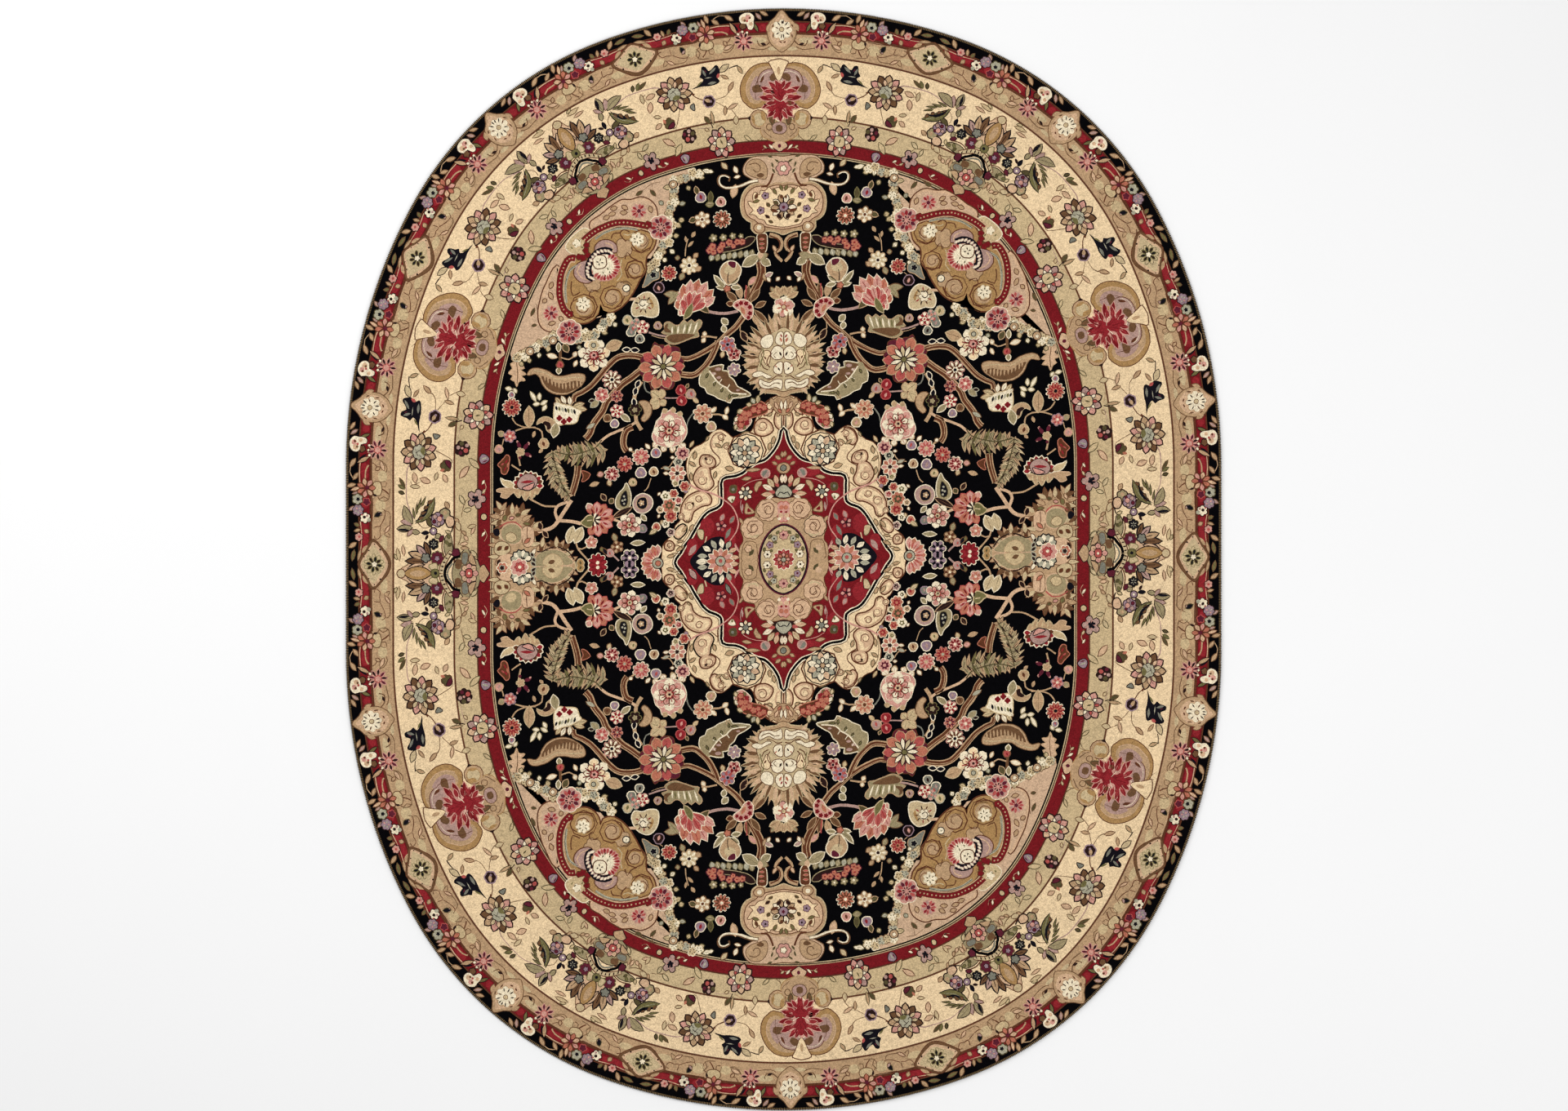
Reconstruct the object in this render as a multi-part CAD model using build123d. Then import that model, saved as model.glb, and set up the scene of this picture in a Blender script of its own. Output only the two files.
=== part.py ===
from build123d import *
import math
import os

# Overall size of the finished rug, in mm.
WIDTH = 2300.0
LENGTH = 2896.0
STRAIGHT_HALF = 245.0      # half length of the straight run on each long side
SIDE_TURN = 28.0           # degrees turned by the flat side arc
CORNER_TURN = 70.4         # degrees turned by the end of the corner arc
CORNER_RADIUS = 941.0

# Heights above the floor.
BACKING_TOP = 1.2          # woven cloth on the underside
LATEX_TOP = 1.8
CLOTH_TOP = 3.0            # tufting cloth: every pile node stands on it
LINE_TOP = 10.5            # carved outline yarns are sheared lower
GROUND_TOP = 11.0
MOTIF_TOP = 12.0
HEART_TOP = 12.5
EDGE_TOP = 10.0

# Edge finish.
WRAP = 8.0                 # width of the whipped edge
WRAP_YARN = 2.5
TAPE_WIDTH = 32.0

# Pattern repeats and the small drift the weaver left in them.
BORDER_CELL = 579.0
BORDER_LINE = 246.0
GUARD_CELL = 401.0
GUARD_LINE = 75.0
FIELD_LEAN = 0.03
FIELD_EDGE = 388.0
SMALLEST = 90.0            # clipped scraps below this area (mm2) are dropped


def outline_radii():
    """Radii of the side arc and end arc that close the quarter outline."""
    a1 = math.radians(SIDE_TURN)
    a2 = math.radians(CORNER_TURN)
    r2 = CORNER_RADIUS
    p = WIDTH / 2 - r2 * (math.cos(a1) - math.cos(a2))
    q = LENGTH / 2 - STRAIGHT_HALF - r2 * (math.sin(a2) - math.sin(a1))
    m11, m12 = 1 - math.cos(a1), math.cos(a2)
    m21, m22 = math.sin(a1), 1 - math.sin(a2)
    det = m11 * m22 - m12 * m21
    return (p * m22 - q * m12) / det, r2, (q * m11 - p * m21) / det


RADII = outline_radii()
TURNS = (0.0, math.radians(SIDE_TURN), math.radians(CORNER_TURN), math.pi / 2)


def quarter_arcs(inset):
    """Centre, radius, start and end angle of the three arcs of one quarter."""
    x, y = WIDTH / 2, STRAIGHT_HALF
    arcs = []
    for radius, lo, hi in zip(RADII, TURNS, TURNS[1:]):
        cx = x - radius * math.cos(lo)
        cy = y - radius * math.sin(lo)
        arcs.append((cx, cy, radius - inset, lo, hi))
        x = cx + radius * math.cos(hi)
        y = cy + radius * math.sin(hi)
    return arcs


def oval(inset):
    """Closed wire parallel to the rug edge, inset by the given distance."""
    edges = []
    for sx, sy in ((1, 1), (-1, 1), (-1, -1), (1, -1)):
        for cx, cy, r, lo, hi in quarter_arcs(inset):
            turns = (lo, (lo + hi) / 2, hi)
            pts = [(sx * (cx + r * math.cos(a)), sy * (cy + r * math.sin(a))) for a in turns]
            edges.append(ThreePointArc(*pts))
    side = WIDTH / 2 - inset
    for sx in (1, -1):
        edges.append(Line((sx * side, -STRAIGHT_HALF), (sx * side, STRAIGHT_HALF)))
    return Wire(edges)


def disc(inset):
    return Face(oval(inset))


def ring(outer, inner):
    return Face(oval(outer), [oval(inner)])


def along(s, inset, line):
    """Point at distance s clockwise from the top centre, measured on the parallel
    line `line`, and then at depth `inset` from the rug edge."""
    arcs = quarter_arcs(line)[::-1]
    quarter = STRAIGHT_HALF + sum(r * (hi - lo) for _, _, r, lo, hi in arcs)
    s = s % (4 * quarter)
    sector = int(s // quarter)
    s -= sector * quarter
    if sector % 2:
        s = quarter - s
    x, y = WIDTH / 2 - inset, quarter - s
    for cx, cy, r, lo, hi in arcs:
        if s <= r * (hi - lo):
            a = hi - s / r
            x = cx + (r + line - inset) * math.cos(a)
            y = cy + (r + line - inset) * math.sin(a)
            break
        s -= r * (hi - lo)
    sx = 1 if sector in (0, 1) else -1
    sy = 1 if sector in (0, 3) else -1
    return sx * x, sy * y


def drift(s, total):
    a = 2 * math.pi * s / total
    return -30 + 18 * math.cos(a) + 12 * math.sin(a) - 31 * math.sin(2 * a)


def border_map(k):
    """Map one border half cell (x along, t inward) on to the rug."""
    def place(x, t):
        s = BORDER_CELL * k + x if k % 2 == 0 else BORDER_CELL * (k + 1) - x
        return along(s + drift(s, 12 * BORDER_CELL), t, BORDER_LINE)
    return place


def guard_map(k):
    def place(x, t):
        s = GUARD_CELL * k + x if k % 2 == 0 else GUARD_CELL * (k + 1) - x
        return along(s + 0.4 * drift(s, 20 * GUARD_CELL), t, GUARD_LINE)
    return place


def field_map(sx, sy):
    def place(x, y):
        return sx * x, sy * y + FIELD_LEAN * sx * x
    return place


BORDER = [border_map(k) for k in range(12)]
BORDER_AXIS = [border_map(k) for k in range(0, 12, 2)]
GUARD = [guard_map(k) for k in range(20)]
GUARD_AXIS = [guard_map(k) for k in range(0, 20, 2)]
QUARTERS = [field_map(sx, sy) for sx in (1, -1) for sy in (1, -1)]
TOP_BOTTOM = [field_map(1, sy) for sy in (1, -1)]
LEFT_RIGHT = [field_map(sx, 1) for sx in (1, -1)]
CENTRE = [field_map(1, 1)]


# Outline shapes: each takes the placing function and returns a face.
def loop(place, pts):
    """Closed outline of arcs: every second point is the middle of an arc."""
    p = [place(*q) for q in pts]
    p.append(p[0])
    return Face(Wire([ThreePointArc(*p[i:i + 3]) for i in range(0, len(pts), 2)]))


def mirrored(place, half, axis=0.0):
    """Closed outline from the half on one side of the axis, tip to tip."""
    back = [(2 * axis - x, y) for x, y in half[-2:0:-1]]
    return loop(place, half + back)


def four_way(place, quarter):
    """Closed outline from its first-quarter points, top to side."""
    right = quarter + [(x, -y) for x, y in quarter[-2::-1]]
    return mirrored(place, right)


def flower(place, x, y, r):
    return Face(Wire([Pos(*place(x, y)) * Edge.make_circle(r)]))


def leaf(place, x0, y0, x1, y1, width, bend=0.0):
    """Pointed leaf between two tips; bend pushes the middle sideways."""
    d = math.hypot(x1 - x0, y1 - y0)
    nx, ny = (y0 - y1) / d, (x1 - x0) / d
    mx, my = (x0 + x1) / 2, (y0 + y1) / 2
    half = width / 2
    left = (mx + nx * (bend + half), my + ny * (bend + half))
    right = (mx + nx * (bend - half), my + ny * (bend - half))
    return loop(place, [(x0, y0), left, (x1, y1), right])


def stem(place, x0, y0, xm, ym, x1, y1, width):
    """Curved stem of even width through three points."""
    d = math.hypot(x1 - x0, y1 - y0)
    nx, ny = (y0 - y1) / d * width / 2, (x1 - x0) / d * width / 2
    a, b, c = [place(x + nx, y + ny) for x, y in ((x0, y0), (xm, ym), (x1, y1))]
    e, f, g = [place(x - nx, y - ny) for x, y in ((x1, y1), (xm, ym), (x0, y0))]
    return Face(Wire([ThreePointArc(a, b, c), Line(c, e), ThreePointArc(e, f, g), Line(g, a)]))


def every(shape, places, items):
    return [shape(place, *item) for place in places for item in items]


# Each layer: node name, top height, faces.  Later layers are tufted over earlier
# ones, so every earlier layer is cut back to make room for them.
LAYERS = []


def layer(name, top, faces):
    LAYERS.append((name, top, faces))


# ---- grounds and outline yarns, from the edge inward ----
layer("edge_band_pile", GROUND_TOP, [ring(WRAP, 34)])
layer("guard_outline_pile", LINE_TOP, [ring(34, 38), ring(64, 70)])
layer("guard_red_ground", GROUND_TOP, [ring(38, 64)])
layer("guard_tan_ground", GROUND_TOP, [ring(70, 124)])
layer("border_outline_pile", LINE_TOP, [ring(124, 128), ring(284, 288), ring(346, 349)])
layer("border_ivory_ground", GROUND_TOP, [ring(128, 284)])
layer("border_sage_ground", GROUND_TOP, [ring(288, 346)])
layer("inner_red_band", GROUND_TOP, [ring(349, 380)])
layer("field_edge_lines", LINE_TOP, [ring(380, 382), ring(382, 386), ring(386, FIELD_EDGE)])
field = disc(FIELD_EDGE)
layer("field_black_ground", GROUND_TOP, [field])

# ---- spandrels: the pale corner grounds outside a scalloped fringe ----
SPANDREL = [
    (200, 1140), (206, 1070), (226, 1016), (262, 1018), (290, 990), (292, 960), (312, 925),
    (300, 872), (340, 838), (352, 740), (440, 690), (462, 620), (540, 606), (600, 606), (640, 584),
    (690, 580), (722, 530), (790, 540), (860, 480), (900, 900)]
SPANDRELS = [face & field for face in [loop(p, SPANDREL) for p in QUARTERS]]
layer("spandrel_grounds", GROUND_TOP, [f for s in SPANDRELS for f in s.faces()])
layer("spandrel_flowers", MOTIF_TOP, every(flower, QUARTERS, [
    (298, 950, 15), (286, 902, 14), (330, 818, 16), (470, 630, 15), (532, 600, 15), (624, 588, 16),
    (690, 560, 14), (378, 940, 16), (634, 664, 17), (556, 856, 20)]))

# ---- central medallion, built from the rim inward ----
RIM = [(0, 432), (70, 410), (112, 346), (170, 352), (214, 312), (258, 290), (250, 225), (268, 185), (272, 128),
       (264, 84), (308, 52), (340, 36), (352, 0)]
RED = [(0, 318), (40, 262), (100, 242), (150, 228), (166, 170), (206, 140), (226, 92), (262, 56), (290, 0)]
DARK = [(0, 334), (48, 276), (106, 256), (160, 240), (180, 178), (218, 148), (240, 98), (276, 62), (306, 0)]
medallion = CENTRE[0]
layer("medallion_rim", GROUND_TOP, [four_way(medallion, RIM)])
layer("medallion_outline", LINE_TOP, [four_way(medallion, DARK)])
layer("medallion_red_ground", GROUND_TOP, [four_way(medallion, RED)])
layer("medallion_scallops", MOTIF_TOP, [
    four_way(medallion, [(0, 165), (38, 166), (58, 120), (104, 118), (100, 66), (104, 34), (112, 0)])])
layer("centre_oval", LINE_TOP, [four_way(medallion, [(0, 91), (46, 62), (63, 0)])])
layer("medallion_palmettes", MOTIF_TOP,
      [mirrored(p, [(0, 262), (24, 244), (52, 206), (30, 170), (0, 166)]) for p in TOP_BOTTOM]
      + [flower(p, 172, 0, 42) for p in LEFT_RIGHT])
layer("medallion_blossoms", MOTIF_TOP,
      every(flower, QUARTERS, [(163, 92, 14), (102, 178, 16), (135, 130, 10)])
      + [flower(medallion, 0, 0, 23)])
layer("rim_rondels", MOTIF_TOP,
      every(flower, QUARTERS,
            [(52, 366, 24), (180, 302, 20), (246, 136, 15), (112, 300, 24), (216, 232, 17)])
      + [flower(p, 326, 0, 17) for p in LEFT_RIGHT])

# ---- stems and leaves of the field ----
layer("field_stems", GROUND_TOP, every(stem, QUARTERS, [
    (112, 642, 180, 580, 268, 540, 11), (186, 556, 218, 512, 278, 498, 11),
    (384, 545, 478, 534, 534, 452, 11), (384, 505, 456, 448, 500, 372, 11),
    (545, 262, 556, 200, 540, 140, 11), (560, 164, 610, 146, 640, 190, 9),
    (66, 778, 78, 720, 96, 684, 18)]))
layer("field_leaves", MOTIF_TOP, every(leaf, QUARTERS, [
    (90, 440, 200, 492, 46), (222, 586, 305, 622, 40), (460, 312, 592, 306, 52),
    (602, 296, 552, 180, 44), (526, 494, 590, 470, 34), (594, 470, 664, 512, 30),
    (640, 410, 640, 456, 24), (655, 380, 684, 408, 16), (520, 86, 585, 84, 24),
    (700, 182, 748, 228, 22), (104, 826, 196, 832, 20)])
      + [leaf(p, 0, 688, 0, 742, 38) for p in TOP_BOTTOM])
layer("field_pods", MOTIF_TOP, every(leaf, QUARTERS, [(332, 155, 396, 155, 38), (428, 150, 428, 210, 30)])
      + every(flower, QUARTERS, [(140, 755, 20)]))

# ---- flowers of the field ----
layer("field_star_flowers", MOTIF_TOP, every(flower, QUARTERS, [(325, 515, 54), (480, 120, 40)]))
layer("field_star_hearts", HEART_TOP, every(flower, QUARTERS, [(325, 515, 28), (500, 118, 15)]))
layer("field_peonies", MOTIF_TOP,
      every(flower, QUARTERS, [(300, 345, 40), (497, 555, 36), (402, 105, 28), (570, 408, 33)]))
layer("field_carnations", MOTIF_TOP, every(flower, QUARTERS, [(100, 656, 22), (668, 222, 33)])
      + [mirrored(p, [(232, 648), (264, 660), (286, 700), (262, 746), (232, 752)], 232) for p in QUARTERS])
layer("field_rosettes", MOTIF_TOP, every(flower, QUARTERS, [
    (372, 282, 20), (418, 262, 16), (487, 22, 17), (365, 676, 24), (148, 546, 15), (130, 505, 15),
    (215, 392, 20), (453, 487, 20), (440, 404, 15), (715, 420, 21), (320, 872, 22), (562, 622, 20),
    (160, 897, 20), (215, 900, 16), (248, 782, 20), (304, 756, 17), (328, 430, 20),
    (730, 268, 17)]))
layer("field_buds", MOTIF_TOP, every(flower, QUARTERS, [
    (335, 290, 10), (520, 236, 12), (437, 436, 10), (445, 370, 9), (243, 446, 10), (378, 596, 10),
    (625, 372, 10), (630, 322, 10), (165, 948, 10), (218, 962, 10), (370, 630, 12), (408, 20, 14)]))

# ---- large palmettes on the axes ----
layer("pendant_palmettes", MOTIF_TOP, [
    mirrored(p, [(0, 640), (44, 628), (66, 578), (98, 540), (84, 480), (56, 444), (0, 430)])
    for p in TOP_BOTTOM])
layer("end_vases", MOTIF_TOP, [
    mirrored(p, [(0, 852), (60, 850), (92, 884), (118, 930), (76, 984), (78, 1026), (0, 1046)])
    for p in TOP_BOTTOM])
layer("axis_palmette_hearts", HEART_TOP,
      [mirrored(p, [(0, 600), (34, 540), (0, 466)]) for p in TOP_BOTTOM]
      + [flower(p, 0, 664, 20) for p in TOP_BOTTOM]
      + [mirrored(p, [(0, 985), (34, 930), (0, 884)]) for p in TOP_BOTTOM]
      + every(flower, QUARTERS, [(68, 928, 20)]))
SIDE_VASE = [(672, 0), (700, 66), (672, 110), (706, 150), (752, 140), (757, 0), (752, -140), (706, -150),
             (672, -110), (700, -66)]
SIDE_BULB = [(556, 0), (584, 50), (636, 54), (656, 0), (636, -54), (584, -50)]
layer("side_vases", MOTIF_TOP, [loop(p, outline) for p in LEFT_RIGHT for outline in (SIDE_VASE, SIDE_BULB)])
layer("side_vase_flowers", HEART_TOP, every(flower, QUARTERS, [(728, 92, 16)])
      + [flower(p, x, 0, 20) for p in LEFT_RIGHT for x in (606, 718)])

# ---- corner cartouches, one in each spandrel ----
layer("corner_cartouches", MOTIF_TOP, [loop(p, [
    (350, 842), (344, 790), (392, 762), (404, 706), (462, 682), (500, 642), (556, 668), (590, 730),
    (548, 790), (532, 856), (470, 884), (404, 894)]) for p in QUARTERS])
layer("corner_crests", HEART_TOP, every(stem, QUARTERS, [
    (364, 906, 440, 932, 516, 888, 14), (574, 818, 616, 744, 592, 664, 14)]))
layer("corner_hearts", HEART_TOP, every(flower, QUARTERS, [(470, 778, 40)]))

# ---- main border ----
layer("border_leaves", MOTIF_TOP, every(leaf, BORDER, [
    (128, 144, 158, 166, 13), (344, 148, 378, 146, 9), (396, 310, 438, 320, 22),
    (414, 152, 452, 178, 18), (468, 174, 470, 136, 14), (456, 186, 400, 228, 22)]))
layer("border_star_flowers", MOTIF_TOP, every(flower, BORDER, [(283, 193, 40), (180, 336, 34)]))
layer("border_star_hearts", HEART_TOP, every(flower, BORDER, [(283, 193, 16), (180, 336, 13)]))
layer("border_rosettes", MOTIF_TOP, every(flower, BORDER, [
    (447, 254, 17), (500, 233, 11), (397, 350, 14), (268, 308, 17), (298, 364, 13)]))
layer("border_tulips_and_buds", MOTIF_TOP, every(flower, BORDER, [
    (186, 162, 22), (195, 226, 13), (324, 262, 13), (440, 364, 7)]))
layer("palmette_scrolls", MOTIF_TOP, every(flower, BORDER, [(66, 204, 44), (74, 300, 17)]))
layer("palmette_shells", MOTIF_TOP, [mirrored(p, [(0, 274), (46, 304), (0, 374)]) for p in BORDER_AXIS])
layer("palmette_hearts", HEART_TOP, [mirrored(p, [(0, 186), (20, 234), (0, 290)]) for p in BORDER_AXIS])
LATE = BORDER_CELL
layer("vase_crowns", MOTIF_TOP, [
    mirrored(p, [(LATE, 140), (LATE - 54, 200), (LATE, 250)], LATE) for p in BORDER_AXIS])
layer("vase_bodies", MOTIF_TOP, [
    mirrored(p, [(LATE, 290), (LATE - 46, 322), (LATE, 368)], LATE) for p in BORDER_AXIS])
layer("vase_collars", HEART_TOP, [
    mirrored(p, [(LATE, 256), (LATE - 30, 264), (LATE - 48, 286), (LATE - 24, 278), (LATE, 275)], LATE)
    for p in BORDER_AXIS])
layer("vase_flowers", HEART_TOP,
      [flower(p, LATE, t, r) for p in BORDER_AXIS for t, r in ((324, 18), (200, 15))])

# ---- outer guard ----
layer("guard_cartouches", MOTIF_TOP, [mirrored(p, [(0, 12), (36, 64), (0, 116)]) for p in GUARD_AXIS])
layer("guard_diamonds", MOTIF_TOP, [
    mirrored(p, [(GUARD_CELL, 40), (GUARD_CELL - 38, 52), (GUARD_CELL - 58, 77), (GUARD_CELL - 38, 102),
                 (GUARD_CELL, 114)], GUARD_CELL) for p in GUARD_AXIS])
layer("guard_flowers", MOTIF_TOP, every(flower, GUARD, [(107, 82, 17), (205, 56, 20), (278, 54, 11)])
      + [flower(p, GUARD_CELL, 77, 22) for p in GUARD_AXIS])


def box_of(face):
    b = face.bounding_box()
    return b.min.X, b.min.Y, b.max.X, b.max.Y


def apart(a, b):
    return a[2] < b[0] or b[2] < a[0] or a[3] < b[1] or b[3] < a[1]


def cut_back(face, covers):
    """Face with every overlapping cover removed; returns the pieces left."""
    box = box_of(face)
    hits = [c for c, cbox in covers if not apart(box, cbox)]
    if not hits:
        return [face]
    return [f for f in face.cut(*hits).faces() if f.area > SMALLEST]


def pile(face, top):
    """Tufted block of one yarn, standing on the tufting cloth."""
    return Solid.extrude(Pos(0, 0, CLOTH_TOP) * face, Vector(0, 0, top - CLOTH_TOP))


def slab(face, low, high):
    return Solid.extrude(Pos(0, 0, low) * face, Vector(0, 0, high - low))


os.makedirs("parts", exist_ok=True)


def save(name, solids):
    export_step(Compound(children=solids), f"parts/{name}.step")


# ---- backing and edge ----
save("secondary_backing", [slab(disc(WRAP + TAPE_WIDTH), 0, BACKING_TOP)])
save("binding_tape", [slab(ring(WRAP, WRAP + TAPE_WIDTH), 0, BACKING_TOP)])
save("latex_coat", [slab(disc(WRAP), BACKING_TOP, LATEX_TOP)])
save("primary_backing", [slab(disc(WRAP), LATEX_TOP, CLOTH_TOP)])
save("edge_cord", [slab(ring(WRAP_YARN, WRAP), WRAP_YARN, EDGE_TOP - WRAP_YARN)])
cord_room = slab(ring(WRAP_YARN, WRAP), WRAP_YARN, EDGE_TOP - WRAP_YARN)
save("edge_serging", [slab(ring(0, WRAP), 0, EDGE_TOP) - cord_room])

# ---- pile, from the last tufted layer back to the grounds ----
covers = []
for name, top, faces in reversed(LAYERS):
    kept = []
    for face in faces:
        kept += cut_back(face, covers + [(k, box_of(k)) for k in kept])
    covers += [(f, box_of(f)) for f in kept]
    save(name, [pile(f, top) for f in kept])
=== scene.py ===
import math
import random

import bpy

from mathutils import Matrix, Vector


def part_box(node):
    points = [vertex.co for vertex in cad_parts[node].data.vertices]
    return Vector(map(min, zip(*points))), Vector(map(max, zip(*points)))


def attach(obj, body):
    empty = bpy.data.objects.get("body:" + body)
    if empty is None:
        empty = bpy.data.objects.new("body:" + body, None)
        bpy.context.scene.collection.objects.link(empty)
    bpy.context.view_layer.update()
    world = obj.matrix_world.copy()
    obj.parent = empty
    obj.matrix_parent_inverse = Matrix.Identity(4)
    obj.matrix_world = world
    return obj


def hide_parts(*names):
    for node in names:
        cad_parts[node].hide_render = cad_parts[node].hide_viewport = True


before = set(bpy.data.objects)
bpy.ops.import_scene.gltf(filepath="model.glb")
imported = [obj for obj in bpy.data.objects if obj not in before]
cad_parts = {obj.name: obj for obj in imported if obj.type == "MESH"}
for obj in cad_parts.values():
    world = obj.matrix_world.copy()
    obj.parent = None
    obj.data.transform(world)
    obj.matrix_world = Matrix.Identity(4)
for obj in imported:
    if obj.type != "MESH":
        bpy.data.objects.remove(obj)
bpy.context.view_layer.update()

# ---------------------------------------------------------------------------
# Canvas on the underside.  A plain woven cotton cloth glued over the latex when
# the tufting is finished; it is what the rug lies on, so it is laid flat.
# ---------------------------------------------------------------------------
MM = 0.001
rim_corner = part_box("edge_serging")[1]
HALF_WIDTH = rim_corner[0] / MM
HALF_LENGTH = rim_corner[1] / MM
STRAIGHT_HALF = 245.0
SIDE_TURN = math.radians(28.0)
CORNER_TURN = math.radians(70.4)
CORNER_RADIUS = 941.0


def closing_radii():
    """Radii of the long side arc and the end arc that close the quarter outline."""
    across = HALF_WIDTH - CORNER_RADIUS * (math.cos(SIDE_TURN) - math.cos(CORNER_TURN))
    along = (HALF_LENGTH - STRAIGHT_HALF
             - CORNER_RADIUS * (math.sin(CORNER_TURN) - math.sin(SIDE_TURN)))
    a, b = 1 - math.cos(SIDE_TURN), math.cos(CORNER_TURN)
    c, d = math.sin(SIDE_TURN), 1 - math.sin(CORNER_TURN)
    det = a * d - b * c
    return (across * d - along * b) / det, (along * a - across * c) / det


def quarter_arcs():
    """Centre, radius, first and last angle of the arcs from the side to the end."""
    side, end = closing_radii()
    turns = (0.0, SIDE_TURN, CORNER_TURN, math.pi / 2)
    x, y = HALF_WIDTH, STRAIGHT_HALF
    arcs = []
    for radius, lo, hi in zip((side, CORNER_RADIUS, end), turns, turns[1:]):
        cx = x - radius * math.cos(lo)
        cy = y - radius * math.sin(lo)
        arcs.append((cx, cy, radius, lo, hi))
        x = cx + radius * math.cos(hi)
        y = cy + radius * math.sin(hi)
    return arcs


ARCS = quarter_arcs()


def around(s, inset, line):
    """Point at distance s clockwise from the top, measured on the parallel `line`
    millimetres in from the edge, and then `inset` in from the edge."""
    lengths = [(r - line) * (hi - lo) for _, _, r, lo, hi in ARCS]
    quarter = STRAIGHT_HALF + sum(lengths)
    s = s % (4 * quarter)
    sector = int(s // quarter)
    s -= sector * quarter
    if sector % 2:
        s = quarter - s
    x, y = HALF_WIDTH - inset, quarter - s
    for (cx, cy, r, lo, hi), length in zip(reversed(ARCS), reversed(lengths)):
        if s <= length:
            angle = hi - s / (r - line)
            x = cx + (r - inset) * math.cos(angle)
            y = cy + (r - inset) * math.sin(angle)
            break
        s -= length
    return (x if sector in (0, 1) else -x), (y if sector in (0, 3) else -y)


def edge_length(inset):
    """Length of the parallel oval."""
    return 4 * (STRAIGHT_HALF + sum((r - inset) * (hi - lo) for _, _, r, lo, hi in ARCS))


def oval(inset, count=360):
    """Points of the parallel oval, counter-clockwise."""
    total = edge_length(inset)
    return [around(-total * i / count, inset, inset) for i in range(count)]


def mesh_object(name, verts, faces, materials, face_materials=None, smooth=False):
    """New object at the origin from points in metres."""
    mesh = bpy.data.meshes.new(name)
    mesh.from_pydata(verts, [], faces)
    for material in materials:
        mesh.materials.append(material)
    if face_materials is not None:
        mesh.polygons.foreach_set("material_index", face_materials)
    mesh.polygons.foreach_set("use_smooth", [smooth] * len(mesh.polygons))
    mesh.update()
    piece = bpy.data.objects.new(name, mesh)
    bpy.context.scene.collection.objects.link(piece)
    return piece


def layered(rings, closed_ends=True):
    """Vertices and faces of a closed skin over stacked rings of (points, height)."""
    verts, faces = [], []
    n = len(rings[0][0])
    for points, z in rings:
        verts += [(x * MM, y * MM, z * MM) for x, y in points]
    for k in range(len(rings) - 1):
        for i in range(n):
            j = (i + 1) % n
            faces.append((k * n + i, k * n + j, (k + 1) * n + j, (k + 1) * n + i))
    if closed_ends:
        faces.append(tuple(range(n - 1, -1, -1)))
        faces.append(tuple((len(rings) - 1) * n + i for i in range(n)))
    return verts, faces


def new_material(name, base, roughness, sheen=0.0):
    """Principled material with its constant values on the shader's own sockets."""
    material = bpy.data.materials.new(name)
    material.use_nodes = True
    shader = material.node_tree.nodes["Principled BSDF"]
    shader.inputs["Base Color"].default_value = base
    shader.inputs["Roughness"].default_value = roughness
    shader.inputs["Specular IOR Level"].default_value = 0.2
    shader.inputs["Sheen Weight"].default_value = sheen
    shader.inputs["Sheen Roughness"].default_value = 0.5
    return material, shader


def srgb(red, green, blue):
    """Linear colour from the everyday 0 to 255 scale."""
    def linear(c):
        c /= 255
        return c / 12.92 if c <= 0.04045 else ((c + 0.055) / 1.055) ** 2.4
    return (linear(red), linear(green), linear(blue), 1.0)


def group_node(material, group, **values):
    """Place a node group in a material and set its named inputs."""
    node = material.node_tree.nodes.new("ShaderNodeGroup")
    node.node_tree = group
    for key, value in values.items():
        node.inputs[key.replace("_", " ")].default_value = value
    return node


def open_group(name, inputs, outputs):
    """Empty shader node group with named sockets; returns it with its end nodes."""
    group = bpy.data.node_groups.new(name, "ShaderNodeTree")
    for label, kind, value in inputs:
        socket = group.interface.new_socket(label, in_out="INPUT", socket_type=kind)
        socket.default_value = value
    for label, kind in outputs:
        group.interface.new_socket(label, in_out="OUTPUT", socket_type=kind)
    return group, group.nodes.new("NodeGroupInput"), group.nodes.new("NodeGroupOutput")


def math_node(tree, operation, a, b=None, clamp=False):
    """Arithmetic on values or sockets; returns the output socket."""
    node = tree.nodes.new("ShaderNodeMath")
    node.operation = operation
    node.use_clamp = clamp
    for socket, value in zip(node.inputs, (a, b)):
        if value is None:
            continue
        if isinstance(value, (int, float)):
            socket.default_value = value
        else:
            tree.links.new(value, socket)
    return node.outputs[0]


def mixed(tree, factor, a, b):
    """Colour mix whose inputs may be values or sockets."""
    node = tree.nodes.new("ShaderNodeMix")
    node.data_type = "RGBA"
    for socket, value in zip((node.inputs[0], node.inputs[6], node.inputs[7]), (factor, a, b)):
        if isinstance(value, bpy.types.NodeSocket):
            tree.links.new(value, socket)
        else:
            socket.default_value = value
    return node.outputs[2]


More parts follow.
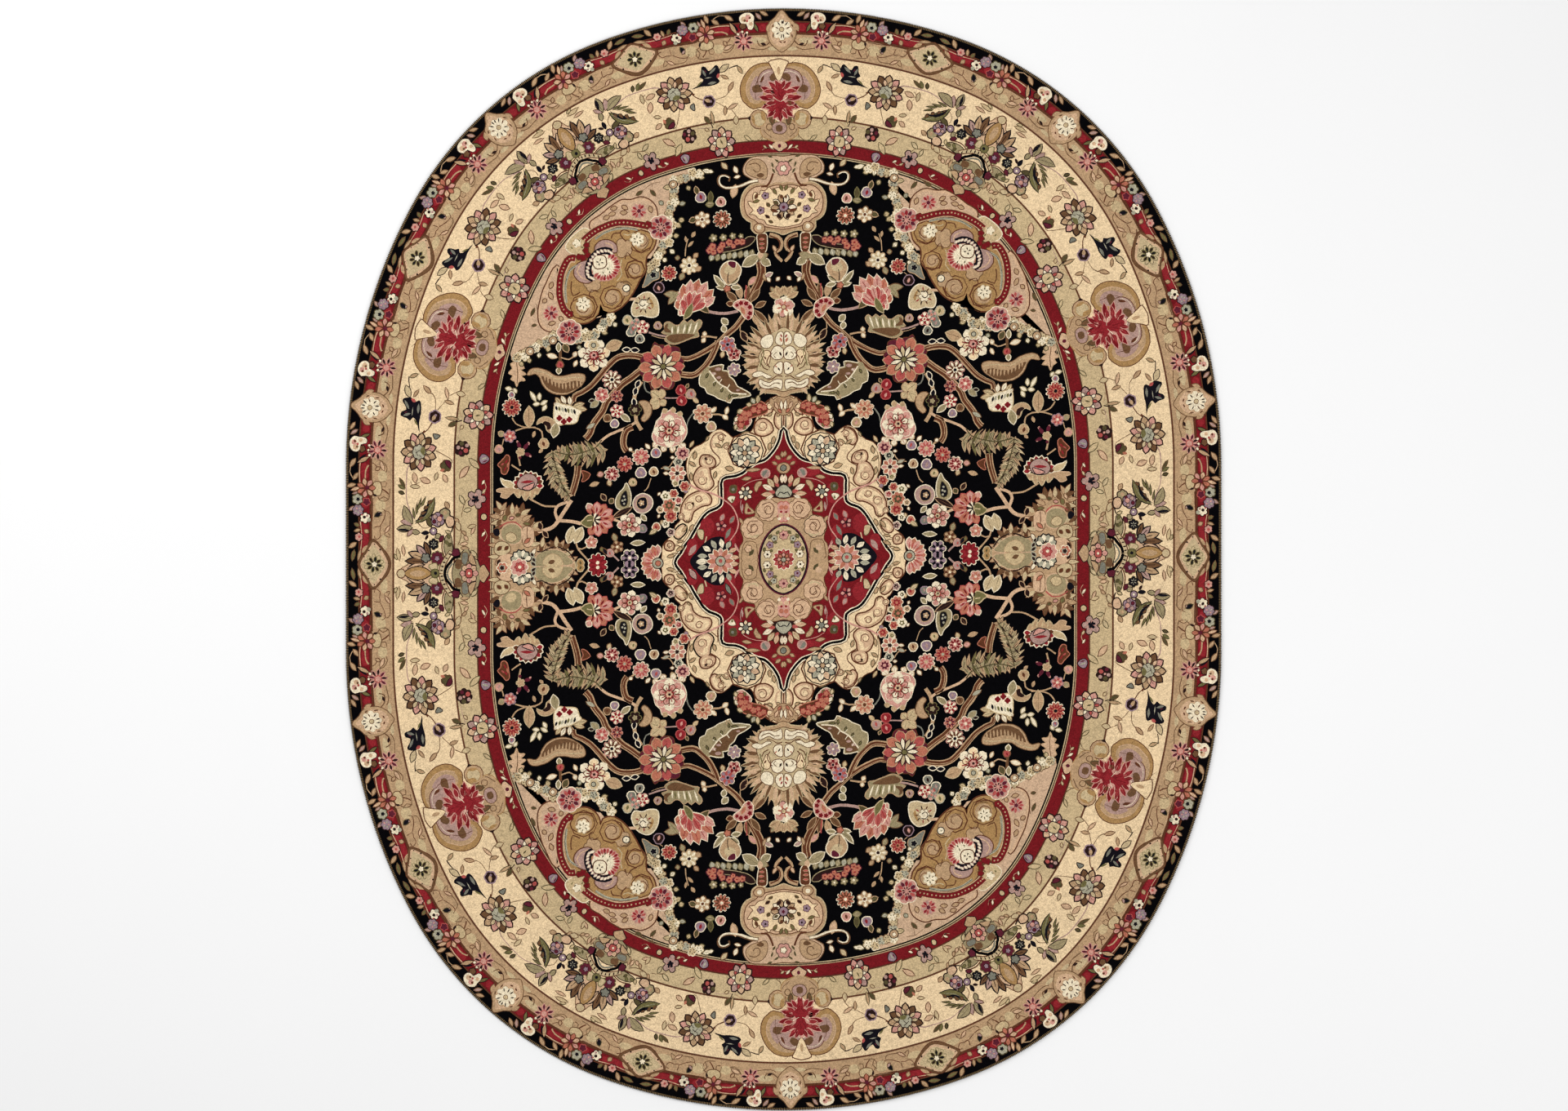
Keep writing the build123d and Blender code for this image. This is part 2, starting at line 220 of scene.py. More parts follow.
def build_weave():
    """Over-and-under cloth: two crossed wave trains give threads and their height."""
    group, source, result = open_group("plain_weave",
            [("Thread Colour", "NodeSocketColor", (0.6, 0.55, 0.4, 1)),
             ("Gap Colour", "NodeSocketColor", (0.2, 0.17, 0.1, 1)),
             ("Threads per Metre", "NodeSocketFloat", 600.0)],
            [("Colour", "NodeSocketColor"), ("Height", "NodeSocketFloat")])
    links = group.links
    place = group.nodes.new("ShaderNodeTexCoord")
    split = group.nodes.new("ShaderNodeSeparateXYZ")
    links.new(place.outputs["Object"], split.inputs[0])
    waves = []
    for axis in ("X", "Y"):
        turns = math_node(group, "MULTIPLY", split.outputs[axis],
                source.outputs["Threads per Metre"])
        waves.append(math_node(group, "SINE", math_node(group, "MULTIPLY", turns, math.pi)))
    over = math_node(group, "MULTIPLY", waves[0], waves[1])
    height = math_node(group, "ABSOLUTE", over)
    slub = group.nodes.new("ShaderNodeTexNoise")
    slub.inputs["Scale"].default_value = 60
    links.new(place.outputs["Object"], slub.inputs["Vector"])
    shade = math_node(group, "MULTIPLY", height, math_node(group, "ADD", slub.outputs[0], 0.5),
            clamp=True)
    # Painted shade: the colour runs from the gap colour, low between the threads, to the thread
    # colour on their crowns.
    colour = mixed(group, shade, source.outputs["Gap Colour"], source.outputs["Thread Colour"])
    links.new(colour, result.inputs["Colour"])
    links.new(shade, result.inputs["Height"])
    return group


WEAVE = build_weave()


def cloth(name, thread, gap, count):
    """Matte woven cloth with bump from the weave."""
    material, shader = new_material(name, thread, 0.95)
    tree = material.node_tree
    # The gap colour is painted shade between the threads.
    weave = group_node(material, WEAVE, Thread_Colour=thread, Gap_Colour=gap,
            Threads_per_Metre=count)
    bump = tree.nodes.new("ShaderNodeBump")
    bump.inputs["Strength"].default_value = 0.6
    bump.inputs["Distance"].default_value = 0.0006
    tree.links.new(weave.outputs["Colour"], shader.inputs["Base Color"])
    tree.links.new(weave.outputs["Height"], bump.inputs["Height"])
    tree.links.new(bump.outputs["Normal"], shader.inputs["Normal"])
    return material


def turning(points):
    """Twice the area inside a closed outline, above zero if it runs counter-clockwise."""
    return sum(x1 * y2 - x2 * y1 for (x1, y1), (x2, y2) in zip(points, points[1:] + points[:1]))


def enclosed_area(points):
    """Area inside a closed outline, in square metres."""
    return abs(turning(points)) / 2 * MM * MM


TAPE_INNER = 40.0
EDGE_WRAP = 8.0
CANVAS_TOP = 1.2
canvas_outline = oval(TAPE_INNER)
canvas_inner = oval(TAPE_INNER + 1.0)
# Its second cloth colour is painted shade between the threads.
canvas = mesh_object(
    "canvas_backing",
    *layered([(canvas_inner, 0.0), (canvas_outline, 0.3),
              (canvas_outline, CANVAS_TOP - 0.2), (canvas_inner, CANVAS_TOP)]),
    [cloth("cotton_canvas", srgb(206, 192, 160), srgb(120, 104, 78), 700.0)])
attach(canvas, "root")
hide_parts("secondary_backing")
enclosed_area(canvas_outline)

# ---------------------------------------------------------------------------
# Binding tape.  A woven cotton strip glued round the rim of the underside; its
# two selvedges are slightly thicker, and it hides the turned-in cloth.
# ---------------------------------------------------------------------------
tape_rings = [(oval(EDGE_WRAP), 0.1), (oval(EDGE_WRAP + 2), 0.0), (oval(TAPE_INNER - 2.5), 0.0),
        (oval(TAPE_INNER - 0.3), 0.15), (oval(TAPE_INNER - 0.3), 1.1), (oval(EDGE_WRAP), 1.2)]
tape_verts, tape_faces = layered(tape_rings + tape_rings[:1], closed_ends=False)
TAPE_POINTS = len(tape_rings[0][0])
tape_verts = tape_verts[:TAPE_POINTS * len(tape_rings)]
tape_faces = [tuple(v % len(tape_verts) for v in reversed(face)) for face in tape_faces]
# Its second cloth colour is painted shade between the threads.
tape = mesh_object("binding_tape_strip", tape_verts, tape_faces,
                   [cloth("cotton_tape", srgb(176, 160, 128), srgb(96, 82, 58), 900.0)])
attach(tape, "root")
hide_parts("binding_tape")

# ---------------------------------------------------------------------------
# Latex coat and tufting cloth.  The cloth that the yarn is tufted into, and the
# dried compound brushed on its back that locks every tuft; both end at the cord.
# ---------------------------------------------------------------------------
def build_mottle():
    """Slow uneven tint, as left by a brush or a dye bath."""
    group, source, result = open_group("uneven_tint",
            [("Colour", "NodeSocketColor", (0.8, 0.8, 0.8, 1)),
             ("Dark Colour", "NodeSocketColor", (0.4, 0.4, 0.4, 1)),
             ("Patch Size", "NodeSocketFloat", 0.1)],
            [("Colour", "NodeSocketColor"), ("Height", "NodeSocketFloat")])
    place = group.nodes.new("ShaderNodeTexCoord")
    noise = group.nodes.new("ShaderNodeTexNoise")
    noise.inputs["Detail"].default_value = 4
    group.links.new(place.outputs["Object"], noise.inputs["Vector"])
    group.links.new(math_node(group, "DIVIDE", 1.0, source.outputs["Patch Size"]),
            noise.inputs["Scale"])
    tint = mixed(group, noise.outputs[0], source.outputs["Dark Colour"], source.outputs["Colour"])
    group.links.new(tint, result.inputs["Colour"])
    group.links.new(noise.outputs[0], result.inputs["Height"])
    return group


MOTTLE = build_mottle()


def mottled(name, colour, dark, patch, roughness, relief):
    """Matte material in an uneven tint, with a little relief."""
    material, shader = new_material(name, colour, roughness)
    tree = material.node_tree
    tint = group_node(material, MOTTLE, Colour=colour, Dark_Colour=dark, Patch_Size=patch)
    bump = tree.nodes.new("ShaderNodeBump")
    bump.inputs["Distance"].default_value = relief
    tree.links.new(tint.outputs["Colour"], shader.inputs["Base Color"])
    tree.links.new(tint.outputs["Height"], bump.inputs["Height"])
    tree.links.new(bump.outputs["Normal"], shader.inputs["Normal"])
    return material


def refinish(node, material):
    """Give a CAD node that keeps its shape a better material."""
    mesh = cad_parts[node].data
    mesh.materials.clear()
    mesh.materials.append(material)


refinish("latex_coat",
        mottled("dried_latex", srgb(224, 214, 186), srgb(196, 180, 142), 0.02, 0.6, 0.0005))

CLOTH_LOW = 1.8
CLOTH_TOP = 3.0
cloth_outline = oval(EDGE_WRAP + 0.3)
# Its second cloth colour is painted shade between the threads.
tufting_cloth = mesh_object(
    "tufting_cloth", *layered([(cloth_outline, CLOTH_LOW + 0.1), (cloth_outline, CLOTH_TOP - 0.1)]),
    [cloth("monk_cloth", srgb(214, 208, 192), srgb(150, 142, 124), 500.0)])
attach(tufting_cloth, "root")
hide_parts("primary_backing")
enclosed_area(cloth_outline)

# ---------------------------------------------------------------------------
# Edge cord and whipped edge.  Black yarn is wound round and round a jute cord at
# the rim, each turn lying beside the last, so the edge can't fray.
# ---------------------------------------------------------------------------
refinish("edge_cord",
        mottled("jute_cord", srgb(168, 138, 96), srgb(110, 84, 50), 0.006, 0.95, 0.001))


def build_pile():
    """Cut pile: tuft ends with painted shade in the gaps between them, slow dye bands, and
    painted shade in drifts where the nap leans.  Puts out colour, roughness and tuft height."""
    group, source, result = open_group("cut_pile",
            [("Yarn", "NodeSocketColor", (0.5, 0.5, 0.5, 1)),
             ("Tuft Size", "NodeSocketFloat", 0.0028), ("Tuft Contrast", "NodeSocketFloat", 0.35),
             ("Dye Bands", "NodeSocketFloat", 0.18)],
            [("Colour", "NodeSocketColor"), ("Roughness", "NodeSocketFloat"),
             ("Height", "NodeSocketFloat")])
    links = group.links
    place = group.nodes.new("ShaderNodeTexCoord")
    per_metre = math_node(group, "DIVIDE", 1.0, source.outputs["Tuft Size"])
    tufts = group.nodes.new("ShaderNodeTexVoronoi")
    links.new(place.outputs["Object"], tufts.inputs["Vector"])
    links.new(per_metre, tufts.inputs["Scale"])
    one_tuft = group.nodes.new("ShaderNodeSeparateColor")
    links.new(tufts.outputs["Color"], one_tuft.inputs[0])
    crown = math_node(group, "SUBTRACT", 1.0, tufts.outputs["Distance"], clamp=True)
    slow = group.nodes.new("ShaderNodeTexNoise")
    slow.inputs["Scale"].default_value = 5.0
    slow.inputs["Detail"].default_value = 3
    links.new(place.outputs["Object"], slow.inputs["Vector"])
    fine = group.nodes.new("ShaderNodeTexNoise")
    fine.inputs["Scale"].default_value = 90.0
    fine.inputs["Detail"].default_value = 3
    links.new(place.outputs["Object"], fine.inputs["Vector"])
    tuft_shade = math_node(group, "MULTIPLY",
            math_node(group, "SUBTRACT", one_tuft.outputs[0], 0.5), source.outputs["Tuft Contrast"])
    band_shade = math_node(group, "MULTIPLY", math_node(group, "SUBTRACT", slow.outputs[0], 0.5),
            source.outputs["Dye Bands"])
    # Painted light and shade: fine noise lightens and darkens the colour in drifts, as a leaning
    # nap does under the lamps.
    nap = math_node(group, "SUBTRACT", fine.outputs[0], 0.5)
    painted_nap_shade = math_node(group, "MULTIPLY", nap, 0.45)
    # Painted shade: the colour is lighter on each tuft's crown and darker in the gaps between
    # tufts.
    painted_gap_shade = math_node(group, "MULTIPLY", math_node(group, "SUBTRACT", crown, 0.62),
            source.outputs["Tuft Contrast"])
    total = math_node(group, "ADD", math_node(group, "ADD", tuft_shade, band_shade),
            math_node(group, "ADD", painted_nap_shade, painted_gap_shade))
    level = math_node(group, "ADD", total, 1.0)
    shaded = group.nodes.new("ShaderNodeVectorMath")
    shaded.operation = "SCALE"
    links.new(source.outputs["Yarn"], shaded.inputs[0])
    links.new(level, shaded.inputs["Scale"])
    links.new(shaded.outputs[0], result.inputs["Colour"])
    links.new(math_node(group, "SUBTRACT", 0.98,
                math_node(group, "MULTIPLY", fine.outputs[0], 0.15)), result.inputs["Roughness"])
    tuft_rise = math_node(group, "MULTIPLY", one_tuft.outputs[1], 0.6)
    links.new(math_node(group, "ADD", crown, tuft_rise), result.inputs["Height"])
    return group


PILE = build_pile()


def yarn_material(name, colour, tuft=0.0028, contrast=0.35, sheen=0.12):
    """Material of one dyed yarn."""
    material, shader = new_material(name, colour, 0.92, sheen=sheen)
    tree = material.node_tree
    shader.inputs["Specular IOR Level"].default_value = 0.05
    # contrast scales both the random tone of each tuft and the painted shade between tufts.
    pile = group_node(material, PILE, Yarn=colour, Tuft_Size=tuft, Tuft_Contrast=contrast,
            Dye_Bands=0.18)
    bump = tree.nodes.new("ShaderNodeBump")
    bump.inputs["Strength"].default_value = 0.5
    bump.inputs["Distance"].default_value = 0.0012
    tree.links.new(pile.outputs["Colour"], shader.inputs["Base Color"])
    tree.links.new(pile.outputs["Roughness"], shader.inputs["Roughness"])
    tree.links.new(pile.outputs["Height"], bump.inputs["Height"])
    tree.links.new(bump.outputs["Normal"], shader.inputs["Normal"])
    return material


serging_yarn = yarn_material("serging_yarn", srgb(10, 9, 11), tuft=0.0016, contrast=0.5)


def build_whipping():
    """Geometry Nodes: turns of yarn set along the rim line, each across the edge."""
    tree = bpy.data.node_groups.new("edge_whipping", "GeometryNodeTree")
    tree.is_modifier = True
    tree.interface.new_socket("Geometry", in_out="INPUT", socket_type="NodeSocketGeometry")
    for label, value in (("Turn Spacing", 0.0045), ("Turn Width", 0.0078), ("Turn Height", 0.0088),
            ("Yarn Radius", 0.0011)):
        socket = tree.interface.new_socket(label, in_out="INPUT", socket_type="NodeSocketFloat")
        socket.default_value = value
    tree.interface.new_socket("Yarn", in_out="INPUT", socket_type="NodeSocketMaterial")
    tree.interface.new_socket("Geometry", in_out="OUTPUT", socket_type="NodeSocketGeometry")
    make = tree.nodes.new
    link = tree.links.new
    source, result = make("NodeGroupInput"), make("NodeGroupOutput")
    rim = make("GeometryNodeMeshToCurve")
    link(source.outputs["Geometry"], rim.inputs["Mesh"])
    points = make("GeometryNodeCurveToPoints")
    points.mode = "LENGTH"
    link(rim.outputs[0], points.inputs["Curve"])
    link(source.outputs["Turn Spacing"], points.inputs["Length"])
    loop = make("GeometryNodeCurvePrimitiveCircle")
    loop.inputs["Resolution"].default_value = 10
    loop.inputs["Radius"].default_value = 0.5
    size = make("ShaderNodeCombineXYZ")
    link(source.outputs["Turn Height"], size.inputs[0])
    link(source.outputs["Turn Width"], size.inputs[1])
    size.inputs[2].default_value = 1.0
    shaped = make("GeometryNodeTransform")
    link(loop.outputs[0], shaped.inputs["Geometry"])
    link(size.outputs[0], shaped.inputs["Scale"])
    strand = make("GeometryNodeCurvePrimitiveCircle")
    strand.inputs["Resolution"].default_value = 5
    link(source.outputs["Yarn Radius"], strand.inputs["Radius"])
    turn = make("GeometryNodeCurveToMesh")
    link(shaped.outputs[0], turn.inputs["Curve"])
    link(strand.outputs[0], turn.inputs["Profile Curve"])
    lean = make("FunctionNodeRandomValue")
    lean.data_type = "FLOAT_VECTOR"
    lean.inputs[0].default_value = (-0.05, -0.12, -0.10)
    lean.inputs[1].default_value = (0.05, 0.12, 0.10)
    lean.inputs["Seed"].default_value = 7
    turned = make("FunctionNodeRotateRotation")
    lean_rotation = make("FunctionNodeEulerToRotation")
    link(lean.outputs[0], lean_rotation.inputs[0])
    link(points.outputs["Rotation"], turned.inputs[0])
    link(lean_rotation.outputs[0], turned.inputs[1])
    turned.rotation_space = "LOCAL"
    placed = make("GeometryNodeInstanceOnPoints")
    link(points.outputs["Points"], placed.inputs["Points"])
    link(turn.outputs[0], placed.inputs["Instance"])
    link(turned.outputs[0], placed.inputs["Rotation"])
    real = make("GeometryNodeRealizeInstances")
    link(placed.outputs[0], real.inputs[0])
    paint = make("GeometryNodeSetMaterial")
    link(real.outputs[0], paint.inputs[0])
    link(source.outputs["Yarn"], paint.inputs["Material"])
    link(paint.outputs[0], result.inputs[0])
    return tree


def grow(carrier, tree, **values):
    """Run a Geometry Nodes tree on a carrier object and keep only the plain mesh."""
    modifier = carrier.modifiers.new(tree.name, "NODES")
    modifier.node_group = tree
    sockets = {item.name: item.identifier
               for item in tree.interface.items_tree if item.in_out == "INPUT"}
    for key, value in values.items():
        modifier[sockets[key.replace("_", " ")]] = value
    carrier.update_tag()
    graph = bpy.context.evaluated_depsgraph_get()
    mesh = bpy.data.meshes.new_from_object(carrier.evaluated_get(graph))
    carrier.modifiers.remove(modifier)
    mesh.name = carrier.name
    carrier.data = mesh
    return carrier


def edge_loop(name, inset, height):
    """Closed wire object along the parallel oval."""
    points = [(x * MM, y * MM, height * MM) for x, y in oval(inset, 720)]
    count = len(points)
    mesh = bpy.data.meshes.new(name)
    mesh.from_pydata(points, [(i, (i + 1) % count) for i in range(count)], [])
    wire = bpy.data.objects.new(name, mesh)
    bpy.context.scene.collection.objects.link(wire)
    return wire


EDGE_MIDDLE = 4.9
EDGE_TOP = 10.0
whipping = grow(edge_loop("whipped_edge", EDGE_MIDDLE, EDGE_TOP / 2), build_whipping(),
        Yarn=serging_yarn, Turn_Spacing=0.0045, Turn_Width=0.0078, Turn_Height=0.0078,
        Yarn_Radius=0.0011)
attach(whipping, "root")
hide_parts("edge_serging")

# ---------------------------------------------------------------------------
# Pile grounds.  Wool and silk yarn tufted through the cloth, one colour beside
# the next, sheared level and then carved along every outline, so each colour
# stands as its own soft-edged block.  First the level grounds and border lines.
# ---------------------------------------------------------------------------
YARNS = {
    "black": yarn_material("yarn_black", srgb(4, 3, 5), contrast=0.5, sheen=0.0),
    "night": yarn_material("yarn_night", srgb(20, 17, 24), contrast=0.4, sheen=0.0),
    "umber": yarn_material("yarn_umber", srgb(42, 23, 20), sheen=0.06),
    "brown": yarn_material("yarn_brown", srgb(96, 53, 32)),
    "stem": yarn_material("yarn_stem", srgb(108, 76, 50)),
    "red": yarn_material("yarn_red", srgb(118, 22, 28)),
    "crimson": yarn_material("yarn_crimson", srgb(142, 36, 42)),
    "wine": yarn_material("yarn_wine", srgb(92, 30, 44)),
    "rose": yarn_material("yarn_rose", srgb(176, 82, 76)),
    "coral": yarn_material("yarn_coral", srgb(184, 112, 88)),
    "pink": yarn_material("yarn_pink", srgb(206, 150, 134)),
    "peach": yarn_material("yarn_peach", srgb(210, 173, 138)),
    "ivory": yarn_material("yarn_ivory", srgb(238, 209, 166)),
    "cream": yarn_material("yarn_cream", srgb(240, 224, 192), sheen=0.2),
    "straw": yarn_material("yarn_straw", srgb(200, 177, 137)),
    "tan": yarn_material("yarn_tan", srgb(186, 152, 115)),
    "gold": yarn_material("yarn_gold", srgb(170, 132, 84)),
    "sage": yarn_material("yarn_sage", srgb(202, 177, 135)),
    "blush": yarn_material("yarn_blush", srgb(206, 172, 140)),
    "willow": yarn_material("yarn_willow", srgb(158, 142, 106)),
    "moss": yarn_material("yarn_moss", srgb(112, 104, 64)),
    "olive": yarn_material("yarn_olive", srgb(84, 74, 46)),
    "grey": yarn_material("yarn_grey", srgb(124, 122, 108)),
    "mist": yarn_material("yarn_mist", srgb(172, 166, 142)),
    "lilac": yarn_material("yarn_lilac", srgb(150, 124, 132)),
    "mauve": yarn_material("yarn_mauve", srgb(176, 142, 130)),
}
YARN_ORDER = list(YARNS)
GROUND_TOP = 11.0
PILE_FOOT = 3.0
RING_POINTS = 420
LEVEL_STEP = 0.14      # each carved layer stands this much prouder
HAIR_STEP = 0.004      # neighbours of one level stand this much apart, so that none coincide
HAIR_TURNS = 23
CARVED_DEPTH = 2.4     # how far a block reaches below its own top
SHOULDER_DROP = 0.7    # height and width of the rounded shoulder along each carved line
SHOULDER_WIDTH = 0.9
HAND_SHAKE = 0.35      # how far one tuft of an outline strays
hand = random.Random(20)


def smooth(points, step=6, closed=True):
    """Even soft curve through the points."""
    n = len(points)
    out = []
    for i in range(n if closed else n - 1):
        if closed:
            p0, p1, p2, p3 = (points[(i + k - 1) % n] for k in range(4))
        else:
            p0, p1, p2, p3 = (points[min(max(i + k - 1, 0), n - 1)] for k in range(4))
        count = max(2, round(math.hypot(p2[0] - p1[0], p2[1] - p1[1]) / step))
        for k in range(count):
            t = k / count
            out.append(tuple(
                0.5 * (2 * b + (c - a) * t + (2 * a - 5 * b + 4 * c - d) * t * t
                       + (3 * b - a - 3 * c + d) * t ** 3)
                for a, b, c, d in zip(p0, p1, p2, p3)))
    if not closed:
        out.append(points[-1])
    return out


def swell(points, distance):
    """The outline moved outward (or inward, below zero) by a small distance."""
    n = len(points)
    if turning(points) < 0:
        distance = -distance
    out = []
    for i, (x, y) in enumerate(points):
        xa, ya = points[i - 1]
        xb, yb = points[(i + 1) % n]
        d = math.hypot(xb - xa, yb - ya) or 1.0
        out.append((x + distance * (yb - ya) / d, y - distance * (xb - xa) / d))
    return out


class Pile:
    """Tufted areas of one node, gathered as outlines and made into one mesh."""

    def __init__(self, name, places=()):
        self.name, self.places = name, places
        self.verts, self.faces, self.yarns = [], [], []
        self.count = 0

    def block(self, outline, yarn, level):
        """One closed block of a colour with a rounded, carved shoulder."""
        if turning(outline) < 0:
            outline = outline[::-1]
        self.count += 1
        top = GROUND_TOP + level * LEVEL_STEP + (self.count % HAIR_TURNS) * HAIR_STEP
        rings = [(outline, top - CARVED_DEPTH), (outline, top - SHOULDER_DROP),
                 (swell(outline, -SHOULDER_WIDTH), top)]
        verts, faces = layered(rings)
        start = len(self.verts)
        self.verts += verts
        self.faces += [tuple(v + start for v in face) for face in faces]
        self.yarns += [YARN_ORDER.index(yarn)] * len(faces)

    def draw(self, outline, yarn, level, edge=None, edge_width=2.0, wander=0.8, at=None):
        """The same area at every place, each with the small shift of hand work; an
        edge yarn, when given, is tufted round it one layer lower."""
        for place in at or self.places:
            dx, dy = hand.uniform(-wander, wander), hand.uniform(-wander, wander)
            spot = [place(x + dx, y + dy) for x, y in outline]
            if turning(spot) < 0:
                spot.reverse()
            spot = [(x + hand.uniform(-HAND_SHAKE, HAND_SHAKE),
                     y + hand.uniform(-HAND_SHAKE, HAND_SHAKE)) for x, y in spot]
            self.block(spot, yarn, level)
            if edge:
                self.block(swell(spot, edge_width), edge, level - 1)

    def finish(self, *nodes, slot):
        """Make the mesh with only the yarns it uses, and hide the CAD nodes that it stands for."""
        used = sorted(set(self.yarns))
        piece = mesh_object(self.name, self.verts, self.faces, [YARNS[YARN_ORDER[i]] for i in used],
                            [used.index(i) for i in self.yarns])
        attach(piece, "root")
        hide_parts(*nodes)
        return piece


def ground_ring(name, node, outer, inner, yarn, slot, top=GROUND_TOP, round_edge=1.2):
    """Level band of one colour between two parallels, with carved shoulders."""
    section = [(outer + 0.1, PILE_FOOT), (outer + 0.1, top - round_edge), (outer + round_edge, top),
               (inner - round_edge, top), (inner - 0.1, top - round_edge), (inner - 0.1, PILE_FOOT)]
    rings = [(oval(inset, RING_POINTS), z) for inset, z in section]
    verts, faces = layered(rings + rings[:1], closed_ends=False)
    verts = verts[:RING_POINTS * len(rings)]
    faces = [tuple(v % len(verts) for v in face) for face in faces]
    piece = mesh_object(name, verts, faces, [YARNS[yarn]])
    if node:
        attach(piece, "root")
        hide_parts(node)
    return piece


def join(name, pieces):
    """Several ground pieces of one yarn made into one mesh."""
    verts, faces = [], []
    for piece in pieces:
        start = len(verts)
        verts += [tuple(v.co) for v in piece.data.vertices]
        faces += [tuple(start + v for v in polygon.vertices) for polygon in piece.data.polygons]
    material = pieces[0].data.materials[0]
    for piece in pieces:
        mesh = piece.data
        bpy.data.objects.remove(piece)
        bpy.data.meshes.remove(mesh)
    return mesh_object(name, verts, faces, [material])


# Bands: the distance of each one's outer and inner edge from the rim.
EDGE_BAND = (8, 34)
RED_GUARD = (38, 64)
TAN_GUARD = (70, 124)
IVORY_BORDER = (128, 284)
SAGE_BORDER = (288, 346)
RED_BAND = (349, 380)
ground_ring("edge_band", "edge_band_pile", *EDGE_BAND, "black", "wool_black")
ground_ring("guard_red", "guard_red_ground", *RED_GUARD, "red", "wool_red")
ground_ring("guard_tan", "guard_tan_ground", *TAN_GUARD, "tan", "wool_tan")
ground_ring("border_ivory", "border_ivory_ground", *IVORY_BORDER, "ivory", "wool_ivory")
ground_ring("border_sage", "border_sage_ground", *SAGE_BORDER, "sage", "wool_sage")
ground_ring("inner_red", "inner_red_band", *RED_BAND, "red", "wool_red")


def line_between(outer_band, inner_band):
    """Lower brown line that fills the gap between two neighbouring bands."""
    return ground_ring("line", None, outer_band[1], inner_band[0], "brown", None,
                       top=GROUND_TOP - 0.5, round_edge=0.8)


guard_lines = join("guard_outlines", [line_between(EDGE_BAND, RED_GUARD),
                                      line_between(RED_GUARD, TAN_GUARD)])
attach(guard_lines, "root")
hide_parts("guard_outline_pile")

border_lines = join("border_outlines", [line_between(TAN_GUARD, IVORY_BORDER),
                                        line_between(IVORY_BORDER, SAGE_BORDER),
                                        line_between(SAGE_BORDER, RED_BAND)])
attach(border_lines, "root")
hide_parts("border_outline_pile")

edge_lines = Pile("field_edge_lines_yarn")
for outer, inner, yarn in ((RED_BAND[1], 383, "tan"), (383, 385, "umber"), (385, 388, "straw")):
    ring_piece = ground_ring("line", None, outer, inner, yarn, None, top=GROUND_TOP - 0.3,
            round_edge=0.6)
    start = len(edge_lines.verts)
    edge_lines.verts += [tuple(v.co) for v in ring_piece.data.vertices]
    edge_lines.faces += [tuple(start + v for v in p.vertices) for p in ring_piece.data.polygons]
    edge_lines.yarns += [YARN_ORDER.index(yarn)] * len(ring_piece.data.polygons)
    bpy.data.objects.remove(ring_piece)
edge_lines.finish("field_edge_lines", slot="wool_tan")

FIELD_EDGE = 388.0
field_ground = mesh_object(
    "field_ground",
    *layered([(oval(FIELD_EDGE + 0.1), PILE_FOOT), (oval(FIELD_EDGE + 0.1), GROUND_TOP - 1.2),
              (oval(FIELD_EDGE + 1.2), GROUND_TOP)]),
    [YARNS["black"]])
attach(field_ground, "root")
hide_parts("field_black_ground")

# ---------------------------------------------------------------------------
# Main border, palmettes.  Six large palmettes stand on the border's axis at even
# spacing: tan C-scrolls round a red carnation heart over a brown shell foot.
# ---------------------------------------------------------------------------
BORDER_CELL = 579.0
BORDER_LINE = 246.0


def drift(s, total):
    """How far the pattern had slipped along the border by distance s."""
    a = 2 * math.pi * s / total
    return -30 + 18 * math.cos(a) + 12 * math.sin(a) - 31 * math.sin(2 * a)


def border_place(k):
    """Half cell k of the border: x from palmette to vase, t in from the edge."""
    def place(x, t):
        s = BORDER_CELL * k + x if k % 2 == 0 else BORDER_CELL * (k + 1) - x
        return around(s + drift(s, 12 * BORDER_CELL), t, BORDER_LINE)
    return place


BORDER = [border_place(k) for k in range(12)]
BORDER_AXIS = [border_place(k) for k in range(0, 12, 2)]


def both(half, axis=0.0):
    """Full outline from its half on one side of the axis, tip to tip."""
    return half + [(2 * axis - x, y) for x, y in half[-2:0:-1]]


def disc(x, y, r, stretch=1.0, count=12):
    """Round or oval outline."""
    return [(x + r * math.cos(2 * math.pi * i / count),
             y + stretch * r * math.sin(2 * math.pi * i / count)) for i in range(count)]


def lobes(x, y, r, petals, depth, turn=0.0):
    """Rosette outline with rounded petals and sharp notches between them."""
    out = []
    for i in range(petals * 4):
        a = 2 * math.pi * i / (petals * 4)
        reach = r * (1 - depth + depth * abs(math.cos(petals * a / 2)) ** 0.7)
        out.append((x + reach * math.cos(a + turn), y + reach * math.sin(a + turn)))
    return out


def blade(x0, y0, x1, y1, width, bend=0.0, count=6, belly=0.5):
    """Leaf outline from base to tip; bend bows it sideways, belly places its widest part."""
    dx, dy = x1 - x0, y1 - y0
    d = math.hypot(dx, dy)
    nx, ny = -dy / d, dx / d
    sides = ([], [])
    power = math.log(0.5) / math.log(belly)
    for i in range(count + 1):
        u = i / count
        bow = bend * 4 * u * (1 - u)
        half = width / 2 * math.sin(math.pi * u ** power) ** 0.85
        cx, cy = x0 + dx * u + nx * bow, y0 + dy * u + ny * bow
        sides[0].append((cx + nx * half, cy + ny * half))
        sides[1].append((cx - nx * half, cy - ny * half))
    return sides[0] + sides[1][-2:0:-1]


def ray(x, y, angle, near, far, width, count=4, belly=0.5):
    """Blade that points away from a centre, from distance near to distance far."""
    c, s = math.cos(angle), math.sin(angle)
    return blade(x + near * c, y + near * s, x + far * c, y + far * s, width, count=count,
            belly=belly)


